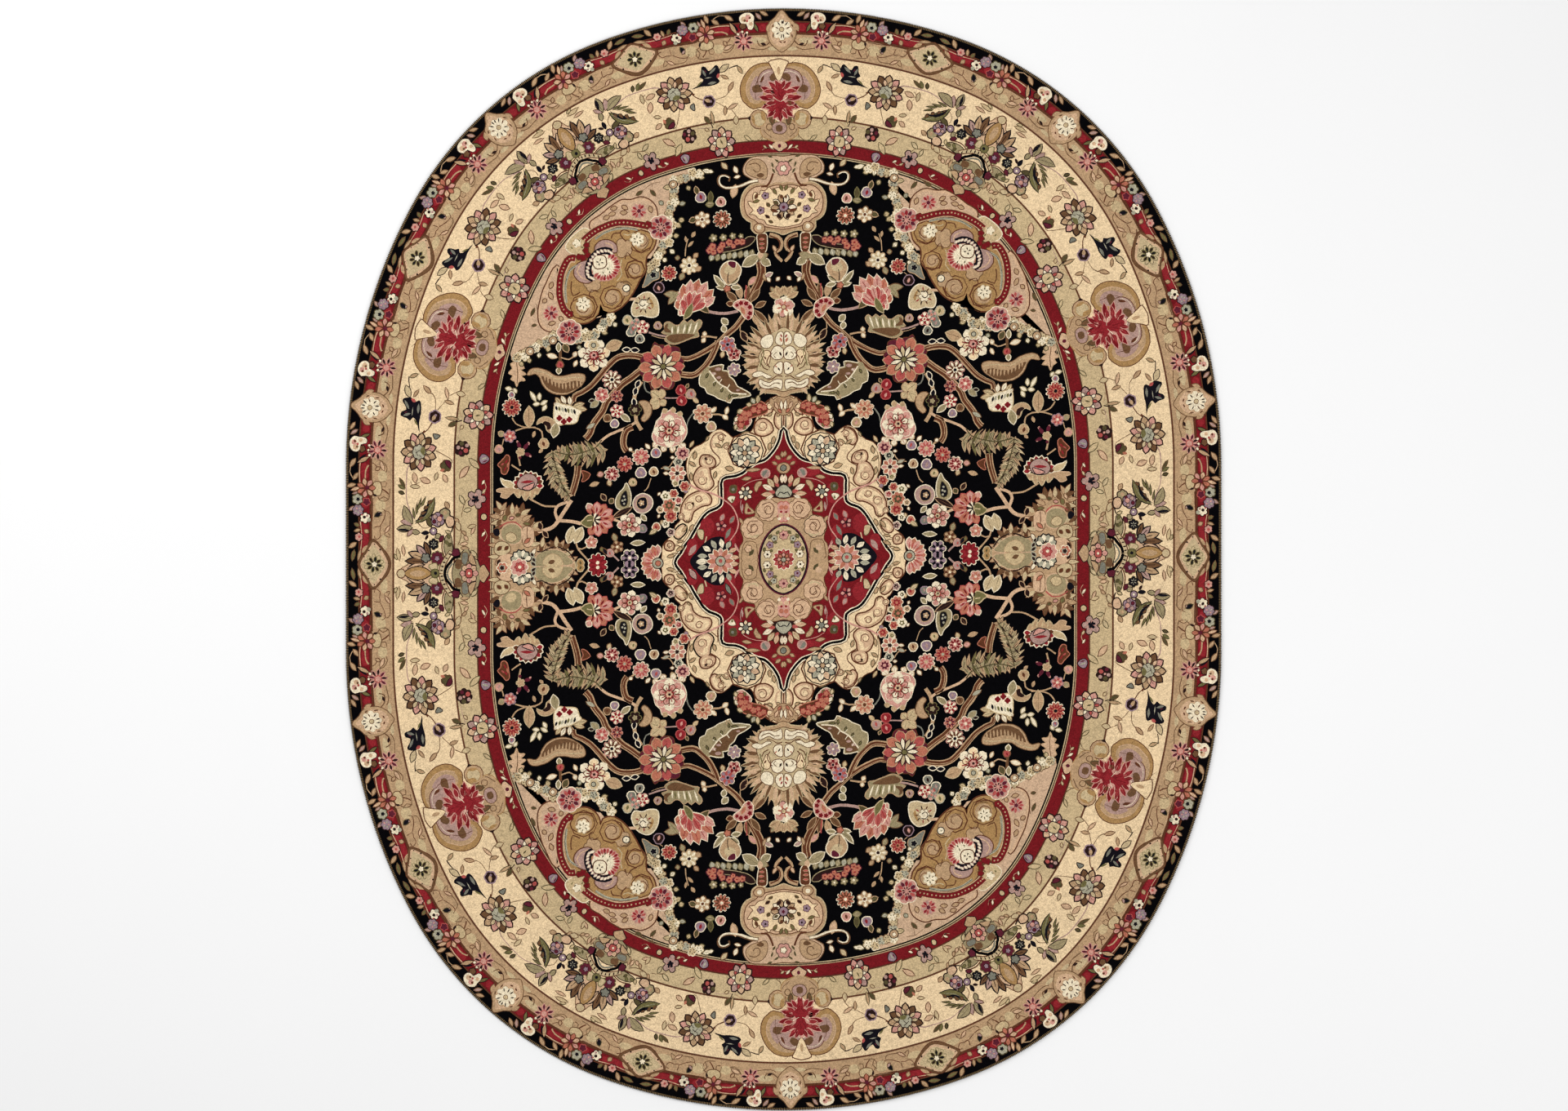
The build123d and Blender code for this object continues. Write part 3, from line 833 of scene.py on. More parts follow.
def strand(points, width, taper=0.0):
    """Ribbon of yarn along an open soft curve, thinning towards its end by taper."""
    path = smooth(points, 9.0, closed=False)
    left, right = [], []
    n = len(path) - 1
    for i, (x, y) in enumerate(path):
        xa, ya = path[max(i - 1, 0)]
        xb, yb = path[min(i + 1, n)]
        d = math.hypot(xb - xa, yb - ya) or 1.0
        half = width / 2 * (1 - taper * i / n)
        nx, ny = -(yb - ya) / d * half, (xb - xa) / d * half
        left.append((x + nx, y + ny))
        right.append((x - nx, y - ny))
    return left + right[::-1]


def leaf(pile, x0, y0, x1, y1, width, yarn, edge, level=3, bend=0.0, vein=None, at=None):
    """Leaf with its outline yarn and, when given, a midrib."""
    count = 4 if width < 10 else 5 if width < 15 else 6
    pile.draw(blade(x0, y0, x1, y1, width, bend, count), yarn, level, edge, at=at)
    if vein:
        dx, dy = x1 - x0, y1 - y0
        nx, ny = -dy / math.hypot(dx, dy), dx / math.hypot(dx, dy)
        rib = [(x0 + dx * w + nx * bend * 4 * w * (1 - w),
                y0 + dy * w + ny * bend * 4 * w * (1 - w)) for w in (0.12, 0.49, 0.86)]
        pile.draw(strand(rib, 2.2), vein, level + 1, wander=0.3, at=at)


def petals(pile, x, y, near, far, width, count, yarns, edge, level, turn=0.0, streak=None, line=2.0,
        at=None):
    """Ring of separate petals, their yarns taken in turn, each with an outline."""
    for i in range(count):
        a = turn + 2 * math.pi * i / count
        c, s = math.cos(a), math.sin(a)
        outline = ray(x, y, a, near, far, width, 4 if width < 12 else 5, 0.58)
        pile.draw(outline, yarns[i % len(yarns)], level, edge, line, wander=0.5, at=at)
        if streak:
            mid = (near + far) / 2
            pile.draw(strand([(x + (near + 2) * c, y + (near + 2) * s),
                            (x + (mid + 4) * c, y + (mid + 4) * s)], 2.0), streak, level + 1,
                    wander=0.3, at=at)


# Scrolls: tan leaves that curl outward round each heart, drawn in brown, over a small disc.
scrolls = Pile("palmette_scroll_yarn", BORDER)
scrolls.draw(smooth([(0, 158), (18, 148), (44, 144), (72, 152), (96, 176), (109, 206), (107, 234),
                (94, 252), (78, 263), (56, 259), (36, 264), (16, 262), (0, 262)], 8), "gold", 3,
        "brown")
scrolls.draw(smooth([(8, 160), (34, 152), (64, 158), (84, 178), (96, 206), (93, 234), (78, 250),
                (58, 248), (50, 232), (60, 206), (56, 182), (30, 164)], 8), "tan", 4)
scrolls.draw(smooth([(62, 176), (80, 194), (86, 220), (74, 240), (58, 240), (48, 224), (40, 206),
                (56, 200)], 8), "mauve", 5)
scrolls.draw(strand([(72, 166), (92, 196), (94, 226), (84, 246)], 3), "peach", 6)
scrolls.draw(strand([(60, 186), (70, 206), (70, 240)], 2.4), "brown", 7)
scrolls.draw(smooth([(50, 206), (64, 200), (78, 206), (76, 220), (62, 222), (46, 218)], 7), "stem",
        6, wander=0.4)
scrolls.draw(smooth([(2, 166), (26, 160), (50, 168), (62, 188), (58, 208), (40, 216), (16, 214),
                (2, 206)], 8), "mauve", 6, "brown")
scrolls.draw(strand([(4, 172), (26, 166), (48, 174), (57, 190)], 2.5), "cream", 7)
scrolls.draw(smooth([(6, 176), (20, 170), (32, 182), (26, 194), (10, 188)], 7), "stem", 7,
        wander=0.4)
scrolls.draw(smooth([(44, 176), (54, 184), (56, 196), (48, 192)]), "brown", 7, wander=0.4)
scrolls.draw(disc(66, 292, 25), "tan", 3, "brown")
scrolls.draw(disc(64, 291, 18), "straw", 4, "gold")
scrolls.draw(blade(82, 278, 78, 306, 10), "gold", 5)
scrolls.draw(smooth([(46, 276), (58, 270), (58, 290), (48, 296)]), "gold", 5, wander=0.3)
scrolls.draw(smooth([(88, 280), (96, 286), (90, 294)], 5), "umber", 4, wander=0.3)
for x0, y0, x1, y1 in ((4, 150, 10, 138), (18, 146, 26, 136), (34, 144, 44, 135)):
    scrolls.draw(strand([(x0, y0), (x1, y1)], 2.5, 0.6), "stem", 2)
scrolls.draw(smooth(both([(0, 192), (7, 184), (13, 168), (20, 152), (24, 141), (10, 136),
                (0, 134)]), 7), "ivory", 8, "brown", at=BORDER_AXIS)
scrolls.draw(smooth(both([(0, 178), (5, 170), (4, 158), (0, 154)]), 5), "tan", 9, "stem",
        at=BORDER_AXIS)
scrolls.finish("palmette_scrolls", slot="wool_tan")

# Hearts: a ragged crimson carnation, its petals edged in pink and cream.
hearts = Pile("palmette_heart_yarn", BORDER)
hearts.draw(smooth(both([(0, 190), (10, 196), (16, 208), (32, 214), (24, 226), (20, 238), (32, 250),
                    (30, 264), (16, 272), (14, 286), (0, 298)])), "pink", 8, "cream",
        at=BORDER_AXIS)
hearts.draw(smooth(both([(0, 196), (9, 202), (11, 214), (24, 218), (16, 230), (12, 242), (22, 252),
                    (22, 262), (10, 268), (10, 280), (0, 290)])), "crimson", 9, at=BORDER_AXIS)
for x0, y0, x1, y1 in ((0, 232, 0, 204), (3, 236, 14, 216), (3, 240, 18, 226), (2, 270, 14, 254),
        (2, 276, 10, 264), (3, 266, 22, 258)):
    hearts.draw(strand([(x0, y0), (x1, y1)], 3.4, 0.3), "red", 10, wander=0.5)
hearts.draw(strand([(4, 246), (16, 240), (24, 232)], 2.6), "cream", 10)
for x0, y0, x1, y1, w, yarn in (
        (6, 214, 16, 190, 11, "red"), (12, 216, 32, 198, 11, "crimson"),
        (16, 224, 42, 214, 12, "crimson"), (18, 234, 46, 232, 12, "crimson"),
        (16, 250, 44, 250, 12, "red"), (14, 258, 38, 272, 12, "crimson"),
        (8, 270, 24, 292, 12, "crimson"), (24, 222, 50, 218, 9, "red"), (2, 270, 4, 300, 11, "red"),
        (22, 262, 46, 262, 9, "crimson")):
    leaf(hearts, x0, y0, x1, y1, w, yarn, "pink", 9, vein="rose")
for x0, y0, x1, y1, w in ((8, 232, 56, 206, 14), (12, 242, 62, 232, 14), (10, 252, 56, 262, 13),
        (6, 262, 40, 286, 13), (4, 222, 34, 194, 12)):
    hearts.draw(blade(x0, y0, x1, y1, w, count=5, belly=0.62), "red", 8, "pink", 2.4)
    hearts.draw(strand([(x0 + 6, y0), ((x0 + x1) / 2, (y0 + y1) / 2)], 2.6), "pink", 9, wander=0.3)
hearts.draw(smooth([(22, 246), (32, 244), (36, 254), (28, 258)], 5), "brown", 9)
hearts.draw(disc(46, 254, 3.5, count=8), "umber", 7)
hearts.finish("palmette_hearts", slot="wool_rose")

# Shell feet: a tan fan with mauve and brown inside it, and a peach bud below.
shells = Pile("palmette_shell_yarn", BORDER_AXIS)
shells.draw(smooth(both([(0, 286), (22, 286), (44, 300), (56, 318), (50, 336), (30, 346), (14, 352),
                    (0, 356)]), 7), "tan", 3, "gold")
shells.draw(smooth(both([(0, 300), (16, 304), (22, 316), (16, 328), (0, 332)]), 7), "mauve", 5,
        "stem")
shells.draw(smooth(both([(0, 306), (10, 310), (10, 322), (0, 326)])), "stem", 6)
shells.draw(blade(30, 280, 26, 308, 14), "stem", 6, "olive", at=BORDER)
shells.draw(disc(36, 312, 8), "tan", 6, "stem", at=BORDER)
shells.draw(strand([(30, 340), (48, 326), (52, 318)], 3), "stem", 5, at=BORDER)
shells.draw(smooth(both([(0, 350), (18, 354), (24, 364), (12, 372), (0, 378)])), "peach", 3,
        "umber")
shells.draw(disc(0, 363, 6), "wine", 4)
shells.finish("palmette_shells", slot="wool_brown")

# ---------------------------------------------------------------------------
# Main border, star flowers, rosettes, tulips and buds.  Silk and wool blooms with
# carved dark outlines, scattered between palmettes and vases.

# ---------------------------------------------------------------------------
# Star flowers: two rings of striped petals in heavy dark outlines.
stars = Pile("border_star_yarn", BORDER)
petals(stars, 283, 193, 15, 46, 17, 11, ("pink", "stem", "tan"), "umber", level=4, turn=0.15,
       streak="umber", line=3.4)
petals(stars, 283, 193, 14, 34, 10, 11, ("straw", "peach"), "umber", level=6, turn=0.43, line=2.2)
petals(stars, 180, 341, 12, 40, 19, 9, ("pink", "peach", "mauve"), "umber", level=4, turn=-0.35,
       streak="wine", line=3.4)
petals(stars, 180, 341, 11, 28, 9, 9, ("cream", "rose"), "umber", level=6, line=2.2)
stars.finish("border_star_flowers", slot="wool_rose")

# Their hearts: a grey or sage disc with dark flecks.
star_hearts = Pile("border_star_heart_yarn", BORDER)
star_hearts.draw(lobes(283, 193, 18, 8, 0.15), "mist", 9, "umber")
star_hearts.draw(smooth([(270, 200), (282, 196), (292, 206), (282, 210), (272, 208)], 5), "moss",
        10, wander=0.3)
for x0, y0, x1, y1 in ((276, 182, 292, 190), (286, 184, 278, 196), (290, 194, 296, 200)):
    star_hearts.draw(strand([(x0, y0), (x1, y1)], 2.4), "umber", 11, wander=0.3)
star_hearts.draw(smooth([(166, 330), (180, 327), (194, 331), (196, 350), (182, 357), (167, 352)]),
        "sage", 9, "night")
star_hearts.draw(blade(178, 348, 184, 332, 6), "olive", 10)
star_hearts.finish("border_star_hearts", slot="wool_grey")

# Rosettes and split buds: small rounds of four or five yarns.
rosettes = Pile("border_rosette_yarn", BORDER)
rosettes.draw(lobes(270, 307, 22, 7, 0.16), "umber", 4, wander=1.5)
for x, y, r, yarn in (
        (258, 304, 7, "olive"), (268, 296, 6, "mauve"), (282, 302, 6, "wine"),
        (276, 316, 7, "rose"), (262, 318, 6, "mauve"), (270, 306, 4, "pink")):
    rosettes.draw(disc(x, y, r, count=8), yarn, 5, wander=0.5)
rosettes.draw(lobes(448, 243, 18, 6, 0.14), "lilac", 4, "umber", 2.5)
for x, y, r, yarn in ((440, 236, 6, "mauve"), (452, 234, 5, "wine"), (446, 248, 7, "pink"),
        (458, 246, 5, "mauve"), (438, 252, 4, "wine")):
    rosettes.draw(disc(x, y, r, count=8), yarn, 6, "umber", 1.5, wander=0.5)
rosettes.draw(disc(475, 232, 9, count=9), "lilac", 4, "umber", 2.5)
rosettes.draw(disc(475, 232, 3.5, count=8), "cream", 6)
rosettes.draw(lobes(507, 232, 14, 6, 0.25), "night", 4, "olive", 1.5)
petals(rosettes, 507, 232, 0.5, 9, 3.2, 6, ("mist",), None, level=6)
rosettes.draw(lobes(543, 241, 18, 8, 0.18), "wine", 4, "moss", 2)
rosettes.draw(lobes(543, 241, 7, 5, 0.3), "lilac", 6, "umber", 1.5)
rosettes.draw(lobes(397, 344, 25, 5, 0.42, 0.3), "mauve", 4, "umber", 2.5)
rosettes.draw(lobes(397, 342, 11, 5, 0.3), "night", 6)
petals(rosettes, 397, 346, 4, 16, 3.4, 5, ("pink",), None, level=7, turn=0.9)
rosettes.draw(lobes(434, 262, 14, 6, 0.14), "willow", 3, "umber", 3)
rosettes.draw(disc(430, 262, 6), "tan", 4)
rosettes.draw(smooth([(440, 268), (452, 264), (466, 272), (462, 284), (448, 286), (440, 280)]),
        "peach", 4, "umber", 3)
rosettes.draw(smooth([(298, 352), (310, 358), (306, 372), (296, 378), (286, 370), (284, 358)]),
        "lilac", 4, "umber")
rosettes.draw(blade(292, 374, 300, 354, 6), "mist", 6)
rosettes.draw(blade(300, 374, 306, 358, 5), "wine", 6)
rosettes.finish("border_rosettes", slot="wool_wine")

# Tulips and buds: a night-coloured tulip with grey petals, and closed round buds.
tulips = Pile("border_tulip_yarn", BORDER)
tulips.draw(smooth([(161, 141), (168, 139), (177, 147), (186, 151), (191, 140), (201, 138),
                (206, 156), (211, 164), (203, 171), (212, 181), (236, 191), (212, 189), (188, 191),
                (168, 188), (161, 182), (166, 170), (157, 160)], 5), "night", 4)
for x0, y0, x1, y1, w, yarn in (
        (165, 144, 186, 160, 8, "grey"), (201, 144, 194, 165, 8, "grey"),
        (168, 182, 194, 184, 9, "grey"), (178, 168, 200, 168, 4, "mist"),
        (190, 156, 196, 146, 4, "wine"), (206, 174, 222, 187, 5, "moss"),
        (160, 160, 167, 174, 9, "rose")):
    tulips.draw(blade(x0, y0, x1, y1, w, count=5), yarn, 5, wander=0.4)
tulips.draw(lobes(196, 229, 15, 6, 0.12), "umber", 4, "lilac", 3)
tulips.draw(blade(190, 232, 208, 222, 11), "tan", 5)
tulips.draw(disc(192, 231, 4, count=8), "lilac", 6)
tulips.draw(smooth([(238, 228), (250, 234), (246, 242), (240, 246)], 4), "grey", 4, "umber")
tulips.draw(lobes(316, 264, 15, 5, 0.2, 0.8), "olive", 3, "brown")
tulips.draw(smooth([(304, 262), (316, 268), (322, 276), (308, 277), (302, 270)], 5), "wine", 5,
        "umber")
tulips.draw(blade(324, 262, 328, 248, 8), "coral", 5)
tulips.draw(disc(440, 363, 8, count=9), "sage", 4, "umber")
tulips.finish("border_tulips_and_buds", slot="wool_pink")

# ---------------------------------------------------------------------------
# Main border, stems and leaves.  Fine stems with small pale leaves, and the long
# saw-edged leaves that curl beside each vase.
# ---------------------------------------------------------------------------
greens = Pile("border_leaf_yarn", BORDER)
for points, width, yarn in (
        ([(110, 146), (122, 148), (134, 152)], 4, "umber"),
        ([(140, 212), (150, 222), (166, 226), (182, 227)], 3, "stem"),
        ([(148, 257), (164, 244), (178, 234)], 3, "stem"),
        ([(139, 260), (128, 276), (130, 284)], 3, "stem"),
        ([(210, 224), (228, 214), (240, 200)], 4, "brown"),
        ([(232, 206), (246, 196), (262, 192)], 6, "brown"),
        ([(278, 236), (288, 258), (300, 278), (310, 278)], 3, "stem"),
        ([(312, 171), (326, 163), (360, 161), (400, 162), (428, 172), (444, 180)], 4, "mauve"),
        ([(455, 190), (468, 204), (467, 220)], 3, "stem"),
        ([(52, 322), (60, 338), (76, 348)], 3, "stem"), ([(52, 322), (60, 346)], 2.6, "stem"),
        ([(84, 346), (96, 344), (100, 338)], 2.6, "olive"),
        ([(408, 312), (424, 308), (442, 304)], 3, "stem"),
        ([(394, 326), (402, 316), (412, 312)], 2.6, "stem"),
        ([(198, 300), (203, 284), (202, 276)], 4, "umber"),
        ([(202, 300), (214, 298), (250, 294)], 2.6, "mauve"),
        ([(164, 290), (176, 292), (190, 300)], 4, "tan"),
        ([(316, 328), (330, 320), (344, 306)], 3, "umber"),
        ([(354, 172), (362, 178), (356, 196)], 2.4, "stem"),
        ([(24, 372), (44, 366), (60, 372)], 2.5, "peach"),
        ([(350, 362), (366, 370), (384, 364)], 2.5, "peach"),
        ([(470, 364), (486, 372), (500, 364)], 2.5, "peach")):
    greens.draw(strand(points, width, 0.2), yarn, 2)
for x0, y0, x1, y1, w, yarn, edge in (
        (132, 141, 158, 158, 15, "straw", "umber"), (112, 148, 101, 169, 9, "tan", "olive"),
        (156, 166, 136, 178, 8, "tan", "stem"), (142, 212, 126, 188, 10, "tan", "brown"),
        (120, 245, 150, 258, 9, "peach", "stem"), (154, 248, 159, 273, 9, "tan", "stem"),
        (130, 276, 132, 300, 14, "straw", "stem"), (196, 292, 196, 256, 9, "tan", "olive"),
        (204, 288, 216, 266, 12, "olive", "stem"), (210, 306, 222, 298, 8, "sage", "stem"),
        (246, 222, 252, 216, 10, "umber", None), (344, 142, 370, 158, 8, "olive", "stem"),
        (362, 139, 373, 157, 8, "moss", "olive"), (378, 140, 383, 156, 8, "olive", "umber"),
        (331, 180, 358, 186, 13, "peach", "stem"), (347, 196, 357, 223, 14, "peach", "brown"),
        (366, 170, 367, 196, 10, "straw", "stem"), (332, 242, 352, 236, 9, "straw", "stem"),
        (336, 258, 356, 268, 12, "peach", "stem"), (388, 299, 410, 312, 11, "straw", "olive"),
        (426, 310, 421, 330, 10, "straw", "olive"), (346, 300, 316, 324, 15, "peach", "brown"),
        (296, 324, 322, 352, 15, "sage", "olive"), (92, 346, 112, 330, 9, "sage", "olive"),
        (404, 262, 420, 272, 12, "tan", "stem"), (26, 370, 40, 358, 8, "cream", "brown"),
        (46, 368, 58, 360, 7, "straw", "brown"), (350, 366, 362, 358, 7, "cream", "brown"),
        (372, 368, 384, 360, 7, "straw", "brown"), (476, 368, 490, 358, 7, "cream", "brown"),
        (516, 136, 548, 142, 10, "sage", "stem"), (508, 150, 536, 154, 8, "peach", "stem"),
        (532, 130, 546, 136, 7, "sage", "olive")):
    leaf(greens, x0, y0, x1, y1, w, yarn, edge)
leaf(greens, 458, 178, 413, 155, 22, "willow", "umber", 4, bend=5, vein="night")
leaf(greens, 462, 176, 452, 146, 14, "mauve", "stem", 3, bend=-3)
leaf(greens, 468, 176, 471, 135, 17, "willow", "umber", 5, vein="night")
greens.draw(blade(474, 172, 472, 138, 8), "night", 6)
leaf(greens, 470, 178, 488, 162, 10, "mauve", "stem", 4)
leaf(greens, 476, 174, 480, 196, 12, "willow", "umber", 4)
leaf(greens, 456, 184, 393, 234, 20, "moss", "night", 5, bend=-10, vein="mist")
greens.draw(blade(452, 182, 398, 218, 9, -12), "night", 6)
for x0, y0, x1, y1 in ((446, 182, 418, 178), (436, 186, 404, 188), (424, 192, 394, 200),
        (416, 200, 390, 212)):
    greens.draw(blade(x0, y0, x1, y1, 6, count=4, belly=0.3), "moss", 4, "umber", 1.2)
for x0, y0, x1, y1 in ((446, 192, 440, 208), (434, 198, 428, 214), (420, 206, 414, 222),
        (408, 216, 400, 230)):
    greens.draw(blade(x0, y0, x1, y1, 9, count=4, belly=0.3), "stem", 6, "umber", 1.2)
leaf(greens, 438, 214, 466, 226, 13, "olive", "umber", 4)
leaf(greens, 480, 222, 481, 198, 12, "night", None, 4)
leaf(greens, 484, 218, 498, 210, 8, "umber", None, 4)
leaf(greens, 484, 250, 492, 236, 13, "willow", "umber", 3)
leaf(greens, 486, 258, 502, 248, 11, "wine", "umber", 4)
greens.finish("border_leaves", slot="wool_olive")

# ---------------------------------------------------------------------------
# Main border, vases.  Between the palmettes: a spiky crown of petals with an
# orange bulb, a black and cream toothed collar, and an olive foot with a flower.
# ---------------------------------------------------------------------------
VASE = BORDER_CELL


def back_from(axis, points):
    """Points given by their distance back from a cell's far axis."""
    return [(axis - x, t) for x, t in points]


def facing(axis, half):
    """Full outline about a cell's far axis, from its near half."""
    return both(back_from(axis, half), axis)


# Crowns: striped petals in night outlines round a gold bulb.
crowns = Pile("vase_crown_yarn", BORDER_AXIS)
crowns.draw(smooth(facing(VASE,
                [(0, 140), (14, 150), (20, 164), (40, 176), (44, 200), (34, 218), (24, 236),
                 (0, 240)]), 7), "peach", 3, "stem")
for x0, y0, x1, y1, w, yarn in (
        (40, 214, 68, 188, 15, "mauve"), (36, 214, 50, 166, 17, "tan"),
        (30, 212, 30, 158, 16, "stem"), (22, 208, 12, 164, 14, "peach"),
        (42, 222, 76, 208, 13, "stem")):
    crowns.draw(blade(VASE - x0, y0, VASE - x1, y1, w), yarn, 5, "night", 3, at=BORDER)
    crowns.draw(strand([(VASE - x0, y0), (VASE - (x0 + 2 * x1) / 3, (y0 + 2 * y1) / 3)], 3),
            "umber", 6, wander=0.3, at=BORDER)
crowns.draw(lobes(VASE - 38, 211, 12, 5, 0.3), "grey", 8, "night", 2.5, at=BORDER)
crowns.draw(smooth(facing(VASE, [(0, 156), (10, 166), (16, 186), (14, 206), (6, 222), (0, 226)])),
        "gold", 8, "umber")
crowns.draw(smooth(facing(VASE, [(0, 168), (7, 178), (8, 198), (0, 212)])), "tan", 9)
crowns.draw(smooth(facing(VASE, [(0, 136), (9, 142), (10, 152), (0, 158)]), 5), "straw", 8, "brown")
crowns.draw(smooth(back_from(VASE, [(20, 220), (10, 226), (12, 242), (26, 240)])), "straw", 6,
        "moss", at=BORDER)
crowns.draw(disc(VASE, 236, 11), "moss", 8, "olive")
crowns.draw(disc(VASE, 237, 5), "night", 9)
crowns.finish("vase_crowns", slot="wool_pink")

# Collars: a cream band with dark teeth, a black band under it, and willow wings.
collars = Pile("vase_collar_yarn", BORDER)
collars.draw(strand(back_from(VASE, [(0, 252), (22, 257), (40, 268), (54, 278)]), 13, 0.3), "straw",
        5, "brown")
for i in range(5):
    u = i / 4
    x, t = VASE - 6 - 40 * u, 255 + 18 * u * u + 3 * u
    collars.draw(blade(x, t + 4, x - 2, t - 7, 5, count=4), "umber", 7, wander=0.3)
collars.draw(strand(back_from(VASE, [(0, 260), (14, 264), (28, 276), (38, 284), (42, 302)]), 8,
                0.2), "black", 8)
collars.draw(strand(back_from(VASE, [(0, 268), (12, 272), (24, 282)]), 4), "grey", 9)
collars.draw(strand(back_from(VASE, [(38, 262), (62, 254), (88, 258)]), 3), "brown", 5)
collars.draw(smooth(back_from(VASE,
                [(40, 268), (62, 260), (90, 264), (96, 276), (70, 282), (50, 282)]), 8), "willow",
        3, "umber")
for x0, y0, x1, y1, yarn in ((96, 268, 84, 274, "moss"), (80, 262, 70, 272, "moss"),
        (66, 270, 74, 280, "olive"), (104, 262, 98, 276, "sage")):
    leaf(collars, VASE - x0, y0, VASE - x1, y1, 8, yarn, "olive", 4)
collars.draw(lobes(VASE - 50, 290, 11, 5, 0.2), "wine", 6, "umber")
collars.finish("vase_collars", slot="wool_cream")

# Bodies: a willow-green foot with brown, grey and tan patches, and side leaves.
feet = Pile("vase_body_yarn", BORDER)
feet.draw(smooth(facing(VASE,
                [(0, 280), (26, 286), (44, 300), (58, 310), (60, 322), (40, 332), (34, 346),
                 (14, 354), (0, 358)]), 7), "willow", 3, "umber", at=BORDER_AXIS)
feet.draw(smooth(back_from(VASE, [(34, 290), (14, 288), (12, 302), (32, 306)])), "stem", 5)
feet.draw(smooth(back_from(VASE, [(50, 308), (26, 306), (22, 318), (48, 322)])), "grey", 5, "stem")
feet.draw(blade(VASE - 20, 344, VASE - 52, 330, 16, 6), "tan", 5, "umber")
feet.draw(blade(VASE - 56, 330, VASE - 40, 346, 10), "straw", 5, "olive")
for x0, y0, x1, y1, w, yarn in (
        (74, 322, 70, 300, 9, "peach"), (60, 326, 62, 302, 9, "tan"),
        (92, 312, 80, 322, 9, "peach"), (104, 306, 94, 318, 8, "tan"),
        (112, 322, 118, 344, 10, "sage"), (116, 340, 96, 330, 8, "peach"),
        (128, 292, 104, 300, 14, "straw"), (134, 286, 128, 300, 8, "tan")):
    leaf(feet, VASE - x0, y0, VASE - x1, y1, w, yarn, "stem", 3)
feet.draw(strand(back_from(VASE, [(140, 286), (118, 302), (90, 304), (70, 296)]), 3), "stem", 2)
feet.draw(strand(back_from(VASE, [(128, 278), (112, 282), (100, 278)]), 4), "umber", 3)
feet.draw(smooth(facing(VASE, [(0, 350), (16, 354), (22, 364), (10, 372), (0, 378)])), "tan", 4,
        "umber", at=BORDER_AXIS)
feet.finish("vase_bodies", slot="wool_olive")

# Flower: one pink bloom on each body.
vase_flowers = Pile("vase_flower_yarn", BORDER_AXIS)
petals(vase_flowers, VASE, 325, 7, 25, 15, 8, ("pink", "peach"), "umber", level=6, streak="wine")
vase_flowers.draw(smooth(back_from(VASE, [(9, 318), (-9, 318), (-9, 333), (9, 333)]), 5), "rose", 9,
        "umber")
vase_flowers.draw(disc(VASE, 325, 4, count=8), "cream", 10)
vase_flowers.finish("vase_flowers", slot="wool_rose")

# ---------------------------------------------------------------------------
# Outer guard.  A narrow red and tan band with pale cartouches and diamonds in
# turn, and between them sprays of small blooms that reach over the black rim.
# ---------------------------------------------------------------------------
GUARD_CELL = 401.0
GUARD_LINE = 75.0


def guard_place(k):
    """Half cell k of the guard: x from cartouche to diamond, t in from the edge."""
    def place(x, t):
        s = GUARD_CELL * k + x if k % 2 == 0 else GUARD_CELL * (k + 1) - x
        return around(s + 0.4 * drift(s, 20 * GUARD_CELL), t, GUARD_LINE)
    return place


GUARD = [guard_place(k) for k in range(20)]
GUARD_AXIS = [guard_place(k) for k in range(0, 20, 2)]

# Cartouches: a pale pointed shield with a flecked cream rosette.
cartouches = Pile("guard_cartouche_yarn", GUARD_AXIS)
cartouches.draw(smooth(both([(0, 6), (8, 12), (18, 26), (32, 38), (38, 58), (36, 80), (26, 98),
                    (12, 110), (0, 117)]), 7), "tan", 3, "stem")
cartouches.draw(smooth(both([(0, 14), (8, 22), (16, 32), (28, 44), (32, 60), (30, 78), (20, 94),
                    (0, 104)]), 7), "peach", 4)
cartouches.draw(lobes(0, 58, 28, 8, 0.2), "cream", 6, "tan")
for x0, y0, x1, y1, yarn in (
        (8, 48, 16, 36, "umber"), (3, 44, 4, 32, "umber"), (11, 56, 22, 50, "brown"),
        (10, 64, 20, 72, "umber"), (4, 68, 6, 82, "umber"), (24, 42, 30, 52, "stem"),
        (26, 66, 28, 80, "stem"), (3, 92, 12, 88, "brown")):
    cartouches.draw(blade(x0, y0, x1, y1, 4.5, count=4), yarn, 8, wander=0.4, at=GUARD)
cartouches.draw(disc(0, 57, 6), "straw", 8, "brown", 1.5)
cartouches.finish("guard_cartouches", slot="wool_cream")

# Diamonds: a straw lozenge with a dark eight-petalled flower.
diamonds = Pile("guard_diamond_yarn", GUARD_AXIS)
diamonds.draw(smooth(both([(GUARD_CELL, 33), (GUARD_CELL - 16, 40), (GUARD_CELL - 36, 52),
                    (GUARD_CELL - 64, 70), (GUARD_CELL - 56, 86), (GUARD_CELL - 36, 104),
                    (GUARD_CELL - 18, 116), (GUARD_CELL, 120)], GUARD_CELL), 7), "stem", 3, "brown",
        1.5)
diamonds.draw(smooth(both([(GUARD_CELL, 38), (GUARD_CELL - 16, 45), (GUARD_CELL - 34, 58),
                    (GUARD_CELL - 58, 72), (GUARD_CELL - 48, 86), (GUARD_CELL - 30, 100),
                    (GUARD_CELL, 113)], GUARD_CELL), 7), "peach", 4)
diamonds.draw(smooth(facing(GUARD_CELL, [(0, 42), (22, 56), (50, 74), (26, 94), (0, 108)]), 7),
        "straw", 5)
for x, t, r in ((52, 77, 2.2), (38, 92, 3.0), (36, 62, 2.2), (20, 50, 2.0)):
    diamonds.draw(disc(GUARD_CELL - x, t, r, count=7), "umber", 7, wander=0.3, at=GUARD)
diamonds.draw(lobes(GUARD_CELL, 76, 27, 10, 0.35), "straw", 6, "moss", 1.5)
petals(diamonds, GUARD_CELL, 76, 5, 21, 7.5, 8, ("night", "umber"), "moss", level=8, turn=0.2)
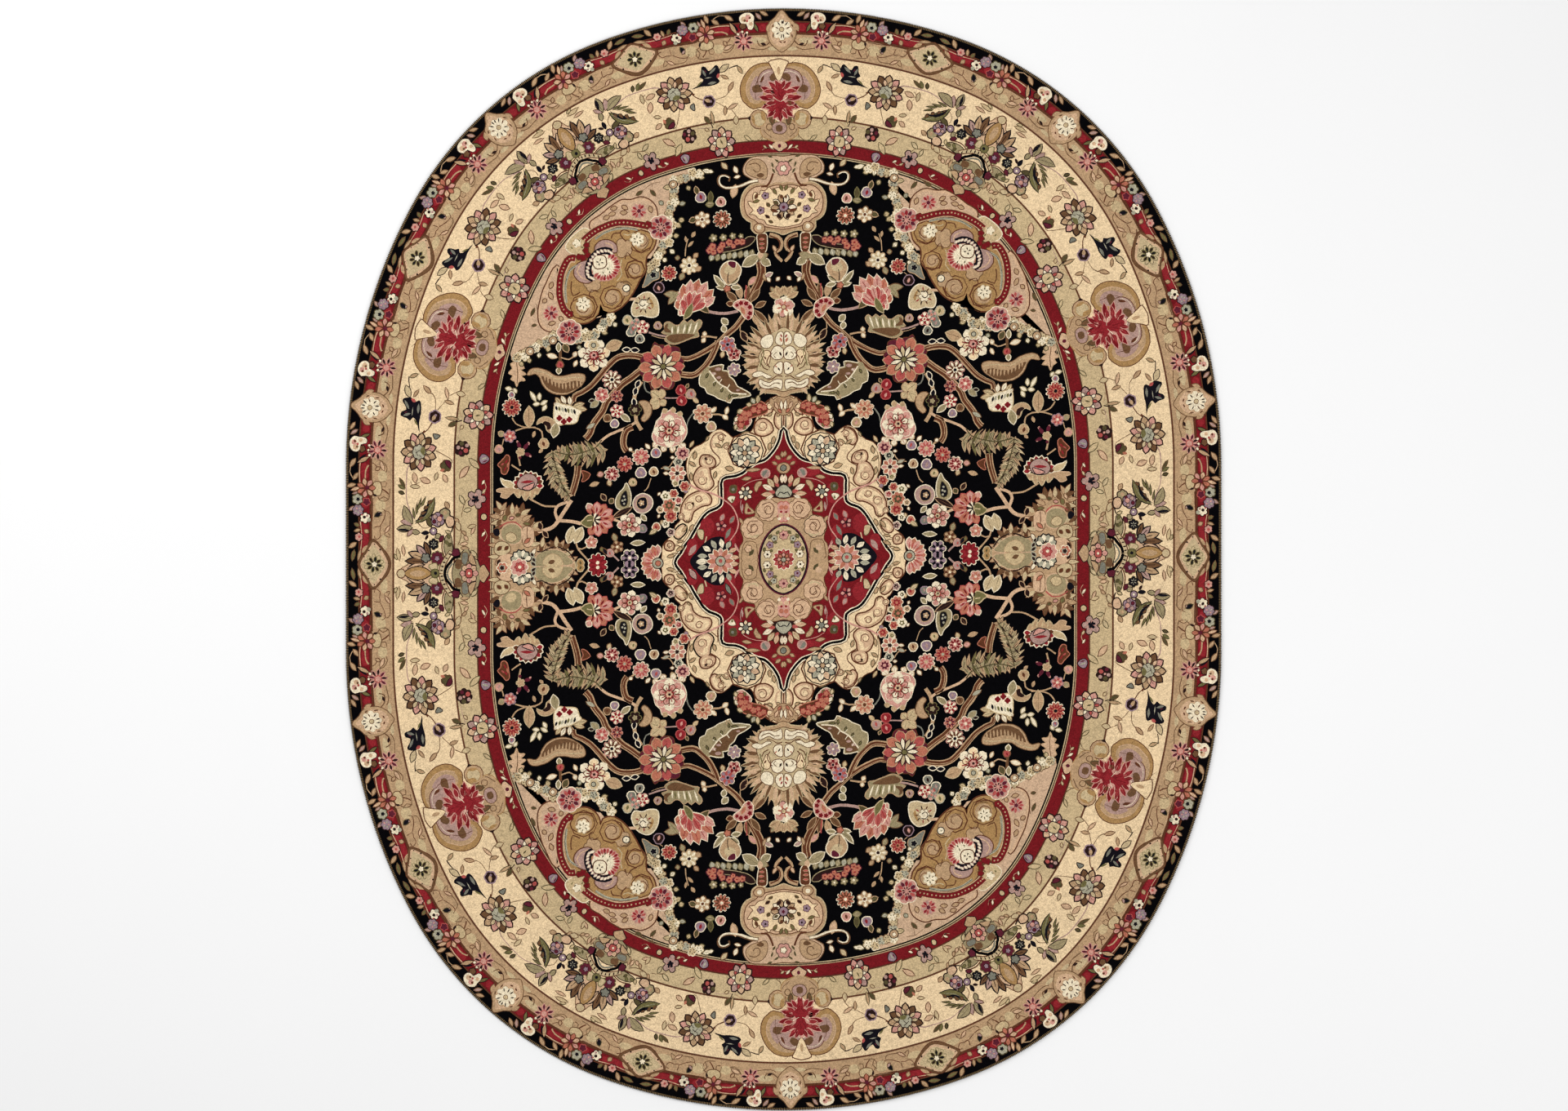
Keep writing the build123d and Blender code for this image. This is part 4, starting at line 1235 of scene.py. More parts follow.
diamonds.draw(lobes(GUARD_CELL, 76, 8, 5, 0.3), "cream", 10, "umber", 1.5)
diamonds.finish("guard_diamonds", slot="wool_cream")

# Sprays: stems, leaves and small blooms over the red ground and the black rim.
sprays = Pile("guard_flower_yarn", GUARD)
for points, width, yarn in (
        ([(148, 15), (164, 12), (180, 20)], 3, "tan"),
        ([(38, 102), (56, 109), (90, 104)], 3, "stem"),
        ([(32, 84), (44, 96), (64, 98), (70, 84)], 4, "stem"),
        ([(132, 84), (138, 100), (154, 110), (166, 106)], 3, "stem"),
        ([(140, 72), (148, 82), (160, 84)], 3, "brown"),
        ([(188, 106), (190, 94), (200, 90), (202, 106), (190, 108)], 3, "stem"),
        ([(206, 92), (214, 106), (222, 114)], 4, "brown"),
        ([(228, 86), (238, 96), (234, 114), (206, 118)], 3, "stem"),
        ([(238, 88), (228, 100), (236, 114)], 3, "stem"),
        ([(258, 96), (264, 106), (284, 102), (302, 92)], 3, "brown"),
        ([(264, 108), (272, 118), (304, 116), (308, 108)], 3, "stem"),
        ([(306, 76), (304, 92), (316, 90), (330, 92), (338, 80), (328, 76)], 3, "brown"),
        ([(316, 108), (326, 102), (332, 118), (320, 112)], 3, "stem"),
        ([(230, 72), (262, 72), (290, 70)], 3, "brown"),
        ([(140, 40), (170, 38), (196, 40)], 3, "peach"),
        ([(146, 62), (160, 54), (196, 52)], 5, "tan"),
        ([(290, 40), (330, 44), (372, 40)], 3, "peach"),
        ([(296, 66), (330, 66), (350, 60)], 3, "brown")):
    sprays.draw(strand(points, width), yarn, 2)
for x, t, w, h, yarn in ((176, 98, 16, 26, "sage"), (250, 92, 18, 30, "sage"),
        (70, 84, 26, 18, "straw"), (346, 102, 22, 20, "sage"), (28, 108, 16, 12, "straw")):
    sprays.draw(disc(x, t, w, h / w / 2), yarn, 1)
for x0, y0, x1, y1, w, yarn, edge in (
        (40, 21, 60, 9, 9, "tan", "stem"), (57, 30, 70, 12, 9, "mauve", "stem"),
        (70, 34, 76, 14, 4, "umber", None), (66, 62, 78, 36, 9, "moss", "umber"),
        (118, 58, 131, 36, 6, "night", None), (124, 64, 140, 32, 11, "tan", "umber"),
        (130, 28, 152, 12, 11, "tan", "stem"), (166, 34, 184, 20, 10, "tan", "stem"),
        (194, 28, 200, 4, 10, "tan", "stem"), (204, 40, 211, 14, 9, "peach", "brown"),
        (214, 36, 220, 18, 7, "mauve", "stem"), (252, 26, 262, 10, 9, "mauve", "stem"),
        (302, 38, 296, 24, 8, "moss", "stem"), (312, 40, 316, 22, 8, "tan", "stem"),
        (344, 30, 358, 10, 11, "tan", "stem"), (362, 24, 392, 18, 9, "moss", "stem"),
        (46, 98, 62, 92, 8, "umber", None), (136, 92, 162, 102, 10, "peach", "stem"),
        (152, 92, 160, 80, 9, "tan", "brown"), (278, 76, 268, 95, 12, "night", "olive"),
        (312, 50, 320, 62, 11, "tan", "stem"), (372, 44, 350, 60, 12, "tan", None),
        (392, 34, 360, 42, 8, "tan", "stem"), (34, 40, 44, 62, 12, "tan", "stem"),
        (320, 104, 300, 118, 8, "peach", "brown"), (266, 86, 276, 96, 8, "mauve", "stem")):
    leaf(sprays, x0, y0, x1, y1, w, yarn, edge, 3)
sprays.draw(smooth([(76, 34), (74, 22), (84, 11), (98, 10), (110, 16), (114, 28), (108, 38),
                (96, 40), (92, 54), (82, 56), (76, 46)], 8), "cream", 5, "umber", 1.5)
for x, t, r, yarn in ((90, 22, 8, "pink"), (102, 26, 8, "peach"), (87, 24, 4, "brown"),
        (100, 30, 4, "stem"), (84, 40, 6, "peach"), (94, 32, 4, "rose")):
    sprays.draw(disc(x, t, r, count=6), yarn, 6 if r > 5 else 7, wander=0.6)
sprays.draw(lobes(106, 44, 9, 5, 0.2), "stem", 5, "umber", 1.8)
petals(sprays, 107, 84, 6, 26, 8, 9, ("umber", "wine"), "pink", level=5, turn=0.1)
sprays.draw(lobes(107, 84, 9, 6, 0.2), "pink", 8, "rose")
for x0, y0, x1, y1 in ((98, 66, 94, 58), (108, 64, 108, 56), (118, 68, 124, 60)):
    sprays.draw(blade(x0, y0, x1, y1, 8, count=4), "cream", 6, "brown", 1.5)
petals(sprays, 205, 55, 5, 25, 12, 7, ("coral", "pink", "peach"), "brown", level=6, turn=-1.1,
       streak="rose")
sprays.draw(lobes(204, 58, 6, 5, 0.3), "wine", 9)
sprays.draw(smooth([(190, 76), (204, 72), (222, 76), (224, 90), (206, 96), (190, 90)]), "sage", 4,
        "stem")
sprays.draw(blade(222, 72, 226, 86, 7, count=4), "umber", 5)
sprays.draw(lobes(234, 32, 14, 6, 0.2), "mist", 5, "olive")
sprays.draw(lobes(234, 34, 6, 5, 0.3), "night", 7)
sprays.draw(lobes(262, 34, 15, 7, 0.18), "lilac", 5, "umber", 1.8)
petals(sprays, 262, 34, 2, 10, 5, 5, ("mist", "pink"), None, level=7)
sprays.draw(lobes(281, 52, 14, 6, 0.24), "cream", 6, "umber", 1.8)
for x, t, r, yarn in ((280, 50, 5, "umber"), (286, 62, 6, "mist"), (276, 58, 4, "mauve"),
        (274, 44, 3, "rose")):
    sprays.draw(disc(x, t, r, count=6), yarn, 8, wander=0.5)
sprays.draw(lobes(330, 36, 11, 6, 0.2), "pink", 5, "umber", 1.8)
sprays.draw(disc(330, 36, 4, count=8), "rose", 7)
sprays.draw(lobes(240, 56, 10, 5, 0.25), "wine", 4, "rose")
for x0, x1 in ((42, 64), (82, 98), (141, 184), (226, 260), (296, 360)):
    middle = (x0 + x1) / 2
    sprays.draw(smooth([(x0, 50), (x0 + 4, 43), (middle, 41), (x1 - 4, 44), (x1, 52), (x1 - 5, 60),
                    (middle, 61), (x0 + 4, 58)], 16), "crimson", 1)
sprays.finish("guard_flowers", slot="wool_rose")

# ---------------------------------------------------------------------------
# Medallion.  A stepped red ground in a black and cream line, in a wide ivory rim
# of scrolls and rondels; pale scallops and a sage oval lie at its centre.
# ---------------------------------------------------------------------------
FIELD_LEAN = 0.03


def quarter_place(sx, sy):
    """The field is drawn once, for its upper right quarter, and turned over both axes;
    the weaver's drawing leans a little, so x lifts y."""
    def place(x, y):
        return sx * x, sy * y + FIELD_LEAN * sx * x
    return place


QUARTERS = [quarter_place(sx, sy) for sx in (1, -1) for sy in (1, -1)]
TOP_BOTTOM = [quarter_place(1, sy) for sy in (1, -1)]
LEFT_RIGHT = [quarter_place(sx, 1) for sx in (1, -1)]
CENTRE = [quarter_place(1, 1)]


def volute(x, y, r, turn, width, way=1):
    """Spiral line that winds in from radius r, starting at angle turn."""
    points = []
    for i in range(9):
        u = i / 8
        a = turn + way * 1.45 * 2 * math.pi * u
        reach = r * (1 - 0.72 * u)
        points.append((x + reach * math.cos(a), y + reach * math.sin(a)))
    return strand(points, width)


def around_centre(quarter):
    """Full outline from its first quarter, top to side."""
    return both(quarter + [(x, -y) for x, y in quarter[-2::-1]])


# Rim: ivory, cut in lobes by brown lines, with curls, discs and small tan leaves.
RIM = [(0, 432), (24, 427), (46, 414), (62, 394), (73, 370), (80, 346), (98, 329), (128, 321),
       (150, 338), (168, 346), (188, 338), (204, 318), (216, 308), (235, 300), (249, 282),
       (255, 255), (252, 225), (243, 200), (252, 186), (265, 164), (274, 138), (270, 112),
       (284, 96), (290, 74), (306, 59), (317, 44), (319, 20), (322, 0)]
RED_EDGE = [(0, 340), (6, 316), (14, 296), (30, 274), (48, 258), (72, 250), (90, 238), (104, 226),
        (124, 218), (156, 212), (158, 190), (158, 158), (162, 144), (176, 134), (192, 128),
        (206, 116), (220, 95), (230, 78), (242, 57), (254, 42), (266, 22), (280, 0)]
rim = Pile("medallion_rim_yarn", QUARTERS)
rim.draw(smooth(around_centre(RIM), 7), "ivory", 1, "brown", 2.5, wander=0, at=CENTRE)
rim.draw(swell(smooth(around_centre(RIM), 7), 4.5), "peach", -1, wander=0, at=CENTRE)
for lobe in (
        [(28, 340), (34, 358), (50, 370), (68, 366), (76, 350), (74, 334), (60, 326), (42, 328)],
        [(2, 392), (18, 386), (24, 368), (20, 350), (8, 340), (2, 340)],
        [(182, 268), (196, 278), (214, 278), (220, 262), (214, 250), (196, 246), (180, 252)],
        [(196, 246), (214, 250), (228, 240), (236, 218), (226, 198), (208, 188), (194, 190),
         (184, 204), (192, 226)],
        [(190, 166), (204, 182), (226, 184), (250, 172), (266, 150), (268, 124), (256, 106),
         (244, 110), (236, 132), (214, 146), (194, 150)],
        [(160, 340), (178, 338), (190, 324), (192, 306), (182, 296), (170, 304), (164, 320)],
        [(30, 420), (48, 408), (58, 392), (50, 380), (36, 384), (26, 400)],
        [(264, 100), (280, 90), (288, 72), (276, 62), (260, 74), (254, 90)],
        [(290, 34), (288, 48), (298, 57), (310, 52), (311, 38), (302, 32)]):
    outline = smooth(lobe)
    rim.draw(outline, "peach", 2, "brown", 4.0, wander=0)
    rim.draw(swell(outline, -5.0), "ivory", 3, wander=0.4)
rim.draw(smooth([(212, 240), (228, 230), (231, 212), (220, 204), (208, 216)]), "peach", 4,
        wander=0.4)
rim.draw(smooth([(222, 182), (248, 170), (262, 150), (250, 146), (232, 160)]), "tan", 3, wander=0.4)
rim.draw(disc(300, 45, 5, count=8), "cream", 3, "stem")
for points, width, yarn in (
        ([(150, 328), (168, 338), (184, 330), (192, 308), (184, 288), (170, 274), (166, 260),
          (178, 248), (192, 240)], 3.4, "brown"),
        ([(172, 212), (173, 180), (168, 168)], 3, "brown"), ([(174, 198), (190, 184)], 3, "brown"),
        ([(244, 96), (262, 62), (286, 46)], 2.6, "stem"),
        ([(232, 292), (246, 272), (250, 240), (246, 210)], 2.4, "stem"),
        ([(82, 334), (104, 334), (124, 324)], 2.6, "brown"),
        ([(256, 30), (276, 44), (288, 40)], 3, "stem"),
        ([(262, 14), (282, 26), (300, 20)], 3, "stem"),
        ([(18, 390), (34, 396), (48, 388), (50, 376)], 3, "brown"),
        ([(4, 404), (18, 410), (30, 404)], 2.6, "stem")):
    rim.draw(strand(points, width), yarn, 4)
for x0, y0, x1, y1, w in (
        (24, 324, 28, 304, 10), (34, 308, 38, 288, 10), (160, 336, 161, 312, 8),
        (142, 310, 162, 298, 9), (180, 308, 162, 297, 8), (130, 239, 154, 246, 13),
        (178, 236, 183, 217, 9), (231, 290, 236, 270, 10), (230, 252, 248, 264, 9),
        (243, 236, 240, 214, 8), (237, 160, 244, 139, 12), (246, 114, 254, 106, 6),
        (238, 99, 246, 81, 10), (253, 95, 269, 77, 10), (262, 56, 280, 54, 7),
        (260, 42, 282, 30, 10), (286, 20, 306, 16, 9), (60, 388, 66, 372, 9), (30, 384, 42, 376, 8),
        (8, 384, 18, 376, 8), (196, 270, 212, 270, 8), (196, 330, 204, 316, 6),
        (90, 336, 112, 332, 6)):
    leaf(rim, x0, y0, x1, y1, w, "tan", "olive", 4)
for x, y, r in (
        (56, 352, 15), (196, 264, 13), (214, 214, 14), (246, 146, 14), (222, 166, 11),
        (36, 402, 12), (12, 418, 8), (164, 326, 10), (298, 46, 8), (268, 120, 9), (150, 300, 8)):
    rim.draw(disc(x, y, r), "peach", 4)
    rim.draw(disc(x, y, 0.62 * r), "ivory", 5)
    rim.draw(volute(x, y, r, 0.1 * x, 2.8, 1 if x > 100 else -1), "brown", 6, wander=0.4)
rim.draw(disc(204, 270, 4, count=8), "umber", 6)
rim.finish("medallion_rim", slot="wool_ivory")

# Outline: brown, cream, black and cream lines, one inside the other.
line_yarn = Pile("medallion_line_yarn", CENTRE)
outer_line = around_centre(RED_EDGE)
for distance, yarn, level in (
        (14, "stem", 2), (12, "cream", 3), (9, "black", 4), (2.6, "cream", 5)):
    line_yarn.draw(swell(smooth(outer_line, 9), distance), yarn, level, wander=0)
line_yarn.finish("medallion_outline", slot="wool_black")

# Red ground, with slightly brighter patches where a second dye lot was used.
red_ground = Pile("medallion_red_yarn", CENTRE)
red_ground.draw(smooth(outer_line), "red", 6, wander=0)
for x, y, w, stretch in ((14, 256, 20, 0.6), (130, 170, 20, 1.4), (140, 60, 16, 1.8),
        (200, 90, 20, 1.3), (240, 40, 16, 1.4), (70, 228, 26, 0.5)):
    red_ground.draw(disc(x, y, w, stretch), "crimson", 7, at=QUARTERS)
red_ground.finish("medallion_red_ground", slot="wool_red")

# Palmettes: pale fans above and below, pink-hearted ones on a dark ground at the sides.
palmettes = Pile("medallion_palmette_yarn", TOP_BOTTOM)
for x0, y0, x1, y1, w, yarn in (
        (16, 196, 22, 222, 14, "peach"), (24, 190, 42, 214, 15, "straw"),
        (28, 182, 56, 196, 15, "cream"), (28, 172, 60, 172, 14, "peach"),
        (4, 200, 4, 224, 12, "cream"), (20, 176, 40, 180, 11, "rose"),
        (12, 190, 22, 204, 10, "rose"), (26, 168, 46, 160, 10, "cream")):
    leaf(palmettes, x0, y0, x1, y1, w, yarn, "brown", 9, vein="rose" if yarn != "rose" else None,
         at=QUARTERS)
palmettes.draw(lobes(0, 182, 46, 9, 0.4, 0.3), "umber", 7)
palmettes.draw(smooth(both([(0, 196), (12, 190), (22, 176), (16, 164), (0, 162)])), "mist", 11,
        "umber")
palmettes.draw(strand([(0, 172), (10, 176), (16, 166)], 4), "night", 12, at=QUARTERS)
palmettes.draw(smooth(both([(0, 254), (12, 250), (18, 240), (10, 228), (0, 226)])), "tan", 9,
        "stem")
palmettes.draw(disc(0, 240, 8), "grey", 11, "umber")
for x0, y0, x1, y1, w in ((8, 262, 22, 272, 10), (16, 248, 30, 256, 9), (2, 268, 4, 284, 9)):
    leaf(palmettes, x0, y0, x1, y1, w, "tan", "stem", 9, at=QUARTERS)
for x0, y0, x1, y1, w, yarn, edge in (
        (150, 32, 138, 52, 15, "mist", "night"), (160, 34, 166, 60, 15, "cream", "night"),
        (176, 32, 190, 56, 15, "mist", "night"), (190, 26, 212, 40, 15, "cream", "night"),
        (198, 14, 226, 16, 15, "mist", "night"), (200, 4, 230, 2, 13, "cream", "night"),
        (146, 22, 120, 32, 13, "peach", "brown"), (142, 10, 116, 8, 13, "peach", "brown")):
    leaf(palmettes, x0, y0, x1, y1, w, yarn, edge, 8, vein="coral" if edge == "brown" else "grey",
         at=QUARTERS)
for i in range(7):
    a = math.pi * (i / 6)
    for angle in (a, -a):
        palmettes.draw(ray(166, 0, angle, 8, 36, 14, 5), ("coral", "pink")[i % 2], 11, "cream", 1.8,
                at=LEFT_RIGHT)
palmettes.draw(smooth([(130, 0), (136, 30), (152, 60), (180, 64), (204, 52), (230, 26), (246, 0),
                (230, -26), (204, -52), (180, -64), (152, -60), (136, -30)]), "night", 7,
        at=LEFT_RIGHT)
palmettes.draw(disc(166, 0, 13), "mist", 13, "umber", at=LEFT_RIGHT)
palmettes.draw(disc(166, 0, 6), "rose", 14, at=LEFT_RIGHT)
palmettes.finish("medallion_palmettes", slot="wool_pink")

# Scallops: a lobed tan frame with brown spirals round the centre.
scallops = Pile("medallion_scallop_yarn", QUARTERS)
scallops.draw(smooth(around_centre([(0, 158), (22, 162), (46, 160), (64, 150), (74, 134), (76, 116),
                    (92, 112), (108, 102), (114, 84), (108, 66), (106, 50), (114, 38), (118, 18),
                    (116, 0)])), "tan", 9, "brown", wander=0, at=CENTRE)
scallops.draw(lobes(42, 131, 30, 7, 0.12), "peach", 10, "stem")
scallops.draw(volute(40, 133, 20, 0.6, 3.4), "brown", 11, wander=0.4)
scallops.draw(strand([(24, 126), (34, 112), (52, 108), (66, 118)], 3), "brown", 12)
scallops.draw(strand([(40, 142), (48, 128), (44, 118)], 2.6), "stem", 12)
scallops.draw(lobes(82, 84, 30, 7, 0.12), "peach", 10, "stem")
scallops.draw(volute(80, 86, 20, 2.2, 3.4, -1), "brown", 11, wander=0.4)
scallops.draw(smooth([(64, 70), (82, 64), (100, 72), (92, 62), (72, 58)]), "straw", 12, wander=0.5)
scallops.draw(strand([(74, 96), (86, 84), (82, 76), (92, 70)], 3), "stem", 12)
scallops.draw(smooth([(74, 46), (96, 50), (106, 40), (110, 14), (108, 0), (70, 0), (70, 24)], 7),
        "tan", 10, "stem", wander=0.5)
scallops.draw(blade(78, 30, 92, 12, 12), "olive", 11)
scallops.draw(lobes(92, 30, 10, 5, 0.2), "peach", 11, "stem")
scallops.draw(smooth([(0, 150), (14, 146), (16, 128), (12, 104), (0, 100)]), "pink", 10, "rose",
        wander=0.5)
for x, y, r, yarn in ((6, 136, 7, "coral"), (8, 116, 8, "peach"), (6, 124, 4, "crimson"),
        (12, 106, 5, "cream")):
    scallops.draw(disc(x, y, r, count=9), yarn, 11)
scallops.finish("medallion_scallops", slot="wool_tan")

# Centre oval: sage, in a wine and night line, with a ring of small blooms.
oval_yarn = Pile("centre_oval_yarn", CENTRE)
OVAL = [(0, 92), (16, 88), (32, 78), (47, 60), (57, 40), (63, 18), (64, 0)]
oval_yarn.draw(swell(smooth(around_centre(OVAL)), 3), "wine", 11, wander=0)
oval_yarn.draw(smooth(around_centre(OVAL)), "night", 12, wander=0)
oval_yarn.draw(swell(smooth(around_centre(OVAL)), -3.5), "sage", 13, wander=0)
for x, y, r, n, yarn, core in ((0, 64, 13, 7, "pink", "wine"), (25, 55, 9, 5, "mist", "night"),
        (36, 38, 10, 5, "lilac", "wine"), (43, 14, 11, 6, "cream", "umber")):
    places = TOP_BOTTOM if x == 0 else QUARTERS
    oval_yarn.draw(lobes(x, y, r, n, 0.25), yarn, 15, "brown", 1.5, at=places)
    oval_yarn.draw(disc(x, y, r * 0.35, count=8), core, 16, at=places)
for x0, y0, x1, y1 in ((12, 74, 20, 66), (32, 66, 40, 54), (48, 32, 52, 22), (18, 44, 28, 46),
        (30, 26, 36, 22)):
    leaf(oval_yarn, x0, y0, x1, y1, 6, "moss", "olive", 15, at=QUARTERS)
oval_yarn.finish("centre_oval", slot="wool_sage")

# Blossoms: the centre rosette, and the vine, leaves and flowers on the red ground.
blossoms = Pile("medallion_blossom_yarn", QUARTERS)
petals(blossoms, 0, 0, 7, 29, 13, 12, ("crimson", "rose"), "cream", level=15, streak="pink",
       at=CENTRE)
petals(blossoms, 0, 0, 5, 17, 9, 8, ("pink", "coral"), "brown", level=18, at=CENTRE)
blossoms.draw(disc(0, 0, 6), "mist", 20, "umber", at=CENTRE)
petals(blossoms, 100, 176, 5, 20, 10, 7, ("cream", "ivory"), "umber", level=9, turn=0.2)
blossoms.draw(lobes(100, 176, 8, 6, 0.2), "grey", 12, "umber", 1.5)
petals(blossoms, 164, 92, 3, 15, 10, 5, ("pink", "rose"), "wine", level=9, turn=0.5)
blossoms.draw(disc(164, 92, 4, count=8), "umber", 12)
blossoms.draw(disc(48, 226, 12), "mauve", 9, "pink")
blossoms.draw(smooth([(42, 236), (54, 234), (58, 224), (52, 218)], 5), "grey", 10)
blossoms.draw(smooth([(58, 206), (70, 204), (78, 190), (72, 178), (66, 190), (60, 196)]), "tan", 8,
        "stem")
blossoms.draw(smooth([(124, 196), (140, 196), (141, 180), (126, 178)], 5), "olive", 9, "stem")
blossoms.draw(disc(133, 188, 5, count=8), "grey", 10)
blossoms.draw(smooth([(126, 168), (138, 170), (147, 164), (136, 152), (130, 158)], 5), "cream", 9,
        "stem")
blossoms.draw(blade(134, 164, 134, 153, 7), "moss", 10)
blossoms.draw(smooth([(76, 126), (90, 140), (98, 152), (102, 138), (100, 122)]), "tan", 9, "stem")
blossoms.draw(smooth([(84, 128), (94, 138), (96, 126)], 5), "red", 10)
blossoms.draw(smooth([(210, 76), (214, 84), (228, 82), (222, 62), (212, 58)], 5), "straw", 8,
        "olive")
for x0, y0, x1, y1, w, yarn, edge in (
        (60, 238, 100, 236, 10, "tan", "stem"), (84, 216, 110, 212, 10, "tan", "stem"),
        (130, 118, 142, 98, 11, "grey", "rose"), (157, 124, 166, 104, 12, "mauve", "rose"),
        (138, 88, 152, 58, 12, "grey", "rose"), (228, 46, 247, 18, 16, "mauve", "pink"),
        (108, 150, 110, 126, 7, "mauve", None), (116, 20, 130, 44, 8, "pink", "wine"),
        (106, 96, 116, 112, 8, "tan", "stem")):
    leaf(blossoms, x0, y0, x1, y1, w, yarn, edge, 8)
for points, width, yarn in (
        ([(248, 206), (226, 192), (196, 182), (172, 172), (154, 160), (134, 142), (122, 118),
          (118, 96), (124, 76), (138, 56), (148, 42)], 4.5, "pink"),
        ([(194, 110), (190, 96), (200, 72), (206, 48)], 5, "peach"),
        ([(52, 212), (72, 210), (92, 204), (108, 194)], 3, "pink"),
        ([(112, 160), (114, 140), (108, 124)], 3, "mauve"),
        ([(128, 46), (122, 34), (132, 24)], 3, "pink")):
    blossoms.draw(strand(points, width), yarn, 7)
blossoms.finish("medallion_blossoms", slot="wool_cream")

# Rondels: the four striped discs, and the flowers strung along the rim's outer edge.
rondels = Pile("rim_rondel_yarn", QUARTERS)
rondels.draw(lobes(96, 288, 49, 2, 0.02), "ivory", 3, "brown", 4)
rondels.draw(disc(97, 287, 43), "ivory", 4, "umber", 3)
petals(rondels, 101, 284, 8, 39, 17, 11, ("cream", "mist", "peach"), "night", level=7,
       streak="night", line=3.2)
petals(rondels, 102, 282, 5, 22, 11, 8, ("cream", "mist"), "night", level=10, line=2.4)
rondels.draw(lobes(102, 282, 7, 6, 0.2), "tan", 13, "umber")
for x, y, r, n, petal, core in (
        (265, 286, 19, 7, "pink", "wine"), (276, 264, 12, 6, "mist", "night"),
        (260, 200, 14, 6, "coral", "crimson"), (288, 181, 12, 6, "coral", "crimson"),
        (310, 176, 13, 5, "cream", "moss"), (300, 150, 19, 7, "coral", "olive"),
        (296, 122, 17, 7, "coral", "crimson"), (310, 102, 10, 5, "cream", "olive"),
        (282, 140, 9, 5, "straw", "olive"), (275, 163, 10, 5, "pink", "crimson"),
        (284, 208, 9, 5, "straw", "moss"), (296, 80, 11, 5, "mauve", "umber"),
        (324, 140, 9, 5, "peach", "olive")):
    rondels.draw(lobes(x, y, r, n, 0.22), petal, 2, "cream", 1.8)
    rondels.draw(lobes(x, y, r * 0.62, n, 0.3, 0.3), core, 4)
    rondels.draw(disc(x, y, r * 0.28, count=8), petal, 5)
rondels.draw(smooth([(92, 352), (84, 366), (92, 382), (108, 388), (124, 378), (130, 360),
                (124, 344), (108, 340)]), "pink", 1, "cream")
for x, y, r, yarn in (
        (98, 362, 9, "crimson"), (112, 372, 9, "rose"), (114, 356, 9, "coral"),
        (122, 366, 6, "cream"), (104, 350, 6, "moss"), (120, 350, 6, "sage")):
    rondels.draw(lobes(x, y, r, 5, 0.25), yarn, 3, "brown", 1.2)
petals(rondels, 279, 234, 5, 23, 12, 8, ("pink", "coral"), "cream", level=3, streak="brown")
rondels.draw(lobes(279, 234, 6, 6, 0.3), "umber", 6)
for x0, y0, x1, y1, w, yarn in (
        (246, 300, 235, 318, 9, "sage"), (258, 302, 264, 314, 9, "cream"),
        (286, 290, 298, 294, 9, "straw"), (286, 276, 298, 276, 9, "cream"),
        (298, 244, 318, 252, 10, "mist"), (300, 234, 316, 236, 9, "cream"),
        (294, 216, 284, 204, 9, "cream"), (322, 186, 330, 178, 8, "cream"),
        (326, 128, 330, 118, 8, "cream"), (318, 112, 322, 100, 8, "sage"),
        (262, 188, 250, 184, 12, "lilac")):
    leaf(rondels, x0, y0, x1, y1, w, yarn, "stem", 2)
for i in range(6):
    a = math.radians(-5 + 19 * i)
    rondels.draw(blade(330 + 12 * math.cos(a), 2 + 12 * math.sin(a), 330 + 44 * math.cos(a),
                2 + 46 * math.sin(a), 17, count=6, belly=0.6), ("coral", "pink")[i % 2], 5, "cream",
            2)
    rondels.draw(blade(330 + 16 * math.cos(a), 2 + 16 * math.sin(a), 330 + 34 * math.cos(a),
                2 + 36 * math.sin(a), 5, count=4), "rose", 6)
rondels.draw(disc(330, 0, 14), "mist", 8, "umber", at=LEFT_RIGHT)
rondels.draw(disc(330, 0, 7), "coral", 9, "brown", at=LEFT_RIGHT)
rondels.finish("rim_rondels", slot="wool_wine")

# ---------------------------------------------------------------------------
# Field stems.  Thick brown branches in a pale edge link the flowers, with thinner
# tan and grey stalks running out to the buds.
# ---------------------------------------------------------------------------
stems = Pile("field_stem_yarn", QUARTERS)
for points, width, taper in (
        ([(104, 642), (126, 614), (150, 594), (172, 574), (200, 556), (228, 542), (252, 534),
          (276, 538)], 13, 0.2),
        ([(172, 578), (182, 552), (196, 526), (216, 504), (240, 490), (284, 497)], 13, 0.0),
        ([(352, 524), (372, 510), (398, 490), (424, 472), (446, 448), (464, 428), (474, 404),
          (486, 388), (500, 368), (508, 346), (520, 332)], 15, 0.0),
        ([(366, 540), (388, 546), (418, 547), (440, 540), (462, 520), (484, 494), (506, 470),
          (530, 454), (548, 446), (552, 430)], 14, 0.2),
        ([(62, 784), (58, 756), (66, 728), (80, 702), (94, 678)], 21, 0.2),
        ([(396, 360), (412, 352), (420, 330), (419, 308), (411, 296)], 15, 0.1),
        ([(538, 262), (541, 236), (548, 208), (556, 184)], 16, 0.1)):
    stems.draw(strand(points, width + 4.5, taper), "tan", 1)
    stems.draw(strand(points, width - 2, taper), "brown", 2, wander=0.5)
    stems.draw(strand([(x + 1.5, y + 1.5) for x, y in points], 3.4, taper), "tan", 3, wander=0.4)
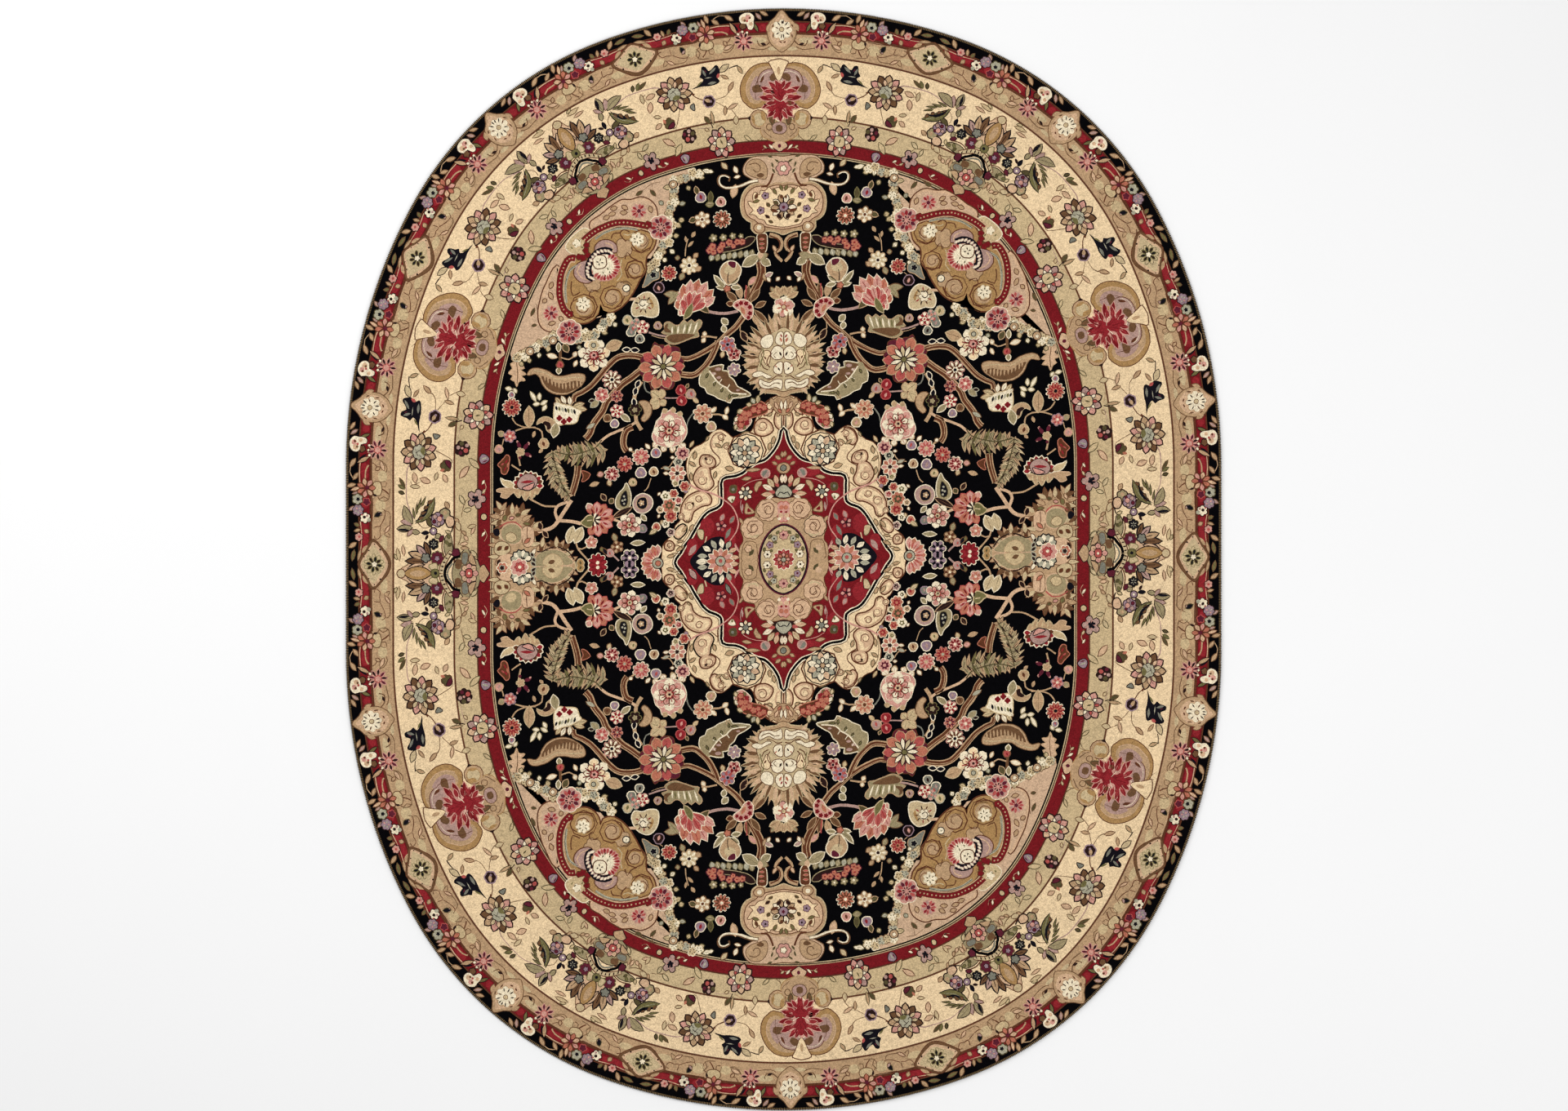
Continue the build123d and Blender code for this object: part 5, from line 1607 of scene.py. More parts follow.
for points, width, yarn in (
        ([(556, 172), (572, 148), (590, 120), (606, 102), (630, 94), (656, 90)], 11, "peach"),
        ([(566, 168), (592, 158), (600, 142), (592, 120)], 9, "peach"),
        ([(596, 156), (626, 158), (648, 168), (668, 180)], 6, "tan"),
        ([(530, 110), (552, 116), (590, 120)], 10, "peach"),
        ([(544, 62), (540, 46), (526, 28), (508, 8)], 6, "tan"),
        ([(514, 50), (530, 42), (542, 46)], 5, "tan"),
        ([(118, 656), (150, 650), (186, 654), (208, 662), (230, 674)], 9, "mauve"),
        ([(296, 593), (326, 598), (354, 607)], 6, "mauve"),
        ([(296, 588), (322, 590), (346, 598)], 3, "tan"),
        ([(174, 586), (196, 590), (216, 590)], 6, "tan"),
        ([(112, 624), (114, 604), (104, 590)], 4, "tan"),
        ([(228, 428), (248, 433), (276, 431), (312, 432)], 5, "mauve"),
        ([(345, 446), (360, 452), (366, 470), (362, 486)], 5, "grey"),
        ([(192, 386), (170, 386), (154, 380)], 6, "tan"),
        ([(238, 390), (250, 374), (256, 350)], 5, "grey"),
        ([(190, 368), (186, 356), (194, 340)], 5, "tan"),
        ([(372, 478), (384, 458), (392, 430), (388, 400), (386, 374), (372, 350)], 11, "tan"),
        ([(386, 374), (402, 362), (434, 350), (462, 338), (482, 322), (504, 304)], 8, "peach"),
        ([(632, 334), (634, 354), (650, 364), (676, 366), (704, 358)], 5, "tan"),
        ([(650, 366), (680, 368), (702, 378), (712, 394)], 5, "tan"),
        ([(697, 302), (694, 284), (690, 266)], 6, "tan"),
        ([(690, 254), (700, 260), (714, 270)], 5, "tan"),
        ([(734, 338), (738, 322), (746, 314)], 4, "tan"),
        ([(258, 802), (256, 828), (250, 848)], 4, "tan"),
        ([(316, 744), (324, 738), (330, 728)], 3, "tan"),
        ([(550, 436), (560, 424), (566, 414)], 10, "tan"),
        ([(586, 566), (586, 546), (588, 520)], 9, "stem"),
        ([(548, 552), (562, 542), (584, 548)], 5, "tan"),
        ([(712, 470), (708, 456), (712, 440)], 4, "mauve"),
        ([(460, 30), (446, 22), (432, 8)], 6, "mauve"),
        ([(446, 118), (424, 108), (408, 96)], 8, "peach"),
        ([(348, 224), (356, 200), (366, 190)], 4, "tan"),
        ([(96, 716), (96, 694), (94, 676)], 4, "crimson"),
        ([(322, 248), (300, 252), (290, 268)], 4, "tan"),
        ([(406, 300), (394, 292), (386, 286)], 6, "tan")):
    stems.draw(strand(points, width), yarn, 1)
for x, y, turn in ((390, 560, 0.1), (412, 562, 0.0), (382, 472, -1.1), (388, 452, -1.3),
        (392, 424, 1.4)):
    c, s = math.cos(turn), math.sin(turn)
    stems.draw(blade(x - 11 * c, y - 11 * s, x + 11 * c, y + 11 * s, 12), "night", 3, "cream", 2.2)
stems.finish("field_stems", slot="wool_brown")


# ---------------------------------------------------------------------------
# Field leaves.  Feathered, toothed and curled leaves in sage and tan with darker
# veins; the large saz leaf has a cream midrib and two differently coloured halves.
# ---------------------------------------------------------------------------
def feather(pile, spine, teeth, reach, yarns, vein, spread):
    """Toothed leaf: overlapping blades set along a spine on both sides."""
    path = smooth(spine, 4.0, closed=False)
    for i in range(teeth):
        u = (i + 0.5) / teeth
        x, y = path[int(u * (len(path) - 1))]
        xn, yn = path[min(int(u * (len(path) - 1)) + 1, len(path) - 1)]
        a = math.atan2(yn - y, xn - x)
        length = reach * (0.55 + 0.45 * math.sin(math.pi * min(1.0, u + 0.15)))
        for side in (1, -1):
            b = a + side * spread
            tip = (x + length * math.cos(b), y + length * math.sin(b))
            pile.draw(blade(x, y, tip[0], tip[1], reach * 0.27, count=5, belly=0.36),
                    yarns[i % len(yarns)], 4, "tan" if i % 3 == 0 else "umber", 1.4)
            pile.draw(strand([(x, y), ((x + tip[0]) / 2, (y + tip[1]) / 2)], 2.4), vein, 6,
                    wander=0.3)


leaves = Pile("field_leaf_yarn", QUARTERS)
leaves.draw(blade(462, 302, 606, 300, 44, -6, 9), "willow", 3, "tan", wander=0)
leaves.draw(blade(560, 170, 608, 304, 38, -12, 9), "willow", 3, "tan", wander=0)
feather(leaves, [(470, 300), (500, 292), (540, 292), (592, 298)], 11, 40, ("willow", "tan", "moss"),
        "umber", spread=1.15)
feather(leaves, [(604, 300), (606, 266), (594, 226), (566, 180)], 11, 34,
        ("willow", "tan", "straw"), "umber", spread=0.95)
leaves.draw(strand([(478, 328), (492, 310), (520, 299), (560, 292), (600, 300)], 3.2), "olive", 8)
leaves.draw(strand([(606, 300), (598, 262), (584, 220), (562, 182)], 3.2), "olive", 8)
for x, y in ((488, 300), (508, 284), (530, 276), (560, 284), (560, 306), (520, 318), (604, 280),
        (612, 258), (590, 244), (596, 218), (576, 200)):
    leaves.draw(blade(x - 7, y - 8, x + 6, y + 8, 5), "umber", 8)
SAZ = [(86, 434), (104, 448), (122, 458), (130, 474), (142, 484), (146, 498), (160, 500),
       (158, 514), (176, 514), (192, 510), (206, 513), (214, 498), (221, 482), (219, 462),
       (206, 456), (200, 442), (184, 436), (168, 426), (152, 420), (140, 415), (134, 426),
       (112, 428)]
leaves.draw(smooth(SAZ, 7), "willow", 2, "cream", 2.4, wander=0)
leaves.draw(smooth([(90, 435), (104, 447), (122, 457), (130, 472), (142, 482), (148, 496),
                (162, 499), (162, 512), (178, 512), (194, 508), (196, 500), (184, 484), (168, 466),
                (148, 454), (138, 442), (112, 438)], 7), "stem", 3, wander=0)
for x, y, w in ((172, 504, 9), (184, 492, 8), (170, 482, 7), (120, 448, 6)):
    leaves.draw(disc(x, y, w, 0.6), "mauve", 4)
leaves.draw(strand([(98, 437), (136, 441), (150, 455), (168, 465), (184, 484), (196, 501)], 4.2),
        "cream", 6)
for x0, y0, x1, y1 in ((148, 454, 142, 464), (158, 460, 166, 451), (170, 467, 162, 478),
        (176, 474, 186, 468), (186, 486, 180, 496)):
    leaves.draw(strand([(x0, y0), (x1, y1)], 2.6), "cream", 7)
for x0, y0, x1, y1 in ((142, 438, 144, 424), (160, 456, 164, 444), (180, 472, 184, 460),
        (198, 494, 204, 482), (118, 434, 138, 434)):
    leaves.draw(blade(x0, y0, x1, y1, 6), "moss", 7, "umber", 1.2)
CURL = [(520, 488), (522, 500), (538, 504), (556, 503), (576, 499), (598, 500), (616, 512),
        (634, 519), (652, 522), (666, 517), (673, 504), (662, 504), (650, 506), (640, 496),
        (634, 480), (622, 464), (606, 454), (588, 450), (566, 451), (544, 462), (528, 474)]
leaves.draw(smooth(CURL), "tan", 2, "stem", 2, wander=0.6)
leaves.draw(smooth([(526, 480), (548, 486), (574, 480), (598, 482), (616, 494), (636, 500),
                (630, 482), (618, 466), (602, 457), (584, 453), (562, 455), (540, 466)]), "stem", 3,
        wander=0)
for i in range(11):
    x = 532 + 9.4 * i
    y = 468 - 14 * math.sin(math.pi * i / 10) + 1.7 * i
    leaves.draw(blade(x, y, x + 1.5, y + 24, 6, count=4), "tan", 5)
leaves.draw(strand([(526, 492), (556, 494), (596, 491), (626, 508), (656, 515)], 3), "straw", 5)
leaves.draw(smooth([(214, 628), (222, 636), (232, 628), (242, 636), (252, 628), (262, 635),
                (272, 624), (284, 622), (300, 632), (312, 628), (312, 612), (320, 604), (304, 598),
                (312, 586), (300, 576), (284, 573), (262, 580), (240, 588), (222, 592), (226, 606),
                (218, 616)]), "willow", 3, "tan", 2, wander=0.6)
for i in range(9):
    leaves.draw(blade(236 + 7 * i, 598, 224 + 8.4 * i, 632 - 1.4 * i, 6, count=5),
            ("cream", "willow", "cream", "moss")[i % 4], 5)
leaves.draw(smooth([(232, 596), (262, 600), (300, 597), (306, 586), (286, 576), (256, 584)]),
        "stem", 6, wander=0.5)
leaves.draw(smooth([(292, 604), (304, 616), (302, 628), (312, 622), (312, 606)]), "stem", 6,
        wander=0.5)
leaves.draw(smooth([(600, 352), (598, 372), (610, 388), (630, 392), (644, 384), (648, 372),
                (636, 378), (626, 372), (622, 358), (612, 350)]), "tan", 2, "straw", 2)
leaves.draw(smooth([(610, 362), (612, 376), (626, 382), (632, 376), (622, 368), (620, 358)]),
        "umber", 4, wander=0.3)
leaves.draw(smooth([(700, 546), (690, 536), (680, 522), (690, 518), (676, 506), (688, 502),
                (678, 490), (694, 488), (700, 474), (706, 488), (716, 494), (710, 504), (722, 510),
                (712, 522), (716, 534), (706, 540)], 5), "peach", 2, "tan", 2, wander=0.5)
leaves.draw(strand([(702, 540), (698, 510), (700, 482)], 3), "stem", 4)
for x0, y0, x1, y1, w, yarn, edge, vein in (
        (668, 364, 668, 422, 28, "tan", "straw", "olive"),
        (424, 582, 468, 566, 28, "tan", "straw", "stem"),
        (596, 376, 604, 336, 22, "willow", "cream", "moss"),
        (528, 100, 548, 58, 26, "straw", "cream", "stem"),
        (552, 104, 566, 58, 24, "straw", "cream", "olive"),
        (482, 216, 510, 208, 14, "tan", None, None), (112, 602, 96, 574, 16, "umber", "tan", None),
        (146, 620, 162, 636, 16, "willow", "cream", "moss"),
        (160, 618, 154, 600, 14, "willow", "cream", None),
        (196, 652, 238, 692, 20, "olive", "tan", "stem"),
        (276, 712, 302, 678, 16, "willow", "stem", "moss"),
        (272, 704, 314, 706, 18, "willow", "stem", None),
        (146, 404, 152, 384, 10, "cream", "tan", None),
        (176, 404, 190, 390, 10, "cream", "tan", None),
        (146, 372, 160, 384, 11, "cream", "tan", None),
        (150, 418, 142, 430, 8, "willow", "tan", None),
        (352, 76, 330, 92, 12, "straw", "olive", "stem"),
        (360, 112, 374, 128, 12, "willow", "cream", "moss"),
        (440, 60, 446, 82, 14, "willow", "stem", None),
        (402, 54, 364, 56, 13, "willow", "cream", None),
        (456, 160, 446, 172, 13, "olive", "tan", None),
        (466, 168, 478, 186, 13, "umber", "tan", "stem"),
        (448, 122, 396, 150, 16, "umber", "tan", "stem"),
        (636, 96, 642, 118, 13, "umber", "tan", None), (632, 94, 618, 76, 12, "umber", "tan", None),
        (620, 434, 638, 424, 10, "cream", "willow", None),
        (622, 424, 632, 408, 10, "cream", "willow", None),
        (640, 436, 640, 456, 10, "cream", "willow", None),
        (648, 432, 664, 460, 10, "cream", "willow", None),
        (640, 428, 658, 426, 10, "cream", "willow", None),
        (206, 604, 208, 592, 10, "cream", "tan", None),
        (206, 588, 214, 576, 10, "cream", "tan", None),
        (566, 560, 578, 582, 16, "olive", "tan", "moss"),
        (590, 562, 590, 586, 12, "willow", "cream", None),
        (594, 548, 622, 556, 13, "cream", "tan", None),
        (550, 548, 544, 562, 11, "cream", "tan", None),
        (542, 538, 550, 522, 9, "cream", "tan", None),
        (588, 522, 590, 504, 13, "willow", "cream", "moss"),
        (512, 430, 496, 432, 9, "umber", "mist", None),
        (484, 432, 506, 414, 16, "willow", "mist", None),
        (428, 394, 402, 374, 15, "willow", "cream", None),
        (494, 372, 518, 358, 12, "mist", "stem", None),
        (708, 470, 700, 458, 9, "cream", "willow", None),
        (712, 468, 730, 472, 10, "cream", "willow", None),
        (734, 346, 748, 356, 14, "willow", "tan", None),
        (652, 356, 658, 338, 10, "tan", None, None),
        (122, 1016, 130, 1036, 12, "cream", "stem", None),
        (112, 1010, 130, 1006, 9, "cream", "stem", None),
        (148, 1028, 164, 1046, 13, "straw", "stem", None),
        (192, 940, 192, 972, 13, "olive", "moss", None),
        (182, 938, 204, 936, 15, "willow", "moss", "olive"),
        (226, 964, 232, 986, 12, "olive", "tan", None),
        (228, 902, 248, 894, 14, "olive", "tan", "moss"),
        (242, 852, 232, 868, 11, "tan", None, None), (256, 838, 258, 856, 8, "tan", None, None),
        (252, 826, 236, 842, 9, "tan", None, None), (236, 798, 224, 810, 12, "tan", "stem", None),
        (272, 798, 284, 800, 12, "willow", "stem", None),
        (262, 760, 270, 740, 14, "willow", "stem", None),
        (232, 764, 216, 774, 14, "tan", "stem", None),
        (10, 742, 20, 732, 10, "cream", "stem", None),
        (28, 752, 50, 742, 11, "mauve", "cream", None),
        (36, 728, 44, 742, 10, "cream", "stem", None),
        (200, 1026, 184, 1022, 10, "cream", "olive", None),
        (6, 712, 34, 694, 22, "tan", "stem", "olive"),
        (26, 704, 34, 716, 10, "willow", "stem", None),
        (40, 802, 74, 792, 20, "willow", "stem", None),
        (64, 800, 108, 772, 26, "willow", "cream", "olive"),
        (60, 790, 34, 774, 20, "willow", "cream", "olive"),
        (60, 812, 62, 788, 16, "peach", "cream", None), (72, 744, 92, 722, 13, "pink", "tan", None),
        (54, 752, 48, 732, 9, "tan", "stem", None)):
    leaf(leaves, x0, y0, x1, y1, w, yarn, edge, 4, vein=vein)
leaves.finish("field_leaves", slot="wool_ivory")

# ---------------------------------------------------------------------------
# Field pods.  Closed seed pods in a pale rind: a pearled pod by the medallion, an
# egg with a wine cap, a row of red berries on a dark leaf, and a grey-rimmed one.
# ---------------------------------------------------------------------------
pods = Pile("field_pod_yarn", QUARTERS)
pods.draw(smooth([(412, 213), (402, 190), (400, 166), (406, 148), (424, 143), (438, 150),
                (440, 168), (432, 186), (420, 198)]), "willow", 4, "cream")
pods.draw(smooth([(414, 192), (410, 168), (414, 152), (426, 152), (430, 166), (424, 182)]), "night",
        5, "olive")
for x, y, r in ((419, 178, 3.6), (416, 168, 3.6), (423, 166, 3.8), (418, 158, 3.6)):
    pods.draw(disc(x, y, r, count=8), "mist", 7)
pods.draw(smooth([(344, 164), (354, 178), (372, 184), (388, 176), (396, 160), (392, 144),
                (380, 134), (362, 134), (348, 146)]), "mauve", 4, "cream")
pods.draw(smooth([(362, 172), (378, 172), (386, 160), (382, 146), (368, 142), (358, 152)]), "night",
        6, "tan")
pods.draw(lobes(373, 158, 9, 5, 0.3), "tan", 7)
pods.draw(disc(373, 158, 3, count=8), "cream", 8)
pods.draw(smooth([(112, 764), (118, 776), (130, 786), (146, 787), (160, 778), (168, 762),
                (164, 746), (154, 732), (146, 724), (134, 732), (118, 746)]), "tan", 6, "cream")
pods.draw(smooth([(124, 770), (138, 778), (152, 772), (156, 758), (144, 750), (128, 756)]), "straw",
        7, wander=0.4)
pods.draw(smooth([(126, 784), (144, 786), (146, 778), (134, 768), (126, 770)], 5), "wine", 8,
        "cream")
pods.draw(strand([(144, 758), (147, 742), (146, 728)], 3.4), "umber", 8)
for x0, y0, x1, y1, w in ((140, 726, 116, 742, 12), (138, 720, 112, 716, 12),
        (152, 722, 176, 736, 12), (156, 716, 184, 752, 13), (150, 714, 178, 720, 10)):
    leaf(pods, x0, y0, x1, y1, w, "willow", "cream", 5, vein="olive")
pods.draw(lobes(148, 715, 9, 5, 0.25), "coral", 7, "brown")
pods.draw(smooth([(74, 846), (92, 848), (112, 834), (140, 824), (172, 820), (170, 810), (140, 812),
                (104, 820), (84, 830)]), "umber", 3, "willow")
for x, y, r in ((108, 836, 9), (122, 836, 9), (142, 836, 9.5), (160, 830, 9), (166, 818, 10),
        (186, 826, 10), (194, 816, 9), (184, 812, 9), (132, 826, 7)):
    pods.draw(lobes(x, y, r, 5, 0.2), "coral", 6, "wine", 1.8)
    pods.draw(disc(x, y, r * 0.42, 0.7, count=7), "crimson", 7)
for x, y, r in ((134, 853, 9), (158, 850, 10), (184, 848, 11), (112, 851, 7)):
    pods.draw(lobes(x, y, r, 5, 0.35), "willow", 5, "olive", 1.4)
    pods.draw(disc(x, y, r * 0.35, count=7), "cream", 7)
for i in range(8):
    x = 80 + 15 * i
    leaf(pods, x, 816 - 1.5 * i, x + 6, 796 - 1.2 * i, 15, ("willow", "mist")[i % 2], "olive", 2,
         vein="cream")
pods.draw(smooth([(326, 760), (334, 774), (350, 774), (358, 762), (364, 742), (370, 724),
                (356, 730), (344, 740), (328, 746)]), "grey", 3, "tan")
pods.draw(lobes(342, 756, 9, 5, 0.3), "night", 5, "mist")
pods.draw(smooth([(352, 384), (346, 402), (352, 420), (366, 428), (380, 424), (370, 410),
                (366, 394), (374, 380), (366, 372)]), "tan", 3, "stem")
pods.draw(lobes(390, 404, 17, 6, 0.3), "umber", 3, "moss")
pods.draw(lobes(390, 404, 8, 5, 0.3), "willow", 5)
pods.finish("field_pods", slot="wool_tan")

# ---------------------------------------------------------------------------
# Field flowers.  Small round blooms: scalloped petals over a contrasting core and
# eye, in the pinks, creams and greys of the field.
# ---------------------------------------------------------------------------
def bloom(pile, x, y, r, count, petal, edge, core, eye, turn=0.0):
    """Small round flower: pale rim, dark gaps, separate petals, heart and eye."""
    pile.draw(lobes(x, y, r, count, 0.24, turn), edge, 5)
    pile.draw(lobes(x, y, r - 1.8, count, 0.24, turn), core, 6, wander=0.3)
    width = 0.7 * 2 * math.pi * 0.62 * r / count
    for i in range(count):
        outline = ray(x, y, turn + 2 * math.pi * i / count, 0.3 * r, 0.93 * r, width, 5, 0.6)
        pile.draw(outline, petal, 8, wander=0.4)
    pile.draw(lobes(x, y, r * 0.38, 6, 0.3, turn), petal, 9, core, 1.2)
    pile.draw(disc(x, y, r * 0.2, count=8), eye, 11)


# Star flowers: the large star, the open carnation and the larger round blooms.
stars = Pile("field_star_yarn", QUARTERS)
STAR = smooth([(270, 512), (262, 526), (272, 544), (274, 562), (292, 568), (308, 560), (314, 572),
            (328, 572), (338, 580), (346, 562), (350, 550), (366, 548), (376, 534), (370, 518),
            (378, 502), (366, 488), (352, 474), (344, 456), (326, 462), (318, 456), (298, 456),
            (288, 464), (284, 484), (268, 496)], 7)
stars.draw(STAR, "wine", 4, "brown", 2, wander=0.4)
petals(stars, 320, 515, 22, 60, 27, 10, ("coral", "rose"), "tan", level=5, streak="crimson",
       line=2.2)
petals(stars, 316, 515, 5, 37, 11, 11, ("cream", "straw"), "umber", level=9, line=2.0)
stars.draw(lobes(316, 515, 8, 6, 0.3), "moss", 13, "umber")
for i in range(9):
    a = math.radians(62 + 29 * i)
    stars.draw(blade(490 + 10 * math.cos(a), 120 + 10 * math.sin(a), 490 + 47 * math.cos(a),
                120 + 45 * math.sin(a), 21, count=6, belly=0.6), ("coral", "pink")[i % 2], 4,
            "rose", 2)
    stars.draw(ray(490, 120, a, 16, 34, 6), ("red", "crimson")[i % 2], 6)
for i in range(9):
    a = math.radians(80 + 25 * i)
    stars.draw(ray(498, 119, a, 4, 20, 7), ("umber", "cream")[i % 2], 7)
stars.draw(smooth([(500, 130), (514, 130), (524, 120), (532, 113), (522, 104), (506, 100),
                (500, 112)]), "moss", 8, "sage", 2.4)
stars.draw(blade(514, 162, 506, 146, 17), "pink", 5, "cream")
stars.draw(strand([(502, 118), (516, 116)], 4), "straw", 10)
bloom(stars, 404, 16, 24, 6, "lilac", "cream", "night", "cream")
bloom(stars, 213, 898, 23, 6, "cream", "stem", "tan", "brown", turn=0.4)
bloom(stars, 248, 778, 25, 8, "cream", "tan", "straw", "umber")
bloom(stars, 450, 484, 26, 9, "cream", "pink", "brown", "night")
bloom(stars, 436, 46, 18, 5, "tan", "stem", "brown", "cream")
stars.finish("field_star_flowers", slot="wool_rose")

# Cream bloom with a ring of dark stitches.
star_hearts = Pile("field_star_heart_yarn", QUARTERS)
star_hearts.draw(smooth([(330, 652), (330, 682), (340, 702), (356, 712), (376, 706), (390, 692),
                (399, 668), (392, 650), (372, 652), (350, 646)], 7), "straw", 4, "cream", 2.4)
star_hearts.draw(lobes(368, 680, 15, 6, 0.3), "cream", 6, "stem", 1.4)
for i in range(9):
    a = math.radians(14 + 40 * i)
    star_hearts.draw(ray(367, 680, a, 13, 25, 4), ("umber", "brown", "crimson")[i % 3], 8)
star_hearts.draw(strand([(360, 690), (372, 692), (378, 682), (370, 674), (362, 680)], 3), "umber",
        9)
star_hearts.draw(smooth([(340, 676), (346, 692), (356, 700), (350, 684), (346, 668)], 5), "gold", 6,
        wander=0.4)
star_hearts.draw(strand([(376, 696), (392, 694), (412, 694)], 8), "peach", 3)
star_hearts.finish("field_star_hearts", slot="wool_cream")

# ---------------------------------------------------------------------------
# Field peonies.  Full blooms with ruffled pale petals and red blotches round a
# small heart; two carry leaf tips, one sits on a toothed sage cup.
# ---------------------------------------------------------------------------
peonies = Pile("field_peony_yarn", QUARTERS)


def peony(x, y, r, count, petal, blot, heart, turn=0.0):
    """Peony seen from above: two rings of petals with red streaks round a ringed heart."""
    peonies.draw(lobes(x, y, 0.86 * r, count, 0.2, turn), "wine", 4)
    for near, far, width, half, level, edge in ((0.3, 1.0, 0.56, 0.0, 5, "cream"),
            (0.16, 0.68, 0.36, 0.5, 8, "brown")):
        for i in range(count):
            a = turn + 2 * math.pi * (i + half) / count
            c, s = r * math.cos(a), r * math.sin(a)
            peonies.draw(blade(x + near * c, y + near * s, x + far * c, y + far * s, width * r,
                        count=6, belly=0.66), petal[i % len(petal)], level, edge, 1.8)
            peonies.draw(strand([(x + (near + 0.06) * c, y + (near + 0.06) * s),
                            (x + 0.72 * far * c, y + 0.72 * far * s)], 0.1 * r),
                    blot[i % len(blot)], level + 1, wander=0.3)
    peonies.draw(lobes(x, y, 0.24 * r, 6, 0.25, turn), heart, 11, "crimson", 2)
    peonies.draw(disc(x, y, 0.1 * r, count=8), "umber", 13)


peonies.draw(smooth([(262, 372), (272, 388), (286, 392), (296, 402), (308, 394), (318, 398),
                (322, 384), (334, 372), (340, 352), (346, 332), (336, 314), (318, 306), (296, 304),
                (276, 310), (260, 326), (254, 348)], 7), "pink", 3, "cream")
peony(300, 346, 42, 8, ("cream", "pink"), ("crimson", "rose"), "peach")
for x0, y0, x1, y1 in ((274, 312, 262, 300), (292, 306, 288, 290), (312, 306, 318, 292),
        (330, 316, 342, 306)):
    leaf(peonies, x0, y0, x1, y1, 15, "cream", "tan", 3, vein="rose")
for x0, y0, x1, y1 in ((274, 384, 270, 396), (290, 392, 290, 408), (308, 392, 314, 404)):
    leaf(peonies, x0, y0, x1, y1, 13, "tan", "straw", 4)
peony(404, 102, 32, 7, ("pink", "cream"), ("rose", "mauve"), "straw")
peony(497, 550, 42, 7, ("cream", "ivory"), ("red", "crimson"), "pink", turn=0.25)
peonies.draw(lobes(498, 576, 15, 6, 0.2), "straw", 12, "cream")
peonies.draw(disc(498, 576, 6, count=9), "mist", 14, "night")
peonies.draw(smooth([(530, 404), (536, 396), (540, 382), (548, 374), (576, 372), (590, 370),
                (600, 382), (602, 400), (600, 422), (594, 430), (580, 424), (560, 420),
                (544, 412)]), "cream", 4, "sage", 2.4)
for x, y in ((562, 384), (588, 388), (576, 378)):
    peonies.draw(lobes(x, y, 8, 4, 0.3), "red", 6, "crimson", 1.0)
for i in range(7):
    peonies.draw(blade(546 + 8 * i, 396 + 2 * i, 550 + 8 * i, 412 + 1.5 * i, 7, count=4),
            ("night", "mist", "moss")[i % 3], 7)
for x0, y0, x1, y1, w, yarn in (
        (548, 412, 516, 408, 15, "sage"), (552, 418, 522, 426, 14, "sage"),
        (560, 420, 562, 444, 13, "cream"), (572, 424, 584, 446, 13, "cream"),
        (584, 424, 598, 442, 12, "sage"), (594, 420, 602, 430, 9, "cream")):
    leaf(peonies, x0, y0, x1, y1, w, yarn, "stem", 3, vein="umber")
peonies.finish("field_peonies", slot="wool_pink")

# ---------------------------------------------------------------------------
# Field carnations.  Fans of narrow ruffled petals: a red one on brown spikes, the
# large striped pink one, the thistle with its toothed leaf, and red tulips.
# ---------------------------------------------------------------------------
carnations = Pile("field_carnation_yarn", QUARTERS)
for x0, y0, x1, y1, w, yarn in (
        (84, 648, 60, 612, 12, "tan"), (78, 656, 42, 620, 13, "stem"),
        (76, 664, 46, 678, 14, "stem"), (86, 678, 62, 712, 15, "stem"),
        (100, 684, 92, 722, 14, "stem"), (112, 686, 122, 726, 16, "tan"),
        (122, 680, 150, 706, 16, "stem"), (130, 674, 150, 676, 14, "brown"),
        (74, 640, 76, 630, 10, "tan")):
    leaf(carnations, x0, y0, x1, y1, w, yarn, "tan", 3, vein="brown")
carnations.draw(strand([(100, 686), (98, 704), (97, 722)], 4), "rose", 5)
carnations.draw(smooth([(80, 650), (82, 668), (94, 680), (112, 685), (128, 678), (132, 668),
                (122, 660), (112, 652), (104, 638), (92, 632), (82, 640)]), "pink", 5, "cream")
for x, y, r in ((88, 664, 7), (98, 674, 7), (112, 676, 7), (122, 670, 6), (88, 648, 7),
        (92, 638, 6)):
    carnations.draw(lobes(x, y, r, 5, 0.25), "red", 7, "pink", 1.4)
carnations.draw(blade(100, 644, 112, 668, 12), "coral", 8, "straw", 1.6)
FAN_BASE = (250, 652)
FAN_TIPS = ((180, 694), (184, 714), (200, 734), (222, 742), (244, 741), (264, 730), (277, 710),
        (283, 686), (276, 662))
for share, width, yarns, level in (
        (1.0, 25, ("pink", "coral"), 4), (0.66, 17, ("rose", "pink"), 7)):
    for i, (x, y) in enumerate(FAN_TIPS):
        tip = [b + share * (e - b) for b, e in zip(FAN_BASE, (x, y))]
        carnations.draw(blade(*FAN_BASE, *tip, width, count=6, belly=0.72), yarns[i % 2], level,
                "cream", 2.2, wander=0.4)
        root, end = ([b + part * (e - b) for b, e in zip(FAN_BASE, tip)] for part in (0.45, 0.86))
        carnations.draw(strand([root, end], 3), "crimson", level + 1, wander=0.3)
carnations.draw(blade(262, 638, 240, 680, 17, 3), "moss", 9, "straw", 1.8)
for i in range(10):
    a = math.radians(-8 + 21.8 * i)
    carnations.draw(blade(670 + 20 * math.cos(a), 214 + 14 * math.sin(a), 670 + 40 * math.cos(a),
                216 + 36 * math.sin(a), 13, count=5, belly=0.6), ("brown", "crimson")[i % 2], 5,
            "cream", 2.4)
carnations.draw(smooth([(646, 222), (654, 238), (672, 244), (690, 236), (700, 218), (690, 204),
                (660, 204)]), "mauve", 7, "umber", 2)
carnations.draw(smooth([(654, 220), (668, 216), (686, 208), (672, 202), (660, 206)], 5), "pink", 9,
        "night", 2.4)
carnations.draw(blade(654, 224, 692, 222, 9), "crimson", 9)
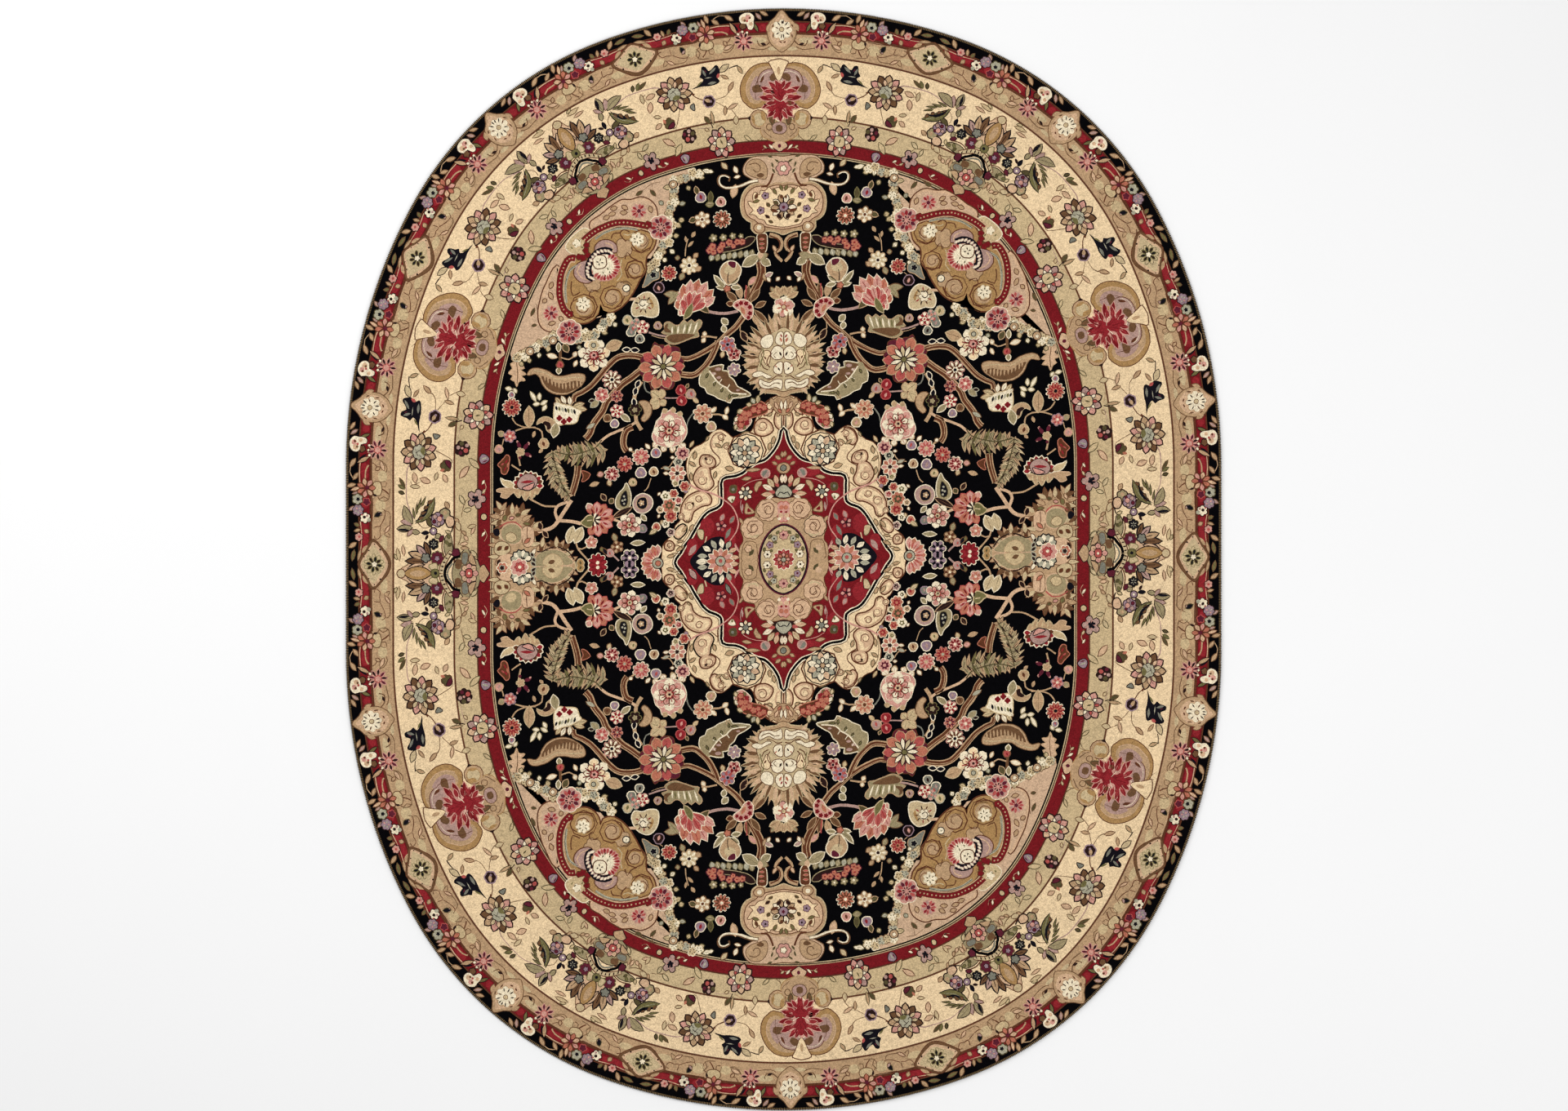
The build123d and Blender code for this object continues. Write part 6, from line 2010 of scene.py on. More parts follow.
carnations.draw(smooth([(638, 206), (650, 206), (674, 200), (700, 206), (712, 206), (702, 188),
                (694, 182), (688, 190), (678, 174), (668, 186), (660, 178), (654, 190), (646, 190)],
            5), "tan", 4, "straw", 2)
for x in (652, 664, 678, 692):
    carnations.draw(blade(x, 202, x + 2, 182, 6, count=4), "sage", 6)
carnations.draw(smooth([(704, 214), (716, 226), (732, 230), (742, 236), (736, 220), (726, 212),
                (712, 208)], 5), "sage", 4, "cream", 2)
carnations.draw(smooth([(702, 206), (722, 208), (748, 206), (752, 200), (738, 196), (742, 186),
                (726, 182), (718, 190), (708, 196)], 5), "tan", 4, "peach", 2)
carnations.draw(smooth([(720, 290), (728, 296), (734, 288), (742, 280), (750, 270), (742, 262),
                (740, 248), (730, 246), (724, 256), (722, 270)], 5), "brown", 4, "coral", 2.2)
for x0, y0, x1, y1, yarn in ((724, 284, 732, 272, "crimson"), (732, 276, 742, 268, "rose"),
        (728, 266, 734, 252, "crimson"), (722, 278, 726, 262, "coral")):
    carnations.draw(blade(x0, y0, x1, y1, 6, count=5), yarn, 6)
for x0, y0, x1, y1, w, yarn in (
        (684, 306, 668, 328, 11, "wine"), (690, 310, 698, 332, 11, "wine"),
        (682, 298, 660, 292, 11, "wine"), (690, 292, 694, 282, 9, "wine"),
        (668, 320, 670, 330, 7, "pink"), (696, 324, 699, 333, 7, "pink"),
        (668, 294, 662, 288, 7, "pink")):
    carnations.draw(blade(x0, y0, x1, y1, w, count=5), yarn, 3)
carnations.draw(lobes(690, 303, 11, 5, 0.35), "tan", 5, "straw")
carnations.draw(smooth([(508, 238), (520, 246), (530, 248), (526, 234), (530, 220), (518, 224)], 5),
        "brown", 3, "coral", 2)
carnations.finish("field_carnations", slot="wool_rose")

# ---------------------------------------------------------------------------
# Field rosettes and buds.  Round blooms along the stems and the single buds that
# close them, each bud in a pale sepal.

# ---------------------------------------------------------------------------
# Rosettes, each given by its place, radius, petal count and yarns.
rosettes = Pile("field_rosette_yarn", QUARTERS)
for x, y, r, count, petal, edge, core, eye in (
        (417, 262, 22, 9, "coral", "pink", "crimson", "mist"),
        (450, 237, 21, 8, "pink", "cream", "red", "cream"),
        (374, 280, 24, 9, "pink", "cream", "rose", "sage"),
        (147, 568, 23, 6, "lilac", "cream", "rose", "night"),
        (130, 543, 20, 5, "pink", "cream", "red", "night"),
        (130, 502, 19, 6, "lilac", "cream", "mauve", "cream"),
        (370, 620, 19, 5, "cream", "pink", "crimson", "rose"),
        (162, 897, 25, 11, "coral", "cream", "brown", "cream"),
        (300, 760, 22, 9, "coral", "cream", "crimson", "brown"),
        (713, 420, 26, 12, "coral", "cream", "crimson", "night"),
        (212, 388, 27, 8, "peach", "cream", "coral", "brown"),
        (504, 60, 18, 5, "pink", "cream", "coral", "cream"),
        (718, 345, 18, 6, "pink", "lilac", "rose", "cream"),
        (437, 441, 17, 7, "coral", "pink", "wine", "mist"),
        (477, 446, 21, 6, "pink", "cream", "rose", "cream"),
        (438, 402, 19, 6, "cream", "pink", "crimson", "coral"),
        (488, 6, 27, 9, "crimson", "cream", "red", "cream"),
        (388, 630, 15, 4, "pink", "mist", "grey", "coral")):
    bloom(rosettes, x, y, r, count, petal, edge, core, eye, turn=0.3)
for x0, y0, x1, y1, w, yarn in (
        (350, 300, 362, 314, 11, "cream"), (396, 296, 406, 304, 10, "cream"),
        (400, 264, 408, 258, 8, "sage"), (158, 552, 162, 534, 12, "sage"),
        (460, 222, 454, 206, 12, "sage"), (472, 240, 490, 236, 15, "pink"),
        (462, 26, 474, 44, 10, "night"), (476, 34, 478, 46, 9, "moss")):
    leaf(rosettes, x0, y0, x1, y1, w, yarn, "stem", 4)
rosettes.finish("field_rosettes", slot="wool_pink")

# Buds: a round body in a pale sepal, with one petal showing.
buds = Pile("field_bud_yarn", QUARTERS)
for x, y, r, body, edge, heart in (
        (190, 354, 13, "tan", "cream", "pink"), (335, 290, 13, "lilac", "cream", "rose"),
        (340, 240, 12, "tan", "cream", "brown"), (375, 238, 14, "lilac", "cream", "mauve"),
        (630, 322, 14, "tan", "straw", "brown"), (747, 312, 11, "pink", "tan", "mauve"),
        (243, 441, 13, "mauve", "tan", "rose"), (270, 452, 13, "crimson", "rose", "pink"),
        (268, 424, 13, "crimson", "rose", "pink"), (330, 624, 10, "mauve", "tan", "brown"),
        (378, 590, 12, "grey", "cream", "umber"), (396, 618, 12, "grey", "tan", "rose"),
        (165, 943, 13, "pink", "cream", "brown"), (218, 957, 14, "lilac", "cream", "crimson"),
        (328, 722, 14, "umber", "lilac", "pink"), (410, 640, 13, "sage", "mist", "moss"),
        (400, 608, 12, "grey", "cream", "mauve"), (463, 384, 10, "stem", "tan", "brown"),
        (443, 370, 11, "lilac", "cream", "mauve"), (370, 92, 11, "grey", "lilac", "mauve"),
        (334, 94, 11, "coral", "cream", "crimson"), (586, 528, 10, "rose", "stem", "crimson"),
        (395, 214, 10, "sage", "tan", "moss"), (533, 7, 10, "gold", "straw", "olive"),
        (713, 453, 8, "lilac", "cream", "rose"), (456, 30, 10, "mauve", "pink", "rose"),
        (690, 560, 9, "sage", "stem", "cream")):
    buds.draw(lobes(x, y, r, 3, 0.12, math.pi / 2), body, 4, edge, 2.2)
    buds.draw(blade(x - r * 0.2, y - r * 0.55, x + r * 0.15, y + r * 0.5, r * 0.62, count=5), heart,
            6)
for x0, y0, x1, y1, w in ((324, 434, 348, 452, 22), (322, 430, 318, 456, 20),
        (326, 428, 350, 420, 22), (328, 428, 342, 404, 20), (322, 428, 310, 414, 18)):
    leaf(buds, x0, y0, x1, y1, w, "sage", "tan", 4, vein="olive")
buds.draw(blade(238, 430, 224, 418, 10), "sage", 4, "tan", 1.4)
buds.draw(blade(256, 456, 250, 468, 8), "olive", 4, "tan", 1.4)
buds.draw(blade(630, 308, 642, 298, 10), "tan", 3)
buds.finish("field_buds", slot="wool_gold")

# ---------------------------------------------------------------------------
# Pendants.  A large palmette with a ragged tan edge and white petals hangs from the
# medallion at each end, with a small flower and a leaf at its tip.
# ---------------------------------------------------------------------------
pendants = Pile("pendant_yarn", QUARTERS)
RAGGED = [(0, 646), (12, 642), (22, 652), (26, 634), (36, 624), (44, 612), (48, 596), (56, 604),
        (64, 598), (66, 584), (76, 592), (80, 574), (78, 562), (94, 568), (88, 552), (100, 546),
        (90, 536), (102, 526), (92, 516), (103, 508), (92, 500), (100, 490), (86, 478), (88, 462),
        (74, 466), (66, 450), (52, 440), (34, 438), (18, 436), (8, 428), (0, 424)]
pendants.draw(both(RAGGED), "tan", 3, "straw", 2.6, wander=0.4, at=TOP_BOTTOM)
for i in range(24):
    a = math.radians(-64 + 6.6 * i)
    c, s = math.cos(a), math.sin(a)
    reach = 1.0 + 0.10 * (i % 2) + 0.22 * max(0.0, s)
    pendants.draw(blade(8 + 52 * c, 522 + 60 * s, 8 + 94 * c * reach, 522 + 98 * s * reach, 10,
                count=5), ("tan", "peach", "stem")[i % 3], 5, "straw" if i % 3 else None, 1.4)
for x0, y0, x1, y1, w, yarn in (
        (26, 600, 40, 618, 9, "peach"), (58, 574, 70, 588, 9, "peach"),
        (68, 556, 88, 560, 9, "peach"), (72, 538, 94, 540, 9, "peach"),
        (74, 522, 96, 518, 9, "peach"), (70, 504, 92, 498, 9, "peach"),
        (64, 470, 80, 466, 9, "peach"), (8, 612, 16, 640, 9, "peach"),
        (66, 566, 82, 574, 5, "stem"), (72, 530, 92, 530, 5, "stem"), (72, 512, 94, 508, 5, "stem"),
        (48, 590, 56, 600, 5, "stem")):
    pendants.draw(blade(x0, y0, x1, y1, w, count=5), yarn, 5)
pendants.draw(smooth(both([(0, 608), (18, 600), (34, 592), (52, 582), (60, 566), (58, 550),
                    (66, 536), (64, 520), (70, 502), (68, 480), (62, 458), (40, 448), (16, 444),
                    (0, 440)])), "straw", 6, "stem", 2, at=TOP_BOTTOM)
pendants.draw(smooth([(26, 578), (30, 590), (44, 590), (58, 580), (60, 566), (52, 556), (38, 556),
                (28, 566)]), "cream", 8, "stem", 2)
pendants.draw(smooth([(30, 480), (46, 488), (62, 496), (78, 492), (82, 484), (70, 480), (56, 484),
                (44, 476)]), "cream", 8, "stem", 2)
pendants.draw(smooth([(4, 470), (24, 472), (36, 464), (50, 468), (62, 474), (66, 464), (58, 452),
                (38, 448), (20, 452), (6, 446)]), "cream", 8, "brown", 2)
pendants.draw(smooth([(2, 552), (18, 560), (30, 552), (34, 536), (26, 526), (12, 524), (2, 530)]),
        "cream", 8, "brown", 2)
pendants.draw(smooth([(36, 546), (50, 548), (58, 538), (52, 524), (44, 510), (36, 522)]), "ivory",
        8, "brown", 2)
pendants.draw(smooth([(2, 596), (14, 596), (22, 582), (20, 568), (8, 562), (2, 566)]), "cream", 8,
        "stem", 2)
pendants.draw(smooth([(2, 516), (14, 516), (24, 506), (26, 494), (16, 486), (4, 488)]), "cream", 8,
        "brown", 2)
for points, width, yarn in (
        ([(30, 542), (40, 530), (44, 516), (36, 504)], 3, "brown"),
        ([(56, 556), (52, 540), (58, 526), (62, 508)], 3, "moss"),
        ([(18, 544), (26, 536), (20, 528)], 2.6, "stem"),
        ([(10, 462), (24, 464), (36, 456), (50, 458), (58, 464)], 3, "stem"),
        ([(40, 498), (52, 504), (58, 516)], 3, "stem"),
        ([(4, 480), (18, 482), (30, 474), (44, 472)], 2.6, "brown")):
    pendants.draw(strand(points, width), yarn, 11)
for x, y, w, yarn in ((8, 576, 7, "coral"), (6, 586, 5, "crimson"), (12, 500, 5, "umber"),
        (48, 530, 5, "brown"), (8, 540, 6, "umber"), (20, 506, 4, "coral")):
    pendants.draw(blade(x - 3, y - w, x + 3, y + w, w, count=4), yarn, 11)
for i in range(6):
    a = math.radians(15 + 60 * i)
    pendants.draw(lobes(15 * math.cos(a), 662 + 15 * math.sin(a), 13, 5, 0.15),
            ("pink", "cream")[i % 2], 4, "cream", 2, at=TOP_BOTTOM)
    pendants.draw(blade(5 * math.cos(a), 662 + 5 * math.sin(a), 18 * math.cos(a),
                662 + 18 * math.sin(a), 6, count=4), "coral", 7, at=TOP_BOTTOM)
pendants.draw(disc(0, 662, 6), "sage", 8, "red", at=TOP_BOTTOM)
for x0, y0, x1, y1, w in ((8, 690, 20, 716, 14), (10, 686, 38, 700, 14), (4, 692, 2, 716, 12)):
    leaf(pendants, x0, y0, x1, y1, w, "tan", "sage", 5, vein="stem")
pendants.finish("pendant_palmettes", slot="wool_tan")

# ---------------------------------------------------------------------------
# End vases.  At each end a flecked ivory vase in a tan flame rim, on a banded foot,
# carries a scroll head and two cream hooks that curl out over the field.

# ---------------------------------------------------------------------------
# Vase, foot, scroll head and hooks.
vases = Pile("end_vase_yarn", QUARTERS)
vases.draw(smooth(both([(0, 1058), (22, 1060), (52, 1060), (82, 1058), (98, 1046), (106, 1030),
                    (104, 1014), (92, 1006), (78, 998), (62, 988), (48, 980), (32, 984), (0, 990)]),
            7), "blush", 4, "stem", at=TOP_BOTTOM)
vases.draw(smooth([(46, 1000), (42, 1020), (48, 1040), (64, 1052), (86, 1050), (98, 1036),
                (98, 1020), (84, 1008), (64, 1002)], 7), "tan", 5, "stem")
vases.draw(strand([(90, 1038), (74, 1042), (62, 1034), (62, 1022), (72, 1018), (80, 1026)], 3.4),
        "stem", 7)
vases.draw(smooth([(50, 1010), (60, 1016), (72, 1010), (60, 1002)], 5), "stem", 7, wander=0.4)
vases.draw(strand([(28, 1014), (34, 996), (44, 982), (60, 980)], 6), "brown", 7)
vases.draw(lobes(0, 1026, 20, 6, 0.2), "pink", 6, "umber", at=TOP_BOTTOM)
vases.draw(lobes(0, 1026, 9, 5, 0.25), "cream", 8, "stem", at=TOP_BOTTOM)
for x, y, turn in ((36, 1058, 0.2), (30, 1036, 1.3), (26, 1020, 1.0), (18, 1046, 0.6)):
    c, s = 8 * math.cos(turn), 8 * math.sin(turn)
    vases.draw(blade(x - c, y - s, x + c, y + s, 6), "olive", 7)
BODY = [(0, 988), (20, 990), (40, 984), (62, 988), (80, 986), (96, 976), (108, 958), (112, 934),
        (108, 908), (96, 892), (84, 886), (84, 870), (74, 858), (60, 853), (46, 862), (30, 862),
        (12, 856), (0, 852)]
vases.draw(smooth(both(BODY), 7), "tan", 4, "straw", 2.4, at=TOP_BOTTOM)
vases.draw(smooth(both([(0, 980), (20, 982), (40, 977), (60, 980), (76, 978), (89, 969), (100, 954),
                    (103, 934), (99, 912), (88, 898), (76, 892), (66, 884), (48, 874), (28, 870),
                    (0, 866)]), 7), "peach", 5, "brown", 2.4, at=TOP_BOTTOM)
vases.draw(smooth(both([(0, 974), (18, 976), (32, 970), (38, 978), (50, 968), (60, 970), (64, 958),
                    (76, 966), (82, 952), (80, 940), (94, 942), (88, 928), (80, 918), (90, 908),
                    (76, 906), (66, 896), (52, 892), (44, 880), (28, 876), (0, 872)]), 5), "ivory",
        6, "brown", 2.2, wander=0.4, at=TOP_BOTTOM)
vases.draw(smooth([(52, 862), (50, 876), (60, 884), (74, 880), (78, 870), (68, 860)]), "tan", 7,
        "brown")
vases.draw(disc(64, 872, 7), "cream", 8, "stem")
for x0, y0, x1, y1, w, yarn in (
        (4, 968, 10, 984, 8, "moss"), (18, 958, 28, 974, 8, "moss"), (64, 944, 82, 938, 8, "moss"),
        (36, 926, 44, 936, 8, "olive"), (14, 932, 26, 940, 10, "olive"),
        (12, 912, 34, 920, 10, "brown"), (6, 894, 18, 908, 10, "umber"),
        (36, 896, 48, 904, 7, "umber"), (68, 962, 74, 948, 7, "brown"),
        (4, 946, 8, 956, 7, "brown"), (28, 884, 40, 890, 6, "olive")):
    leaf(vases, x0, y0, x1, y1, w, yarn, "stem", 9)
for x, y, r in ((48, 955, 10), (60, 918, 10)):
    vases.draw(lobes(x, y, r, 5, 0.25), "lilac", 9, "wine", 1.6)
    vases.draw(disc(x, y, 3.5, count=8), "umber", 11)
petals(vases, 0, 924, 9, 34, 13, 10, ("cream", "tan"), "umber", level=8, streak="stem", line=2.4,
       at=TOP_BOTTOM)
vases.draw(disc(0, 924, 12), "lilac", 12, "umber", at=TOP_BOTTOM)
vases.draw(lobes(0, 924, 6, 5, 0.3), "wine", 13, at=TOP_BOTTOM)
vases.draw(strand([(66, 996), (90, 992), (110, 984), (132, 979), (152, 979), (166, 986), (172, 998),
                (168, 1010), (154, 1012), (142, 1006), (144, 996)], 11, 0.55), "stem", 5)
vases.draw(strand([(68, 996), (90, 992), (110, 984), (132, 979), (152, 979), (165, 986), (170, 998),
                (166, 1009), (154, 1011), (143, 1005)], 7, 0.5), "cream", 7)
vases.draw(blade(126, 986, 134, 952, 17), "peach", 6, "tan")
vases.draw(smooth([(44, 850), (46, 812), (56, 804), (66, 812), (70, 850), (62, 856), (52, 856)]),
        "brown", 4, "cream")
for y in (842, 830, 818):
    vases.draw(blade(50, y, 65, y, 6, count=5), "rose", 6, "tan", 1.2)
vases.draw(strand([(38, 852), (16, 846), (6, 832), (10, 814), (22, 806), (14, 792), (4, 782)], 13,
            0.4), "tan", 4)
vases.draw(strand([(36, 850), (16, 842), (9, 830), (12, 816), (20, 808), (12, 796)], 5, 0.3),
        "brown", 6)
vases.draw(blade(18, 806, 28, 824, 9), "peach", 5, "stem", 1.4)
vases.finish("end_vases", slot="wool_ivory")

# Palmette hearts that sit between the pendants and the medallion.
hearts = Pile("axis_palmette_yarn", QUARTERS)
hearts.draw(smooth(both([(0, 424), (14, 428), (26, 420), (34, 424), (38, 410), (28, 398), (18, 386),
                    (0, 378)])), "tan", 6, "stem", 2, at=TOP_BOTTOM)
for x0, y0, x1, y1, w, yarn in ((4, 392, 6, 418, 9, "cream"), (14, 394, 24, 414, 9, "peach"),
        (6, 384, 16, 396, 8, "coral")):
    leaf(hearts, x0, y0, x1, y1, w, yarn, "brown", 8)
hearts.draw(smooth([(40, 392), (48, 408), (62, 416), (72, 408), (84, 406), (96, 402), (108, 396),
                (118, 384), (122, 366), (118, 350), (108, 352), (100, 366), (84, 374), (70, 378),
                (54, 382)]), "brown", 5, "coral", 2.4)
for x, y, r in ((52, 400, 8), (64, 404, 8), (78, 394, 9), (90, 384, 9), (104, 386, 9),
        (112, 372, 9), (100, 372, 8), (112, 356, 8), (66, 390, 7)):
    hearts.draw(lobes(x, y, r, 5, 0.25), ("coral", "rose")[int(x) % 2], 7, "crimson", 1.8)
for x0, y0, x1, y1, w, yarn in (
        (68, 410, 66, 432, 11, "sage"), (76, 410, 84, 426, 12, "mist"),
        (84, 406, 98, 410, 11, "sage"), (106, 396, 122, 388, 13, "sage"),
        (118, 378, 128, 366, 11, "cream"), (124, 358, 128, 344, 10, "sage")):
    leaf(hearts, x0, y0, x1, y1, w, yarn, "olive", 6, vein="cream")
hearts.finish("axis_palmette_hearts", slot="wool_rose")

# ---------------------------------------------------------------------------
# Side vases.  On the long sides a jagged tan crest over a grey-sage dome, with a
# dark-petalled flower in its neck and a pointed bulb towards the medallion.

# ---------------------------------------------------------------------------
# Crest, dome and neck.
side = Pile("side_vase_yarn", QUARTERS)
CREST = [(546, 0), (552, 18), (562, 34), (570, 50), (582, 56), (596, 64), (606, 56), (618, 54),
        (632, 66), (642, 58), (646, 42), (650, 60), (654, 86), (648, 98), (646, 112), (662, 118),
        (672, 130), (676, 146), (686, 156), (700, 150), (712, 156), (722, 150), (734, 160),
        (746, 164), (750, 150), (758, 136), (756, 118), (750, 104), (742, 96), (748, 86), (758, 84),
        (761, 60), (762, 30), (762, 0)]
side.draw(smooth(CREST + [(x, -y) for x, y in CREST[-2:0:-1]]), "tan", 3, "straw", 2.6, wander=0.4,
        at=LEFT_RIGHT)
for i, (x, y) in enumerate(CREST[1:-1]):
    ahead, behind = CREST[i + 2], CREST[i]
    nx, ny = behind[1] - ahead[1], ahead[0] - behind[0]
    d = math.hypot(nx, ny)
    side.draw(blade(x - 16 * nx / d, y - 16 * ny / d, x + 14 * nx / d, y + 14 * ny / d, 13, count=5,
                belly=0.4), ("tan", "straw", "stem")[i % 3], 4, "brown", 1.6)
side.draw(smooth([(690, 70), (690, 100), (704, 112), (724, 112), (738, 102), (742, 86), (734, 70),
                (712, 60)]), "willow", 5, "peach", 3)
side.draw(smooth([(700, 74), (706, 88), (718, 92), (730, 84), (726, 70), (712, 66)]), "sage", 6,
        "stem", 1.4)
side.draw(smooth([(656, 64), (656, 98), (672, 108), (686, 100), (684, 64), (672, 52)]), "peach", 5,
        "stem")
side.draw(smooth([(744, 98), (752, 104), (762, 96), (756, 84), (746, 84)], 5), "night", 7)
side.draw(smooth([(716, 48), (724, 64), (742, 70), (756, 62), (758, 42), (744, 32), (726, 36)]),
        "straw", 6, "stem", 2)
side.draw(smooth([(700, 6), (706, 30), (724, 36), (744, 30), (756, 10), (740, 2), (718, 0)]),
        "peach", 6, "stem", 2)
side.draw(smooth([(556, 4), (564, 24), (580, 38), (600, 44), (622, 42), (640, 36), (652, 22),
                (654, 2)]), "willow", 5, "peach", 2.4)
side.draw(smooth([(578, 4), (588, 24), (606, 32), (622, 26), (632, 8), (618, 0), (592, 0)]), "sage",
        6, "tan", 1.6)
side.draw(strand([(550, 16), (562, 34), (576, 44), (592, 50)], 4), "umber", 7)
side.draw(strand([(602, 50), (620, 46), (634, 38), (648, 40)], 4), "umber", 7)
side.draw(strand([(672, 104), (674, 84), (672, 66)], 3), "brown", 7)
side.draw(strand([(688, 104), (704, 118), (726, 118), (746, 106)], 3.4), "rose", 7)
for x0, y0, x1, y1, w, yarn in (
        (664, 76, 680, 62, 10, "coral"), (690, 140, 704, 136, 9, "olive"),
        (706, 132, 720, 128, 9, "pink"), (728, 138, 734, 122, 11, "moss"),
        (664, 112, 684, 114, 8, "moss"), (736, 150, 744, 136, 8, "peach"),
        (722, 56, 732, 46, 9, "brown"), (740, 56, 752, 46, 9, "brown"),
        (612, 52, 622, 60, 7, "umber"), (632, 48, 640, 40, 8, "brown"),
        (744, 22, 752, 8, 9, "umber"), (580, 50, 592, 58, 6, "stem"),
        (650, 48, 660, 30, 10, "cream"), (600, 14, 616, 8, 9, "stem"),
        (742, 126, 752, 114, 8, "stem")):
    leaf(side, x0, y0, x1, y1, w, yarn, "stem", 8)
side.finish("side_vases", slot="wool_tan")

# Flowers in the neck and on the dome.
side_flowers = Pile("side_vase_flower_yarn", LEFT_RIGHT)
for i in range(6):
    a = math.radians(20 + 28 * i)
    side_flowers.draw(blade(688 + 8 * math.cos(a), 16 + 8 * math.sin(a), 688 + 28 * math.cos(a),
                16 + 30 * math.sin(a), 14, count=5, belly=0.6), ("mist", "cream")[i % 2], 9,
            "night", 3, at=QUARTERS)
side_flowers.draw(lobes(694, 0, 24, 8, 0.2), "pink", 11, "cream")
side_flowers.draw(lobes(692, 0, 13, 7, 0.3), "rose", 13, "crimson")
side_flowers.draw(disc(692, 0, 5, count=9), "cream", 15)
for x0, y0, x1, y1 in ((660, 24, 652, 12), (662, 12, 650, 2), (664, 36, 656, 26)):
    leaf(side_flowers, x0, y0, x1, y1, 9, "umber", "mist", 9, at=QUARTERS)
side_flowers.draw(lobes(738, 0, 15, 6, 0.25), "coral", 9, "cream")
side_flowers.draw(lobes(738, 0, 7, 5, 0.25), "umber", 11, "mist")
side_flowers.finish("side_vase_flowers", slot="wool_pink")

# ---------------------------------------------------------------------------
# Corner grounds.  A quiet pinkish ivory fills each corner of the field between its
# flowered edge and the band, with a thin olive vine on it.
# ---------------------------------------------------------------------------
INNER = [(712, 545), (690, 562), (664, 576), (640, 590), (610, 600), (590, 618), (548, 640),
        (520, 640), (480, 650), (440, 700), (400, 760), (372, 800), (348, 800), (330, 830),
        (322, 860), (300, 900), (284, 940), (278, 980), (262, 1010), (238, 1024)]
spandrels = Pile("spandrel_yarn", QUARTERS)
band_side = sorted((x, y) for x, y in oval(391, 200) if x > 222 and y > 520)
for sign, places in ((1, [QUARTERS[0], QUARTERS[3]]), (-1, [QUARTERS[1], QUARTERS[2]])):
    lifted = [(x, y - sign * FIELD_LEAN * x) for x, y in band_side]
    spandrels.draw(INNER + lifted, "blush", 2, wander=0, at=places)
for points in ([(322, 1000), (346, 996), (362, 984), (376, 974)],
        [(344, 996), (342, 980), (334, 966)], [(612, 640), (640, 660), (648, 690)]):
    spandrels.draw(strand(points, 2.6), "stem", 3)
for x0, y0, x1, y1, w in (
        (350, 980, 334, 962, 9), (370, 978, 388, 966, 9), (652, 680, 662, 658, 8),
        (648, 634, 662, 632, 7), (610, 742, 622, 722, 9), (600, 728, 606, 706, 8)):
    leaf(spandrels, x0, y0, x1, y1, w, "olive", "stem", 4)
spandrels.finish("spandrel_grounds", slot="wool_ivory")

# ---------------------------------------------------------------------------
# Corner fringe.  Small crowded cream, sage and grey flowers with dark eyes hide the
# edge between the corner ground and the black field.
# ---------------------------------------------------------------------------
fringe = Pile("corner_fringe_yarn", QUARTERS)
PATH = smooth([(228, 1022), (262, 1014), (284, 1000), (286, 972), (290, 948), (300, 926),
            (296, 904), (300, 866), (306, 842), (322, 818), (338, 792), (346, 776)], 15,
        closed=False)
PATH_2 = smooth([(452, 644), (470, 636), (484, 618), (500, 604), (520, 606), (536, 596), (590, 604),
            (606, 596), (628, 590), (646, 574), (664, 566), (684, 552), (700, 548)], 14,
        closed=False)
dealt = random.Random(31)
for i, (x, y) in enumerate(PATH + PATH_2):
    dx, dy = dealt.uniform(-6, 6), dealt.uniform(-6, 6)
    petal, edge, core = (("cream", "sage", "moss"), ("sage", "cream", "umber"),
            ("mist", "tan", "night"), ("straw", "stem", "olive"))[i % 4]
    fringe.draw(lobes(x + dx, y + dy, 12.5, 5, 0.28, dealt.uniform(0, 1)), petal, 6, edge, 1.6)
    for k in range(5):
        a = dealt.uniform(0, 0.5) + 2 * math.pi * k / 5
        fringe.draw(ray(x + dx, y + dy, a, 3, 9, 3.6), core, 8, wander=0.3)
for x0, y0, x1, y1, w, yarn in (
        (212, 1028, 190, 1022, 13, "cream"), (224, 1012, 208, 1008, 12, "straw"),
        (240, 1016, 236, 1000, 12, "cream"), (274, 940, 258, 944, 11, "mist"),
        (276, 900, 262, 896, 13, "sage"), (286, 890, 270, 880, 13, "sage"),
        (290, 856, 276, 858, 12, "sage"), (298, 822, 286, 812, 12, "cream"),
        (318, 798, 306, 792, 12, "cream"), (332, 776, 328, 764, 11, "cream"),
        (350, 776, 356, 760, 12, "sage"), (446, 634, 438, 624, 12, "cream"),
        (478, 612, 462, 606, 12, "sage"), (496, 592, 486, 584, 11, "cream"),
        (538, 578, 534, 566, 11, "mist"), (616, 578, 620, 562, 12, "sage"),
        (640, 562, 642, 548, 11, "cream"), (668, 548, 666, 536, 11, "sage"),
        (690, 540, 686, 526, 11, "sage"), (252, 988, 246, 976, 11, "sage"),
        (292, 986, 316, 984, 13, "sage"), (316, 940, 326, 950, 11, "mist")):
    leaf(fringe, x0, y0, x1, y1, w, yarn, "olive", 5, vein="moss")
for x, y in ((665, 566), (290, 992), (605, 592)):
    fringe.draw(disc(x, y, 11), "tan", 9, "umber", 2)
    fringe.draw(lobes(x, y, 6, 5, 0.3), "cream", 11, "brown", 1)
for x, y in ((322, 880), (562, 614)):
    fringe.draw(lobes(x, y, 33, 7, 0.12), "pink", 10, "cream")
    petals(fringe, x, y, 8, 28, 11, 12, ("crimson", "rose", "wine"), "mauve", level=12)
    petals(fringe, x, y, 3, 13, 6, 8, ("umber", "wine"), "pink", level=15, turn=0.2)
    fringe.draw(disc(x, y, 4, count=8), "pink", 17)
fringe.finish("spandrel_flowers", slot="wool_sage")

